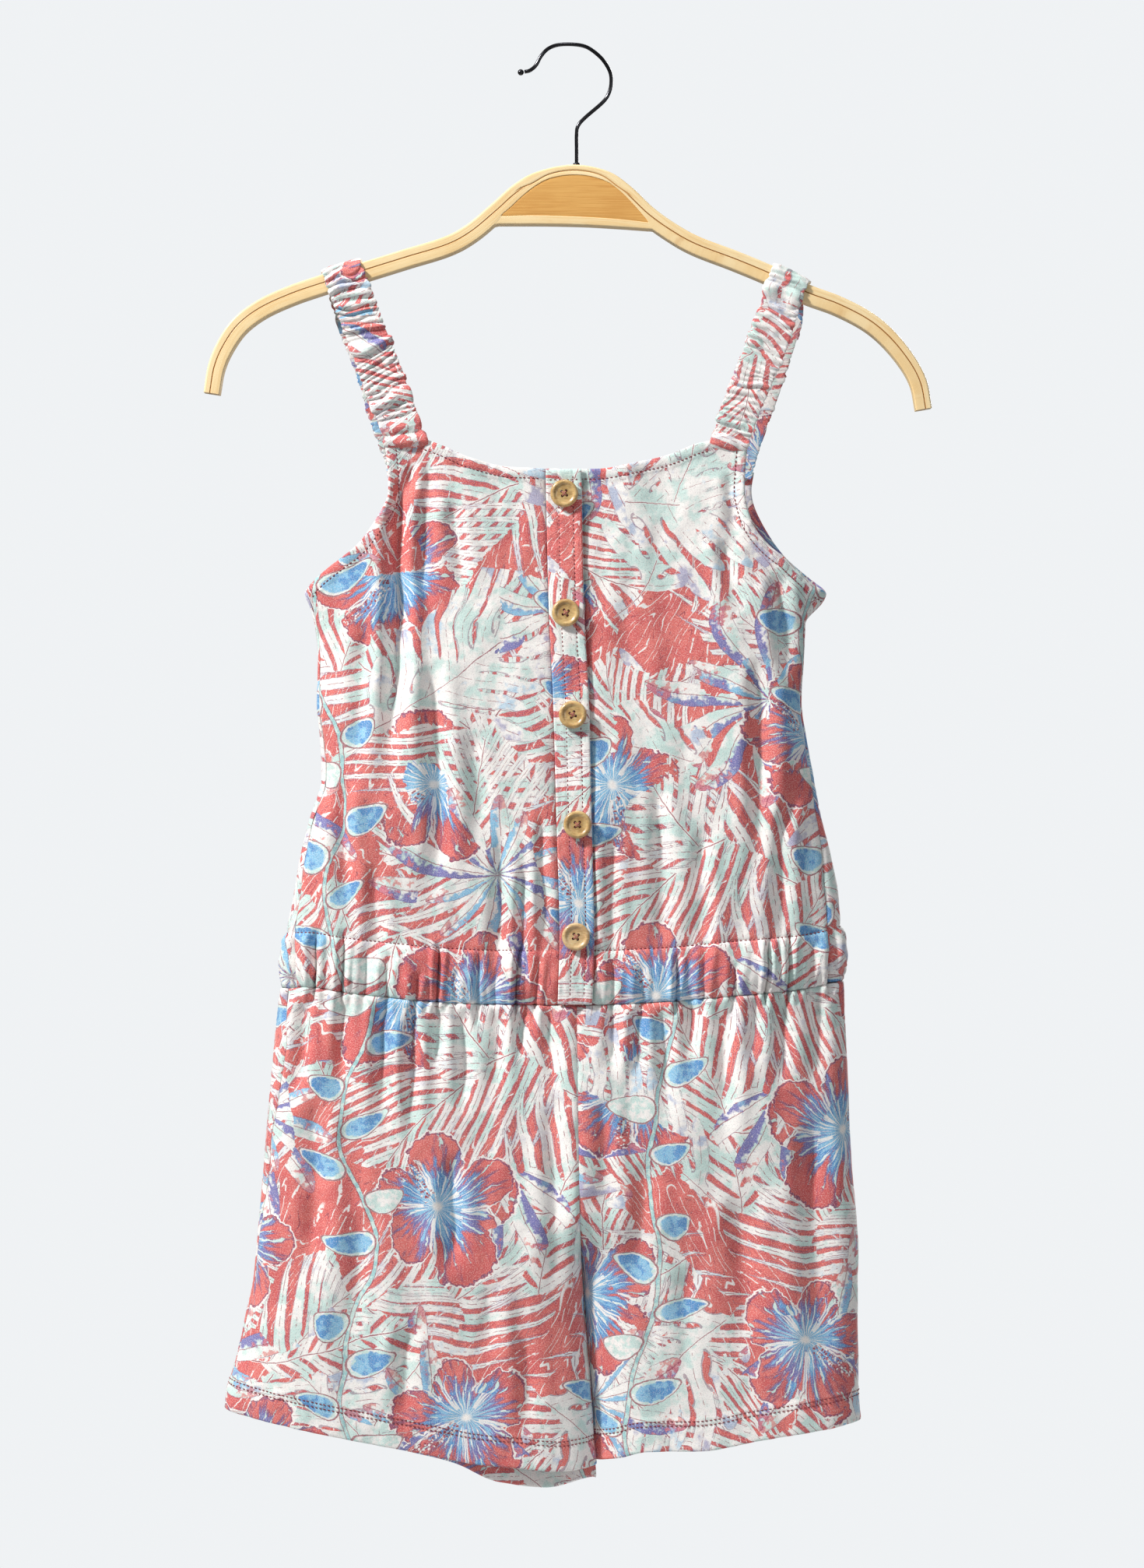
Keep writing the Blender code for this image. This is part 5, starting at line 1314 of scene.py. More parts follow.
def print_group():
    """The whole all-over print, from place on the cloth in millimetres."""
    t, i, o = group("tropical_print", [("Vector", VECTOR, None)], [("Color", COLOUR)])
    drift = t.noise(i["Vector"], 0.017, 1.0, 0.5, colour=True)
    place = t.vector("ADD", i["Vector"], t.vector("SCALE", t.vector("SUBTRACT", drift, (0.5, 0.5, 0.5)), Scale=16.0))
    brush = t.noise(i["Vector"], 0.22, 2.0, 0.6, colour=True)
    place = t.vector("ADD", place, t.vector("SCALE", t.vector("SUBTRACT", brush, (0.5, 0.5, 0.5)), Scale=1.1))
    rough, _, _ = t.split(brush)
    wash = t.noise(i["Vector"], 0.052, 3.0, 0.62)
    colour = t.mix(t.step(wash, 0.4, 0.62), CORAL, CORAL_DEEP)
    # loose strands drawn over the ground
    sx, sy, _ = t.split(t.rotate(place, 0.5))
    strand = t.noise(t.join(sx * 0.052, sy * 0.013), 1.0, 1.0, 0.5)
    strand = t.math("ABSOLUTE", t.math("FRACT", strand * 9.0) - 0.5)
    colour = t.mix((1.0 - t.step(strand, 0.030, 0.075)) * t.step(rough, 0.40, 0.50), colour, OFFWHITE)
    colour = t.mix((1.0 - t.step(t.math("ABSOLUTE", strand - 0.28), 0.012, 0.035)) * t.step(1.0 - rough, 0.46, 0.56) * 0.7, colour, MAROON)

    def after(drawn):
        # each motif is worked out only once the one under it is painted
        return t.vector("MULTIPLY_ADD", drawn, (1e-9, 1e-9, 1e-9), place)

    def scatter(drawn, cell, grid, shift_x, shift_y, size, share, seed):
        """Place in the nearest motif of a turned grid: its own turn and nudge."""
        p = t.vector("SCALE", t.rotate(t.vector("ADD", after(drawn), (shift_x, shift_y, 0.0)), math.radians(grid)), Scale=1.0 / cell)
        home = t.vector("FLOOR", p)
        dice = t.node("ShaderNodeTexWhiteNoise", noise_dimensions="3D")
        t.put(dice.inputs["Vector"], t.vector("ADD", home, (0.0, 0.0, seed)))
        turn, nudge, there = t.split(t.wrap(dice.outputs["Color"]))
        p = t.vector("SUBTRACT", p, t.vector("ADD", home, (0.5, 0.5, 0.0)))
        px, py, _ = t.split(p)
        p = t.rotate(t.join(px + (nudge - 0.5) * 0.05, py + (turn - 0.5) * 0.05), turn * math.tau)
        return t.vector("SCALE", p, Scale=1.0 / size), there < share, nudge

    def motif(tree, vector, ground, **values):
        n = t.node("ShaderNodeGroup", node_tree=tree)
        t.put(n.inputs["Vector"], vector)
        t.put(n.inputs["Ground"], ground)
        for key, value in values.items():
            t.put(n.inputs[key], value)
        return t.wrap(n.outputs["Color"])

    leaf, spikes, bloom, vine = leaf_group(), spikes_group(), bloom_group(), vine_group()
    keys = ("Width", "Pitch", "Slant", "Fan", "Arch", "Duty", "Point", "Blunt", "Reach", "Bend", "Holes", "Shade")
    for row in rows_of(LEAVES):
        (cell, grid, sx, sy, size), shape, (share, seed) = row[:5], row[5:-2], row[-2:]
        p, there, own = scatter(colour, cell, grid, sx, sy, size, share, seed)
        p = t.vector("ADD", p, (0.0, 0.5, 0.0))
        drawn = motif(leaf, p, colour, Seed=seed, Rough=rough, Wash=wash, **dict(zip(keys, shape)))
        colour = t.mix(there, colour, drawn)
    for cell, grid, sx, sy, size, count, share, seed in rows_of(SPIKES):
        p, there, own = scatter(colour, cell, grid, sx, sy, size, share, seed)
        colour = t.mix(there, colour, motif(spikes, p, colour, Count=count, Seed=own * 9.0, Wash=wash, Rough=rough))
    for cell, grid, sx, sy, size, petals, share, seed in rows_of(BLOOMS):
        p, there, own = scatter(colour, cell, grid, sx, sy, size, share, seed)
        colour = t.mix(there, colour, motif(bloom, p, colour, Petals=petals, Seed=own * 9.0, Wash=wash, Rough=rough))
    for pitch, turn, sway, wave, step, seed in rows_of(VINES):
        p = t.rotate(after(colour), math.radians(turn))
        p = t.vector("WRAP", p, (pitch / 2, 1e4, 1.0), (-pitch / 2, -1e4, -1.0))
        colour = motif(vine, p, colour, Sway=sway, Wave=wave, Step=step, Seed=seed, Rough=rough)
    # the knit takes the ink unevenly: fine grain, a little colour lost everywhere
    grain = t.noise(i["Vector"], 1.5, 1.0, 0.75)
    colour = t.mix(t.step(grain, 0.5, 0.70) * 0.36, colour, hue(246, 228, 222))
    colour = t.mix(t.step(grain, 0.5, 0.28) * 0.26, colour, hue(120, 72, 84))
    t.tree.links.new(colour.socket, o["Color"])
    return t.tree


def principled(name):
    mat = bpy.data.materials.new(name)
    mat.use_nodes = True
    t = Tree(mat.node_tree)
    return mat, t, mat.node_tree.nodes["Principled BSDF"]


def cloth_material(name, print_tree):
    """Soft printed jersey.  Its wrong side shows the print only faintly."""
    mat, t, shader = principled(name)
    uv = t.node("ShaderNodeUVMap", uv_map="print")
    place = t.vector("SCALE", t.wrap(uv.outputs[0]), Scale=1000.0)
    n = t.node("ShaderNodeGroup", node_tree=print_tree)
    t.put(n.inputs[0], place)
    colour = t.wrap(n.outputs[0])
    wrong = t.node("ShaderNodeAttribute", attribute_name="wrong")
    dull = t.mix(0.62, colour, hue(196, 150, 150))
    colour = t.mix(t.wrap(wrong.outputs["Fac"]), colour, dull)
    t.put(shader.inputs["Base Color"], colour)
    speck = t.noise(place, 1.1, 4.0, 0.7)
    t.put(shader.inputs["Roughness"], 0.80 + 0.14 * speck)
    shader.inputs["Specular IOR Level"].default_value = 0.22
    shader.inputs["Sheen Weight"].default_value = 0.22
    shader.inputs["Sheen Roughness"].default_value = 0.45
    # knit: fine ribs down the cloth, courses across, and a fuzzy unevenness
    x, y, _ = t.split(place)
    rib = t.math("SINE", x * (math.tau / 0.75) + 1.5 * t.noise(place, 0.4, 1.0))
    course = t.math("SINE", y * (math.tau / 0.62))
    crumple = t.noise(place, 0.16, 3.0, 0.55)
    height = 0.06 * rib * course + 0.25 * speck + 1.1 * crumple
    bump = t.node("ShaderNodeBump")
    bump.inputs["Strength"].default_value = 0.62
    bump.inputs["Distance"].default_value = 0.00055
    t.put(bump.inputs["Height"], height)
    t.tree.links.new(bump.outputs[0], shader.inputs["Normal"])
    return mat


def wood_material(name, light, dark, groove):
    """Lacquered wood: fine grain along the piece (UV runs along it, in metres)."""
    mat, t, shader = principled(name)
    uv = t.node("ShaderNodeUVMap", uv_map="grain")
    place = t.vector("SCALE", t.wrap(uv.outputs[0]), Scale=1000.0)
    x, y, _ = t.split(place)
    lines = t.noise(t.join(x * 0.035, y * 1.5), 1.0, 4.0, 0.62)
    pores = t.noise(t.join(x * 0.10, y * 3.0), 1.0, 3.0, 0.7)
    cloud = t.noise(place, 0.03, 2.0, 0.5)
    colour = t.mix(t.step(lines * 0.7 + cloud * 0.3, 0.36, 0.66), light, dark)
    colour = t.mix(t.step(pores, 0.56, 0.76) * 0.28, colour, groove)
    edge = t.node("ShaderNodeAttribute", attribute_name="shade")
    colour = t.mix(t.wrap(edge.outputs["Fac"]), colour, groove)
    t.put(shader.inputs["Base Color"], colour)
    t.put(shader.inputs["Roughness"], 0.34 + 0.16 * pores)
    shader.inputs["Coat Weight"].default_value = 0.25
    shader.inputs["Coat Roughness"].default_value = 0.22
    bump = t.node("ShaderNodeBump")
    bump.inputs["Strength"].default_value = 0.3
    bump.inputs["Distance"].default_value = 0.00005
    t.put(bump.inputs["Height"], pores * 0.7 + lines * 0.5)
    t.tree.links.new(bump.outputs[0], shader.inputs["Normal"])
    return mat


def wire_material():
    mat, t, shader = principled("polished_wire")
    geo = t.node("ShaderNodeTexCoord")
    scuff = t.noise(t.wrap(geo.outputs["Object"]), 60.0, 3.0, 0.6, dims="3D")
    t.put(shader.inputs["Base Color"], t.mix(t.step(scuff, 0.4, 0.7), (0.055, 0.055, 0.06), (0.035, 0.035, 0.04)))
    t.put(shader.inputs["Roughness"], 0.14 + 0.10 * scuff)
    shader.inputs["Metallic"].default_value = 1.0
    return mat


def horn_material(name, light, dark):
    mat, t, shader = principled(name)
    geo = t.node("ShaderNodeTexCoord")
    place = t.wrap(geo.outputs["Object"])
    cloud = t.noise(place, 160.0, 4.0, 0.6, dims="3D")
    streak = t.noise(t.vector("MULTIPLY", place, (1.0, 1.0, 4.0)), 420.0, 3.0, 0.6, dims="3D")
    colour = t.mix(t.step(cloud * 0.6 + streak * 0.4, 0.40, 0.60), light, dark)
    t.put(shader.inputs["Base Color"], colour)
    t.put(shader.inputs["Roughness"], 0.24 + 0.14 * streak)
    shader.inputs["Coat Weight"].default_value = 0.35
    shader.inputs["Coat Roughness"].default_value = 0.12
    shader.inputs["Subsurface Weight"].default_value = 0.12
    shader.inputs["Subsurface Scale"].default_value = 0.0015
    return mat


def thread_material(name, colour, darker):
    mat, t, shader = principled(name)
    geo = t.node("ShaderNodeTexCoord")
    twist = t.noise(t.wrap(geo.outputs["Object"]), 2600.0, 2.0, 0.5, dims="3D")
    t.put(shader.inputs["Base Color"], t.mix(t.step(twist, 0.4, 0.62), colour, darker))
    t.put(shader.inputs["Roughness"], 0.6 + 0.25 * twist)
    shader.inputs["Sheen Weight"].default_value = 0.2
    return mat


# ---------------------------------------------------------------------- meshes

def add(name, mesh, mat):
    item = bpy.data.objects.new(name, mesh)
    mesh.materials.append(mat)
    bpy.context.scene.collection.objects.link(item)
    mesh.shade_smooth()
    return item


def make_mesh(name, points, faces, uv=None, uv_name="print", marks=None, bake=None):
    """Mesh from points in millimetres, with a map and point attributes."""
    mesh = bpy.data.meshes.new(name)
    mesh.from_pydata((np.asarray(points) / 1000.0).tolist(), [], [list(map(int, f)) for f in faces])
    mesh.update()
    loops = np.empty(len(mesh.loops), np.int32)
    mesh.loops.foreach_get("vertex_index", loops)
    if uv is not None:
        layer = mesh.uv_layers.new(name=uv_name)
        layer.data.foreach_set("uv", (np.asarray(uv)[loops] / 1000.0).astype(np.float32).ravel())
    if bake is not None:
        layer = mesh.uv_layers.new(name="OFBake")
        layer.data.foreach_set("uv", np.asarray(bake)[loops].astype(np.float32).ravel())
    for key, values in (marks or {}).items():
        data = mesh.attributes.new(key, "FLOAT", "POINT")
        data.data.foreach_set("value", np.asarray(values, np.float32))
    return mesh


def vertex_normals(points, tris):
    a, b, c = (points[tris[:, k]] for k in range(3))
    n = np.cross(b - a, c - a)
    out = np.zeros_like(points)
    for k in range(3):
        np.add.at(out, tris[:, k], n)
    return out / np.maximum(np.linalg.norm(out, axis=1), 1e-12)[:, None]


def shell(name, mid, tris, wall, flat, shift, turn, outward, mat, turned_up=None):
    """Closed cloth from its middle surface: outer face, inner face and rim.
    The outer face is the right side of the cloth."""
    n = vertex_normals(mid, tris)
    if (n * outward).sum() < 0:
        tris = tris[:, ::-1]
        n = -n
    count = len(mid)
    outer, inner = mid + n * (wall / 2)[:, None], mid - n * (wall / 2)[:, None]
    edges = np.concatenate([tris[:, [0, 1]], tris[:, [1, 2]], tris[:, [2, 0]]])
    key = edges.min(1).astype(np.int64) * count + edges.max(1)
    _, index, times = np.unique(key, return_index=True, return_counts=True)
    rim = edges[index[times == 1]]
    faces = tris.tolist() + (tris[:, ::-1] + count).tolist()
    faces += [(b, a, a + count, b + count) for a, b in rim.tolist()]
    c, s = math.cos(turn), math.sin(turn)
    uv = np.stack([flat[:, 0] * c - flat[:, 1] * s, flat[:, 0] * s + flat[:, 1] * c], axis=1) + np.array(shift)
    lo, size = flat.min(0), np.ptp(flat, axis=0)
    scale = min(0.97 / size[1], 0.96 / (1.5 * size[0]))
    own = (flat - lo) * scale + 0.01
    half = (flat - lo) * scale * 0.49 + np.array([0.02 + size[0] * scale, 0.01])
    mesh = make_mesh(name, np.concatenate([outer, inner]), faces, np.concatenate([uv, uv]), "print",
                     {"wrong": np.concatenate([np.zeros(count), np.ones(count) if turned_up is None else 1 - turned_up])}, np.concatenate([own, half]))
    return add(name, mesh, mat)


def build_panel(panel, turn, shift, mat):
    pts = panel.points()
    count = len(panel.ring)
    sides = [(i, (i + 1) % count) for i in range(count)]
    out = delaunay_2d_cdt([Vector(p) for p in pts.tolist()], sides, [], 1, 1e-4, False)
    flat = np.array([tuple(v) for v in out[0]])
    tris = np.array([f for f in out[2] if len(f) == 3])
    tris = tris[within(flat[tris].mean(1), panel.ring)]
    used = np.unique(tris)
    index = np.full(len(flat), -1)
    index[used] = np.arange(len(used))
    flat, tris = flat[used], index[tris]
    base, n, lift, wall, gaps, _ = panel.relief(flat[:, 0], flat[:, 1])
    mid = base + n * lift[:, None]
    turned_up = np.maximum(smooth((HEM_BAND + 0.4 - gaps["hem"][0]) / 0.8), smooth((EDGE_BAND + 0.4 - gaps["edge"][0]) / 0.8))
    return shell("cloth_" + panel.name, mid, tris, wall, flat, shift, turn, n, mat, turned_up)


def stitches(name, rows, mat, length=1.6, pitch=2.5, radius=0.31):
    """Runs of short threads lying in the cloth: points and outward directions."""
    verts, faces = [], []
    for points, normals in rows:
        run = np.concatenate([[0], np.cumsum(np.linalg.norm(np.diff(points, axis=0), axis=1))])
        if run[-1] < pitch:
            continue
        starts = np.arange(0.6, run[-1] - length, pitch)
        for k, s in enumerate(starts):
            s = s + 0.25 * float(noise(s, 3.3, 71))
            ring_at = np.array([0.0, 0.28, 0.72, 1.0]) * length + s
            p = np.stack([np.interp(ring_at, run, points[:, i]) for i in range(3)], axis=1)
            n = np.stack([np.interp(ring_at, run, normals[:, i]) for i in range(3)], axis=1)
            n /= np.linalg.norm(n, axis=1)[:, None]
            along = p[-1] - p[0]
            along /= np.linalg.norm(along)
            across = np.cross(along, n)
            start = len(verts)
            for j, (size, sink) in enumerate(((0.5, -0.22), (1.0, 0.10), (1.0, 0.10), (0.5, -0.22))):
                for a in range(6):
                    t = a * math.tau / 6
                    verts.append(p[j] + n[j] * (sink + radius * size * math.sin(t)) + across[j] * radius * size * math.cos(t))
            for j in range(3):
                for a in range(6):
                    b = (a + 1) % 6
                    faces.append((start + j * 6 + a, start + j * 6 + b, start + j * 6 + 6 + b, start + j * 6 + 6 + a))
            faces.append(tuple(start + a for a in range(5, -1, -1)))
            faces.append(tuple(start + 18 + a for a in range(6)))
    mesh = make_mesh(name, np.array(verts), faces)
    bm = bmesh.new()
    bm.from_mesh(mesh)
    bmesh.ops.recalc_face_normals(bm, faces=bm.faces)
    bm.to_mesh(mesh)
    bm.free()
    return add(name, mesh, mat)


def area_of(ring):
    x, y = ring[:, 0], ring[:, 1]
    return 0.5 * abs(np.dot(x, np.roll(y, -1)) - np.dot(y, np.roll(x, -1)))


# ------------------------------------------------------------------- the cloth

SEAM_HALF = 0.12        # half of the gap where two panels are sewn together


def cut_edge(tube, tab, low=-1e9, high=1e9):
    """A cut edge from a table of x and level, smooth, as a path on the cloth."""
    path = resample(smooth_path(list(zip(tab["x"], tab["z"]))), 1.5)
    path = path[(path[:, 0] >= low) & (path[:, 0] <= high)]
    q = tube.span(tube.angle(path[:, 0], path[:, 1]), path[:, 1])
    return np.stack([q, path[:, 1]], axis=1)


def seam_edge(tube, side, levels, shift):
    sign = -1 if side == "right" else 1
    turn = 90 - SEAM[side](levels) if tube.face < 0 else 90 + SEAM[side](levels)
    return np.stack([tube.span(sign * np.radians(turn), levels) - sign * shift, levels], axis=1)


def level_line(tube, line, start, end, drop=0.0):
    a = np.linspace(start, end, 220)
    z = np.full(len(a), -550.0)
    for _ in range(4):
        z = line(tube.flat(a, z)[0]) - drop
    return np.stack([tube.span(a, z), z], axis=1)


def bodice_panels():
    front, back = Bodice(-1), Bodice(1)
    opening = curve(PLACKET["z"], PLACKET["left"])
    levels = np.linspace(UNDERARM_Z, -541.0, 90)
    h = SEAM_HALF

    def middle(shift, top):
        z = np.linspace(top, -553.0, 120)
        x = opening(z) + shift
        return np.stack([front.span(front.angle(x, z), z), z], axis=1)

    armhole, neck = cut_edge(front, ARMHOLE_FRONT_RIGHT), cut_edge(front, NECK_FRONT, high=-18.2)
    centre = middle(-h, -244.7)
    side = seam_edge(front, "right", levels[::-1], h)
    low = level_line(front, lambda x: WAIST[-1](x) + h, float(front.turn(centre[-1:, 0], centre[-1:, 1])[0]),
                     -math.radians(90 - float(SEAM["right"](-544))))
    casing = level_line(front, lambda x: WAIST[-1](x) + CASING, -0.11, -math.radians(92))
    right = Panel("bodice_front_right", front, [
        ("edge", armhole), ("strap", np.stack([armhole[-1], neck[0]])), ("edge", np.concatenate([neck, centre[:1]])),
        ("open", centre), ("waist", low), ("seam", side), ("edge", np.stack([side[-1], armhole[0]]))], [casing])

    neck, armhole = cut_edge(front, NECK_FRONT, low=-17.0), cut_edge(front, ARMHOLE_FRONT_LEFT)
    centre = middle(h, -244.7)[::-1]
    side = seam_edge(front, "left", levels, h)
    low = level_line(front, lambda x: WAIST[-1](x) + h, math.radians(90 - float(SEAM["left"](-541))),
                     float(front.turn(centre[:1, 0], centre[:1, 1])[0]))
    casing = level_line(front, lambda x: WAIST[-1](x) + CASING, math.radians(90), 0.06)
    left = Panel("bodice_front_left", front, [
        ("edge", neck), ("strap", np.stack([neck[-1], armhole[0]])), ("edge", armhole),
        ("edge", np.stack([armhole[-1], side[0]])), ("seam", side), ("waist", low), ("open", centre)], [casing])

    arm_r, neck, arm_l = cut_edge(back, ARMHOLE_BACK_RIGHT), cut_edge(back, NECK_BACK), cut_edge(back, ARMHOLE_BACK_LEFT)
    side_l, side_r = seam_edge(back, "left", levels, h), seam_edge(back, "right", levels[::-1], h)
    low = level_line(back, lambda x: WAIST[1](x) + h, math.radians(90 + float(SEAM["left"](-541))),
                     -math.radians(90 + float(SEAM["right"](-544))))
    casing = level_line(back, lambda x: WAIST[1](x) + CASING, math.radians(98), -math.radians(98))
    whole = Panel("bodice_back", back, [
        ("edge", arm_r), ("strap", np.stack([arm_r[-1], neck[0]])), ("edge", neck),
        ("strap", np.stack([neck[-1], arm_l[0]])), ("edge", arm_l), ("edge", np.stack([arm_l[-1], side_l[0]])),
        ("seam", side_l), ("waist", low), ("seam", side_r), ("edge", np.stack([side_r[-1], arm_r[0]]))], [casing])
    return right, left, whole


HEMS = {("right", -1): HEM_FRONT_RIGHT, ("right", 1): HEM_BACK_RIGHT,
        ("left", -1): HEM_FRONT_LEFT, ("left", 1): HEM_BACK_LEFT}


def leg_panel(side, face):
    tube = Leg(face, side)
    hem_line = curve(HEMS[side, face]["x"], HEMS[side, face]["z"])
    h = SEAM_HALF
    inner_angle = math.radians(88.9)

    def seam_angle(z):
        return -math.radians(90 - float(SEAM[side](z)) if face < 0 else 90 + float(SEAM[side](z)))

    top_z = -544.4 if side == "right" else -540.4
    hem_z = float(hem_line(float(OUT[side](-790))))
    top = level_line(tube, lambda x: WAIST[face](x) - h, seam_angle(top_z), inner_angle)
    low = level_line(tube, hem_line, inner_angle, seam_angle(hem_z))
    z = np.linspace(top[-1, 1], low[0, 1], 200)
    inner = np.stack([tube.span(np.full(len(z), inner_angle), z), z], axis=1)
    z = np.linspace(low[-1, 1], top[0, 1], 200)
    turn = 90 - SEAM[side](z) if face < 0 else 90 + SEAM[side](z)
    outer = np.stack([tube.span(-np.radians(turn), z) + h, z], axis=1)
    name = "shorts_%s_%s" % ("front" if face < 0 else "back", side)
    return Panel(name, tube, [("waist", top), ("seam", inner), ("hem", low), ("seam", outer)])


def declare(item, node, ring, area=None):
    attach(item, "root")
    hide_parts(node)
    area = area_of(ring) / 1e6 if area is None else area


def seam_rows(panel, item):
    """Rows of stitches on one panel: hems, turned edges, casing."""
    paths = []
    for distance in (17.2, 14.7):
        paths += panel.inset("hem", distance, 1.5, 1.5)
    paths += panel.inset("edge", 5.9, 0.5, 0.5)
    for path in panel.inner:
        path = path[within(path, panel.ring)]
        if len(path) > 5:
            paths.append(path)
    paths = [resample(path, 1.0) for path in paths]
    every = np.concatenate(paths)
    p, n = panel.surface(every[:, 0], every[:, 1])
    n = n * 0.35 + panel.tube.normal(every[:, 0], every[:, 1])
    n /= np.linalg.norm(n, axis=1)[:, None]
    # the thread lies on the cloth as made
    mesh = item.data
    tree = BVHTree.FromPolygons([v.co for v in mesh.vertices], [tuple(f.vertices) for f in mesh.polygons])
    for k in range(len(p)):
        met = tree.ray_cast(Vector(p[k] + n[k] * 4.0) / 1000, -Vector(n[k]), 0.009)[0]
        if met is not None:
            p[k] = np.array(met) * 1000 + n[k] * 0.26
    ends = np.cumsum([len(path) for path in paths])[:-1]
    return list(zip(np.split(p, ends), np.split(n, ends)))


def build_placket(front, left_panel, mat, thread):
    """Folded band sewn on its right edge and buttoned over on its left."""
    left, right = curve(PLACKET["z"], PLACKET["left"]), curve(PLACKET["z"], PLACKET["right"])
    zs = np.linspace(-244.9, -552.4, 250)
    us = np.concatenate([[0.0, 0.012, 0.035, 0.07], np.linspace(0.11, 0.89, 24), [0.93, 0.965, 0.988, 1.0]])
    u, z = np.meshgrid(us, zs)
    u, z = u.ravel(), z.ravel()
    x = left(z) + (right(z) - left(z)) * u
    q = front.span(front.angle(x, z), z)
    base, n = front.base(q, z), front.normal(q, z)
    under = hung("bodice", -1, np.minimum(base[:, 0], right(z) - 2.4), z)
    mm = u * 20.7
    lift = 0.75 * under + 0.9 + 0.95 * smooth(u / 0.5) + 0.3 * smooth((u - 0.62) / 0.3)
    for at in (6.9, 15.8):
        lift -= 0.38 * bell((mm - at) / 0.8)
    lift += 0.28 * noise(z / 11, u * 2.0, 81) + 0.2 * noise(z / 4.2, u * 5.0, 83)
    top = -244.9 - z
    lift += 0.25 * (1 - smooth((top - 6.4) / 0.9)) - 0.45 * bell((top - 6.2) / 0.7)
    edge = np.minimum(np.minimum(mm, 20.7 - mm), top)
    wall = 1.7 * np.maximum(0.15, np.sqrt(np.clip(1 - (1 - np.clip(edge / 0.95, 0, 1)) ** 2, 0, 1)))
    mid = base + n * lift[:, None]
    across = len(us)
    tris = []
    for i in range(len(zs) - 1):
        for j in range(across - 1):
            a = i * across + j
            tris += [(a, a + across, a + 1), (a + 1, a + across, a + across + 1)]
    flat = np.stack([mm, z], axis=1)
    item = shell("cloth_placket", mid, np.array(tris), wall, flat, (61.0, -33.0), 0.02, n, mat)
    grid = (mid + n * (wall / 2)[:, None]).reshape(len(zs), across, 3)
    out = n.reshape(len(zs), across, 3)
    rows = []
    for at in (6.9, 15.8):
        k = int(np.argmin(np.abs(us * 20.7 - at)))
        rows.append((grid[3:-4, k], out[3:-4, k]))
    k = int(np.argmin(np.abs(zs + 244.9 + 6.2)))
    rows.append((grid[k, 3:-3], out[k, 3:-3]))
    sewn = stitches("stitches_placket", rows, thread)
    return item, sewn, grid, out, us, zs


# ------------------------------------------------------ straps, buttons, hanger

def sweep(path, radii, sides=18, flatten=None):
    """Round tube along a path: points and faces, its two ends closed with flat caps."""
    path = np.asarray(path, float)
    t = np.gradient(path, axis=0)
    t /= np.linalg.norm(t, axis=1)[:, None]
    u = np.cross(t[0], (0.0, 1.0, 0.0))
    if np.linalg.norm(u) < 0.1:
        u = np.cross(t[0], (1.0, 0.0, 0.0))
    verts, faces = [], []
    for i, (p, d) in enumerate(zip(path, t)):
        u = u - d * np.dot(u, d)
        u /= np.linalg.norm(u)
        v = np.cross(d, u)
        for a in range(sides):
            b = a * math.tau / sides
            verts.append(p + radii[i] * (u * math.cos(b) + v * math.sin(b)))
    for i in range(len(path) - 1):
        for a in range(sides):
            b = (a + 1) % sides
            faces.append((i * sides + a, i * sides + b, (i + 1) * sides + b, (i + 1) * sides + a))
    faces.append(tuple(range(sides - 1, -1, -1)))
    last = (len(path) - 1) * sides
    faces.append(tuple(last + a for a in range(sides)))
    return np.array(verts), faces


def joined(pieces):
    verts, faces, start = [], [], 0
    for v, f in pieces:
        verts.append(v)
        faces += [tuple(k + start for k in face) for face in f]
        start += len(v)
    return np.concatenate(verts), faces


def solid(name, points, faces, mat, uv=None, uv_name="grain", marks=None, sharp=None):
    mesh = make_mesh(name, points, faces, uv, uv_name, marks)
    bm = bmesh.new()
    bm.from_mesh(mesh)
    bmesh.ops.recalc_face_normals(bm, faces=bm.faces)
    bm.to_mesh(mesh)
    bm.free()
    item = add(name, mesh, mat)
    if sharp:
        mesh.set_sharp_from_angle(angle=math.radians(sharp))
    return item


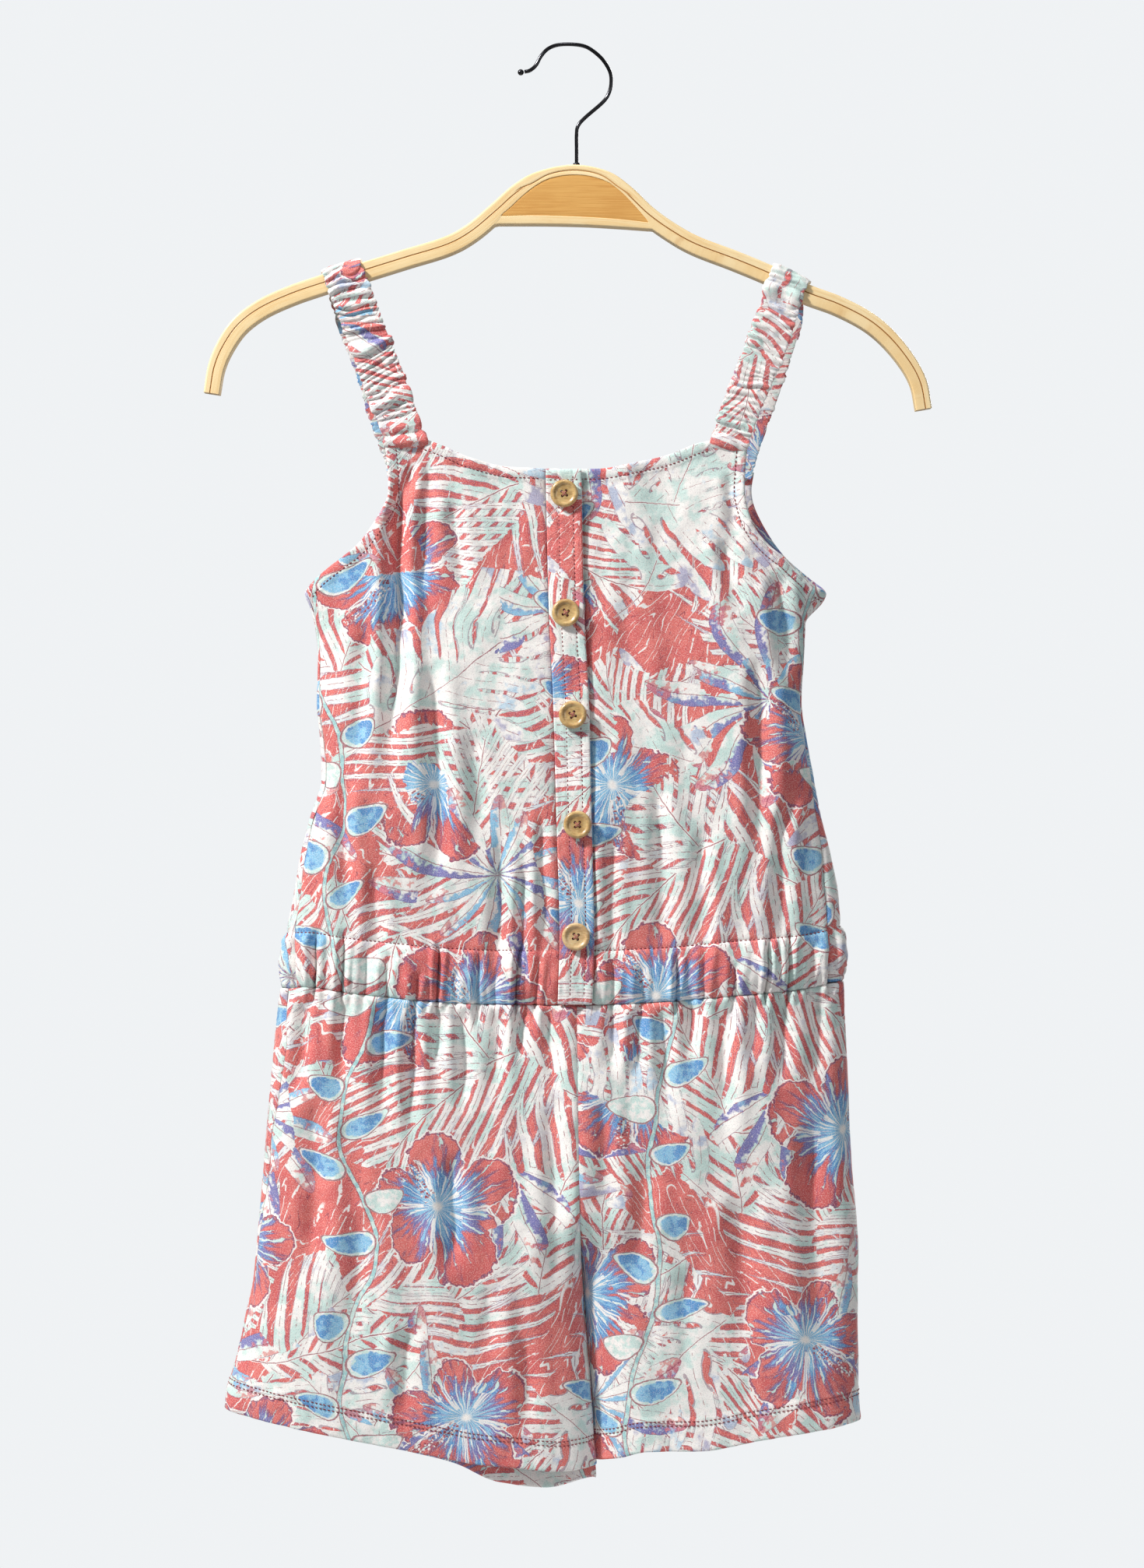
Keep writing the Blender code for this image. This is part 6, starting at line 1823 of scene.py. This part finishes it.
def build_strap_cloth(side, front_rows, back_rows, top, seed, shift, mat, thread):
    """A narrow tube of jersey drawn up on elastic: puffs with sharp valleys
    between them across the band, its edges scalloped by them."""
    x0, z0, tilt0, width0 = top
    up = np.array([-math.sin(math.radians(tilt0)), math.cos(math.radians(tilt0))])
    reach, rise, round_by = HANGER_DEPTH / 2 + 0.3 + 1.1, 0.3 + 1.1, 3.4
    arc = [(-reach + round_by * (1 - math.cos(a)), rise - round_by + round_by * math.sin(a))
           for a in np.radians((0, 22, 45, 67, 90))]
    over = arc + [(0.0, rise)] + [(-y, h) for y, h in arc[::-1]]
    rows = [tuple(front_rows[c][i] for c in ("x", "z", "tilt", "width", "y"))
            for i in range(len(front_rows["x"]) - 1, -1, -1)]
    low = np.array(rows[0])
    step = (np.array(rows[1]) - low)[:2] / np.linalg.norm((np.array(rows[1]) - low)[:2])
    rows.insert(0, (low[0] - step[0] * 6.0, low[1] - step[1] * 6.0, low[2], low[3] - 0.8, low[4] + 2.0))
    for y, h in over:
        c = np.array([x0, z0]) + up * h
        rows.append((c[0], c[1], tilt0, width0, y))
    rows += [tuple(back_rows[c][i] for c in ("x", "z", "tilt", "width", "y")) for i in range(len(back_rows["x"]))]
    low = np.array(rows[-1])
    step = (np.array(rows[-2]) - low)[:2] / np.linalg.norm((np.array(rows[-2]) - low)[:2])
    rows.append((low[0] - step[0] * 6.0, low[1] - step[1] * 6.0, low[2], low[3] - 0.8, low[4] - 2.0))
    path = smooth_path(rows, 10)
    place = path[:, [0, 4, 1]]
    run = np.concatenate([[0], np.cumsum(np.linalg.norm(np.diff(place, axis=0), axis=1))])
    s = np.arange(0, run[-1], 0.55)
    x, z, tilt, width, y = (np.interp(s, run, path[:, i]) for i in range(5))
    centre = np.stack([x, y, z], axis=1)
    along = np.gradient(centre, axis=0)
    along = np.stack([np.convolve(np.pad(along[:, i], 4, mode="edge"), np.ones(9) / 9, mode="valid") for i in range(3)], axis=1)
    along /= np.linalg.norm(along, axis=1)[:, None]
    u = np.stack([np.cos(np.radians(tilt)), np.zeros(len(s)), np.sin(np.radians(tilt))], axis=1)
    n = np.cross(u, along)
    n /= np.linalg.norm(n, axis=1)[:, None]

    # widths of the puffs, one after another along the band
    marks, k = [0.0], 0
    while marks[-1] < run[-1] + 20:
        r = float(corner(np.array(k), np.array(seed), 91))
        marks.append(marks[-1] + 2.5 + 3.9 * r * r + (3.6 if r > 0.88 else 0.0))
        k += 1
    marks = np.array(marks)
    total = len(s)
    smooth_end = smooth(s / 5.0) * smooth((run[-1] - s) / 5.0)
    t_out = np.sin(np.linspace(-math.pi / 2, math.pi / 2, 27))
    columns = np.concatenate([t_out, t_out[-2:0:-1]])
    facing = np.concatenate([np.ones(27), -np.ones(25)])
    t, ss = np.meshgrid(columns, s)
    face = np.broadcast_to(facing, t.shape)
    warp = ss + 1.9 * noise(t * 1.2 + 0.4 * face, ss / 9, seed) + 3.0 * t * noise(ss / 19, face * 2.0, seed + 1) + 0.5 * face
    index = np.clip(np.searchsorted(marks, warp) - 1, 0, len(marks) - 2)
    span = marks[index + 1] - marks[index]
    f = (warp - marks[index]) / span
    puff = np.clip(1 - np.abs(2 * f - 1) ** 2.4, 0, 1)
    strength = 0.45 + 0.55 * corner(index, np.full(index.shape, seed), 93)
    strength = strength * (0.65 + 0.35 * noise(t * 1.6, index * 3.7, seed + 5))
    fold = puff * strength * np.clip(span / 4.5, 0.5, 1.25)
    fine = 0.16 * noise(t * 5 + ss / 3.1, ss / 2.1, seed + 7) + 0.12 * noise(t * 3, ss / 1.1, seed + 9)
    body = np.sqrt(np.clip(1 - np.abs(t) ** 3.2, 0, 1))
    thin = 0.32 + 0.68 * smooth_end[:, None]
    outer = (0.45 + 0.70 * body + (3.5 * fold + 1.3 * fine - 1.1) * (0.5 + 0.5 * body)) * thin
    inner = (0.50 + 0.50 * body + (0.35 * fold) * body) * thin
    height = np.where(face > 0, outer, -inner) * np.where(np.abs(t) > 0.9999, 0.0, 1.0)
    scallop = 1 + (0.22 * fold - 0.095 + 0.01 * noise(ss / 2.2, t * 2, seed + 3)) * smooth_end[:, None]
    points = (centre[:, None, :] + u[:, None, :] * (width[:, None] / 2 * t * scallop)[..., None]
              + n[:, None, :] * height[..., None])
    across = len(columns)
    points = points.reshape(-1, 3)
    faces = []
    for i in range(total - 1):
        for j in range(across):
            b = (j + 1) % across
            faces.append((i * across + j, i * across + b, (i + 1) * across + b, (i + 1) * across + j))
    faces.append(tuple(range(across - 1, -1, -1)))
    faces.append(tuple((total - 1) * across + j for j in range(across)))
    around = np.concatenate([t_out, 2 - t_out[-2:0:-1]]) * 12.0
    uv = np.stack([np.broadcast_to(around, t.shape) + shift[0], ss * 1.45 + shift[1]], axis=2).reshape(-1, 2)
    item = solid("cloth_strap_%s" % side, points, faces, mat, uv, "print", {"wrong": np.zeros(len(points))})
    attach(item, "root")
    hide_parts("strap_%s" % side)
    return item


def build_buttons(grid, out, us, zs, thread_mat):
    """Turned horn buttons with four holes, sewn on with crossed threads."""
    dark = horn_material("horn", hue(216, 184, 126), hue(180, 142, 88))
    pale = horn_material("horn_pale", hue(226, 196, 148), hue(196, 158, 108))
    profile = ((0.0, 2.05), (3.6, 2.05), (4.7, 2.12), (5.3, 2.38), (5.8, 2.78), (6.3, 3.0), (6.85, 2.98), (7.4, 2.7),
               (7.85, 2.1), (8.0, 1.4), (7.75, 0.7), (7.2, 0.3), (6.2, 0.0), (0.0, 0.0))
    left, right = curve(PLACKET["z"], PLACKET["left"]), curve(PLACKET["z"], PLACKET["right"])
    threads, painted_shade_hole_threads = [], []
    for number, (x, z) in enumerate(zip(BUTTONS["x"], BUTTONS["z"]), 1):
        level = int(np.argmin(np.abs(zs - z)))
        u = (x - float(left(z))) / float(right(z) - left(z))
        column = int(np.argmin(np.abs(us - u)))
        near = grid[max(level - 9, 0):level + 10, max(column - 9, 0):column + 10].reshape(-1, 3)
        face_y = near[:, 1].min()
        p = np.array([x, face_y - 0.25, z])
        tilt = -math.radians(1.5) + math.radians(2.2) * float(corner(np.array(number), np.array(7), 5))
        mesh = bpy.data.meshes.new("button_%d" % number)
        bm = bmesh.new()
        turned = [bm.verts.new((r / 1000, 0, h / 1000)) for r, h in profile]
        edges = [bm.edges.new(pair) for pair in zip(turned, turned[1:])]
        bmesh.ops.spin(bm, geom=turned + edges, cent=(0, 0, 0), axis=(0, 0, 1), angle=math.tau, steps=56, use_merge=True)
        bmesh.ops.remove_doubles(bm, verts=bm.verts, dist=1e-6)
        bmesh.ops.recalc_face_normals(bm, faces=bm.faces)
        bm.to_mesh(mesh)
        bm.free()
        item = bpy.data.objects.new("horn_button_%d" % number, mesh)
        bpy.context.scene.collection.objects.link(item)
        spin = math.radians((8, -14, 20, 3, -9)[number - 1])
        place = Matrix.Translation(Vector(p) / 1000) @ Matrix.Rotation(math.radians(90) + tilt, 4, "X") @ Matrix.Rotation(spin, 4, "Z")
        drill = bpy.data.meshes.new("drill")
        bm = bmesh.new()
        holes = [(1.85 * math.cos(a), 1.85 * math.sin(a)) for a in (math.radians(45 + 90 * k) for k in range(4))]
        for hx, hy in holes:
            made = bmesh.ops.create_cone(bm, cap_ends=True, segments=20, radius1=0.00082, radius2=0.00082, depth=0.009)
            bmesh.ops.translate(bm, verts=made["verts"], vec=(hx / 1000, hy / 1000, 0))
        bm.to_mesh(drill)
        bm.free()
        cutter = bpy.data.objects.new("drill", drill)
        bpy.context.scene.collection.objects.link(cutter)
        cut = item.modifiers.new("holes", "BOOLEAN")
        cut.operation, cut.solver, cut.object = "DIFFERENCE", "EXACT", cutter
        bpy.context.view_layer.update()
        made = bpy.data.meshes.new_from_object(item.evaluated_get(bpy.context.evaluated_depsgraph_get()))
        item.modifiers.clear()
        item.data = made
        bpy.data.objects.remove(cutter)
        made.transform(place)
        made.materials.clear()
        made.materials.append(pale if number == 5 else dark)
        made.shade_smooth()
        made.set_sharp_from_angle(angle=math.radians(48))
        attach(item, "root")
        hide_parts("button_%d" % number)
        # painted shade: the thread down each hole is coloured near black to stand for the shade inside the hole
        for hx, hy in holes:        # the thread going down each hole, in shade
            line = np.array([tuple(place @ Vector((hx / 1000, hy / 1000, h / 1000))) for h in (0.2, 0.6, 1.0, 1.45)]) * 1000
            painted_shade_hole_threads.append(sweep(line, np.array([0.74, 0.76, 0.76, 0.7]), 12))
        for a, b in ((0, 2), (1, 3)):
            start, end = np.array(holes[a]), np.array(holes[b])
            side = np.array([-(end - start)[1], (end - start)[0]])
            side /= np.linalg.norm(side)
            for off in (-0.17, 0.15):
                f = np.linspace(0, 1, 15)
                flat = start[None] * (1 - f[:, None]) + end[None] * f[:, None] + side[None] * off
                high = 2.05 + 0.36 * np.sin(math.pi * f) ** 0.5 - 1.1 * (np.abs(2 * f - 1) ** 9) + 0.13 * (a == 1)
                line = np.stack([flat[:, 0], flat[:, 1], high], axis=1)
                line = np.array([tuple(place @ Vector(v / 1000)) for v in line]) * 1000
                threads.append(sweep(line, np.full(15, 0.17), 8))
    points, faces = joined(threads)
    sewn = solid("button_threads", points, faces, thread_mat)
    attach(sewn, "root")
    # painted shade: these thread ends are near black so that the four holes read as shaded
    points, faces = joined(painted_shade_hole_threads)
    ends = solid("button_thread_ends", points, faces, thread_material("hole_thread_painted_shade", hue(92, 40, 38), hue(58, 24, 24)))
    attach(ends, "root")
    # one loose end hangs beside the top button
    x, z = BUTTONS["x"][0], BUTTONS["z"][0]
    y = grid[:40, :, 1].min() - 0.4
    line = smooth_path([(x + 6.6, y + 0.3, z - 0.4), (x + 8.4, y - 0.5, z - 1.1), (x + 10.2, y - 0.7, z - 1.5), (x + 12.0, y - 0.4, z - 1.0),
                        (x + 13.6, y - 0.1, z + 0.6)], 8)
    points, faces = sweep(line, np.linspace(0.26, 0.2, len(line)), 8)
    tail = solid("thread_tail", points, faces, thread_material("grey_thread", hue(112, 124, 150), hue(72, 82, 108)))
    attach(tail, "root")


def square_off(x, z, distance):
    """The line a given distance below another, measured square to it."""
    p = np.stack([x, z], axis=1)
    t = np.gradient(p, axis=0)
    t /= np.linalg.norm(t, axis=1)[:, None]
    return p + np.stack([t[:, 1], -t[:, 0]], axis=1) * np.asarray(distance)[:, None]


def strip(line_top, line_low, ease_top, ease_low, groove_at, groove_by, joint_top, joint_low, half):
    """A bent wooden strip with eased edges, an engraved line, and its darker
    joints, swept between two matching lines."""
    line_top, line_low = np.asarray(line_top), np.asarray(line_low)
    count = len(line_top)
    thick = np.linalg.norm(line_low - line_top, axis=1)
    down = (line_low - line_top) / thick[:, None]
    ease_low = np.minimum(np.broadcast_to(np.asarray(ease_low, float), (count,)), thick * 0.3)
    joint_top, joint_low = (np.broadcast_to(np.asarray(v, float), (count,)) for v in (joint_top, joint_low))
    eases, firsts = ease_low, np.broadcast_to(np.asarray(ease_top, float), (count,))
    verts, shade, uv = [], [], []
    run = np.concatenate([[0], np.cumsum(np.linalg.norm(np.diff(line_top, axis=0), axis=1))])
    around = None
    for i in range(count):
        ease_low, first = eases[i], min(firsts[i], 0.3 * thick[i])
        lead, tail = np.array([0.0, 0.08, 0.25, 0.5, 0.75, 1.0]) * first, np.array([1.0, 0.7, 0.4, 0.15, 0.0]) * ease_low
        fine = min(1.0, (thick[i] - first - ease_low) / 2.6)
        g = np.clip(groove_at[i], first + 0.7 * fine, thick[i] - ease_low - 0.2 * fine)
        middle = np.concatenate([np.linspace(first, g - 0.62 * fine, 4)[1:],
                                 np.minimum(g + fine * np.array([-0.4, -0.22, -0.08, 0.08, 0.22, 0.4, 0.62]),
                                            thick[i] - ease_low - fine * np.array([0.63, 0.45, 0.3, 0.12, 0.09, 0.06, 0.03]))])
        d = np.concatenate([lead, middle, thick[i] - tail])
        a, b = np.clip((first - d) / first, 0, 1), np.clip((ease_low - (thick[i] - d)) / ease_low, 0, 1)
        sink = first * (1 - np.sqrt(1 - a * a)) + ease_low * (1 - np.sqrt(1 - b * b))
        cut = bell((d - g) / 0.30) * groove_by[i]
        sink = sink + 0.4 * cut
        dark = np.clip(cut * 1.25, 0, 1)
        dark = np.maximum(dark, joint_low[i] * smooth((d - thick[i] + 0.5) / 0.4))
        dark = np.maximum(dark, joint_top[i] * smooth((0.5 - d) / 0.4))
        inside = np.linspace(-1, 1, 7)[1:-1]
        top_y, low_y = (half - sink[0]), (half - sink[-1])
        ring_d = np.concatenate([d, np.full(5, thick[i]), d[::-1], np.zeros(5)])
        ring_y = np.concatenate([-(half - sink), inside * low_y, (half - sink)[::-1], -inside * top_y])
        ring_s = np.concatenate([dark, np.full(5, dark[-1] * 0.6), dark[::-1], np.full(5, dark[0] * 0.6)])
        p = line_top[i] + down[i] * ring_d[:, None]
        verts.append(np.stack([p[:, 0], ring_y, p[:, 1]], axis=1))
        shade.append(ring_s)
        if around is None:
            step = np.hypot(np.diff(ring_d, append=ring_d[0]), np.diff(ring_y, append=ring_y[0]))
            around = np.concatenate([[0], np.cumsum(step)])[:-1]
        uv.append(np.stack([np.full(len(ring_d), run[i]), around], axis=1))
    size = len(verts[0])
    faces = []
    for i in range(count - 1):
        for j in range(size):
            b = (j + 1) % size
            faces.append((i * size + j, i * size + b, (i + 1) * size + b, (i + 1) * size + j))
    faces.append(tuple(range(size - 1, -1, -1)))
    faces.append(tuple((count - 1) * size + j for j in range(size)))
    return np.concatenate(verts), faces, np.concatenate(uv), np.concatenate(shade)


def wooden(name, strips, mat):
    """One piece of wood made of one or more strips."""
    points, faces = joined([(s[0], s[1]) for s in strips])
    return solid(name, points, faces, mat, np.concatenate([s[2] for s in strips]), "grain",
                 {"shade": np.concatenate([s[3] for s in strips])}, 50)


def build_hanger():
    light = wood_material("light_wood", hue(253, 229, 180), hue(246, 212, 154), hue(196, 138, 72))
    light_low = wood_material("light_wood_low", hue(252, 226, 175), hue(244, 208, 148), hue(196, 138, 72))
    brown = wood_material("panel_wood", hue(230, 176, 98), hue(214, 154, 78), hue(190, 130, 60))
    line = resample(smooth_path(list(zip(*BOW.values())), 12), 1.5)
    x, z, thick_up, thick_low = line.T
    top = np.stack([x, z], axis=1)
    low = square_off(x, z, thick_up)
    half = HANGER_DEPTH / 2
    away = np.abs(x + 1.0)
    lower = square_off(x, z, thick_up + 0.3 + thick_low)
    # the bow is glued up of two layers: the engraved line over the panel runs
    # on as the joint between them along the arms
    rim = resample(smooth_path(list(zip(*PANEL_TOP.values())), 8), 0.4)
    over, _ = nearest(top, rim)
    k = smooth((away - 19) / 15)
    thick_up = over * (1 - k) + np.minimum(4.7, thick_up) * k
    engraved = 1 - smooth((away - 33) / 5)
    flush = smooth((away - 30) / 6)
    low = square_off(x, z, thick_up)
    m = smooth((away - 12) / 22)
    groove_at = 3.45 * (1 - m) + thick_up * m
    upper_item = wooden("wood_upper_strip", [strip(top, low, 1.1, 0.06 + 0.36 * flush, groove_at, engraved, 0.0, smooth((away - 31) / 4), half)], light)
    upper = square_off(x, z, thick_up + 0.03 + 0.09 * flush)
    edge = np.stack([PANEL_TOP["x"], PANEL_TOP["z"]], axis=1)
    close, _ = nearest(upper, rim)
    pieces = []
    for hand in (-1, 1):
        corner_x = abs(edge[0 if hand < 0 else -1][0])
        side = (x * hand > 21.5)
        k = smooth((x * hand - corner_x - 4.2) / 4.5)
        down = (lower - upper) / np.linalg.norm(lower - upper, axis=1)[:, None]
        deep = np.linalg.norm(lower - upper, axis=1) * k + np.maximum(close, 0.12) * (1 - k)
        pieces.append(strip(upper[side], (upper + down * deep[:, None])[side], (0.06 + 0.39 * flush)[side], 0.3 + 0.5 * k[side],
                            np.full(side.sum(), 2.0), np.zeros(side.sum()), flush[side], 0.0, half))
    bar_x = np.linspace(-48.6, 46.2, 80)
    bar_top = np.stack([bar_x, curve(BAR["x"], BAR["top"])(bar_x) - 0.35 * np.maximum(np.abs(bar_x + 1) - 43, 0)], axis=1)
    bar_low = np.stack([bar_x, curve(BAR["x"], BAR["bottom"])(bar_x) - 0.22 * np.maximum(np.abs(bar_x + 1) - 44, 0)], axis=1)
    pieces.append(strip(bar_top, bar_low, 0.3, 0.75, np.full(80, 2.0), np.zeros(80), 0.0, 0.0, half - 0.07))
    lower_item = wooden("wood_lower_strip", pieces, light_low)

    arch, bar = curve(PANEL_TOP["x"], PANEL_TOP["z"]), curve(BAR["x"], BAR["top"] + 0.04)
    xs = np.linspace(PANEL_TOP["x"][0] + 0.2, PANEL_TOP["x"][-1] - 0.2, 170)
    low_edge = np.array([(v, float(bar(v)) - 0.3) for v in xs])
    high_edge = np.array([(v, float(max(arch(v) + 0.3, bar(v) + 0.05))) for v in xs])
    rows = 15
    f = np.linspace(0, 1, rows)
    flat = low_edge[None] * (1 - f[:, None, None]) + high_edge[None] * f[:, None, None]
    half = (HANGER_DEPTH - 0.36) / 2
    ease = 0.25 * np.clip(1 - np.minimum(np.minimum(f, 1 - f)[:, None] * (high_edge - low_edge)[None, :, 1], 0.8) / 0.8, 0, 1)
    front = np.stack([flat[..., 0], -(half - ease), flat[..., 1]], axis=2).reshape(-1, 3)
    back = np.stack([flat[..., 0], half - ease, flat[..., 1]], axis=2).reshape(-1, 3)
    size, count = len(xs), rows * len(xs)
    faces = []
    for i in range(rows - 1):
        for j in range(size - 1):
            a = i * size + j
            faces.append((a, a + 1, a + size + 1, a + size))
            faces.append((a + count, a + size + count, a + size + 1 + count, a + 1 + count))
    rim = list(range(size)) + [i * size + size - 1 for i in range(1, rows)] + \
        [(rows - 1) * size + j for j in range(size - 2, -1, -1)] + [i * size for i in range(rows - 2, 0, -1)]
    for a, b in zip(rim, rim[1:] + rim[:1]):
        faces.append((b, a, a + count, b + count))
    points = np.concatenate([front, back])
    panel = solid("wood_panel", points, faces, brown, points[:, [0, 2]], "grain", {"shade": np.zeros(len(points))}, 40)

    wire = wire_material()
    path = resample(smooth_path(list(zip(HOOK["x"], HOOK["z"])), 14), 0.7)
    path = np.stack([path[:, 0], np.zeros(len(path)), path[:, 1]], axis=1)
    points, faces = sweep(path, np.full(len(path), WIRE_RADIUS - 0.25), 28)
    hook = solid("wire_hook", points, faces, wire, sharp=60)
    points, faces = sweep([(-32.3 + 1.8 * math.sin(a), 0, -14.8) for a in np.linspace(-1.5, 1.5, 17)],
                          [1.8 * math.cos(a) for a in np.linspace(-1.5, 1.5, 17)], 28)
    ball = solid("wire_tip", points, faces, wire)
    profile = ((1.1, -0.8), (1.1, 1.15), (1.35, 1.2), (1.7, 1.05), (1.95, 0.8), (2.1, 0.4), (2.1, -0.8))
    verts, faces = [], []
    sides = 40
    for a in range(sides):
        c, s = math.cos(a * math.tau / sides), math.sin(a * math.tau / sides)
        verts += [(r * c, r * s, h - 68.3) for r, h in profile]
    for a in range(sides):
        b = (a + 1) % sides
        for j in range(len(profile)):
            k = (j + 1) % len(profile)
            faces.append((a * 7 + j, a * 7 + k, b * 7 + k, b * 7 + j))
    collar = solid("wire_collar", np.array(verts), faces, wire, sharp=50)
    for item, node, slot in ((upper_item, "hanger_upper_strip", "light_wood"), (lower_item, "hanger_lower_strip", "light_wood"),
                             (panel, "hanger_panel", "panel_wood"), (hook, "hook", "hook_wire"),
                             (ball, "hook_tip", "hook_wire"), (collar, "hook_collar", "hook_wire")):
        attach(item, "root")
        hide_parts(node)


# ------------------------------------------------------------------------ scene

def build_cloth():
    print_tree = print_group()
    cloth = cloth_material("printed_jersey", print_tree)
    # partly painted shade: the topstitch thread is coloured darker than its own coral-maroon, standing in for the shade
    # in the stitch holes
    thread = thread_material("coral_thread_partly_painted_shade", hue(142, 46, 54), hue(108, 34, 46))
    right, left, back = bodice_panels()
    panels = [(right, 0.02, (0, 0)), (left, -0.015, (37, 21)), (back, 0.01, (140, 60))]
    for side, turn, shift in (("right", 0.03, (52, 140)), ("left", -0.02, (171, 96))):
        panels.append((leg_panel(side, -1), turn, shift))
        panels.append((leg_panel(side, 1), -turn, (shift[0] + 70, shift[1] + 45)))
    for panel, turn, shift in panels:
        item = build_panel(panel, turn, shift, cloth)
        sewn = stitches("stitches_" + panel.name, seam_rows(panel, item), thread)
        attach(sewn, "root")
        declare(item, panel.name, panel.ring)
    front = right.tube
    placket, sewn, grid, out, us, zs = build_placket(front, left, cloth, thread)
    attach(sewn, "root")
    declare(placket, "placket", np.array([(0, -244.9), (20.7, -244.9), (20.7, -552.4), (0, -552.4)]))
    return cloth, thread, grid, out, us, zs


def build_stage():
    floor = bpy.data.meshes.new("floor")
    bm = bmesh.new()
    bmesh.ops.create_circle(bm, cap_ends=True, segments=96, radius=0.74)
    bmesh.ops.translate(bm, verts=bm.verts, vec=(0, 0, -1.02))
    bm.to_mesh(floor)
    bm.free()
    mat, t, shader = principled("pale_floor")
    geo = t.node("ShaderNodeTexCoord")
    cloud = t.noise(t.wrap(geo.outputs["Object"]), 3.0, 3.0, 0.5, dims="3D")
    t.put(shader.inputs["Base Color"], t.mix(cloud, (0.52, 0.53, 0.54), (0.57, 0.58, 0.59)))
    shader.inputs["Roughness"].default_value = 0.8
    add("floor", floor, mat)

    world = bpy.data.worlds.new("studio")
    world.use_nodes = True
    t = Tree(world.node_tree)
    ground = world.node_tree.nodes["Background"]
    ground.inputs["Color"].default_value = (0.95, 0.97, 1.0, 1.0)
    ground.inputs["Strength"].default_value = 0.21
    seen = t.node("ShaderNodeBackground")
    seen.inputs["Color"].default_value = (0.868, 0.888, 0.905, 1.0)
    seen.inputs["Strength"].default_value = 1.0
    path, mixer = t.node("ShaderNodeLightPath"), t.node("ShaderNodeMixShader")
    t.tree.links.new(path.outputs["Is Camera Ray"], mixer.inputs[0])
    t.tree.links.new(ground.outputs[0], mixer.inputs[1])
    t.tree.links.new(seen.outputs[0], mixer.inputs[2])
    t.tree.links.new(mixer.outputs[0], t.tree.nodes["World Output"].inputs["Surface"])
    bpy.context.scene.world = world

    middle = Vector((0, 0, -0.43))
    for name, place, size, power, tint in (
            ("key", (-1.8, -1.08, 1.35), 0.36, 97, (1.0, 0.985, 0.965)),
            ("fill", (1.4, -2.6, -0.1), 1.4, 9, (0.95, 0.97, 1.0)),
            ("top", (-0.1, -0.5, 1.9), 0.5, 12, (1.0, 1.0, 1.0)),
            ("rear", (1.2, 2.2, 0.6), 1.2, 44, (1.0, 0.99, 0.97))):
        lamp = bpy.data.lights.new(name, "AREA")
        lamp.shape, lamp.size, lamp.energy, lamp.color = "DISK", size, power, tint
        item = bpy.data.objects.new(name, lamp)
        item.location = place
        item.rotation_euler = (middle - Vector(place)).to_track_quat("-Z", "Y").to_euler()
        bpy.context.scene.collection.objects.link(item)

    cam = bpy.data.cameras.new("camera")
    cam.lens, cam.sensor_width, cam.sensor_fit = 100.0, 36.0, "AUTO"
    cam.clip_start, cam.clip_end = 0.05, 50.0
    item = bpy.data.objects.new("camera", cam)
    item.location = (-0.0027, -2.5175, -0.42615)
    item.rotation_euler = (math.radians(90), 0, 0)
    bpy.context.scene.collection.objects.link(item)
    bpy.context.scene.camera = item
    bpy.context.scene.view_settings.view_transform = "Standard"


build_stage()
cloth, thread, grid, out, us, zs = build_cloth()
tops = list(zip(*STRAP_TOPS.values()))
build_strap_cloth("right", STRAP_RIGHT_FRONT, STRAP_RIGHT_BACK, tops[0], 3, (-212.0, -106.0), cloth, thread)
build_strap_cloth("left", STRAP_LEFT_FRONT, STRAP_LEFT_BACK, tops[1], 5, (-52.0, -250.0), cloth, thread)
build_buttons(grid, out, us, zs, thread_material("button_thread", hue(206, 134, 114), hue(158, 84, 74)))
build_hanger()
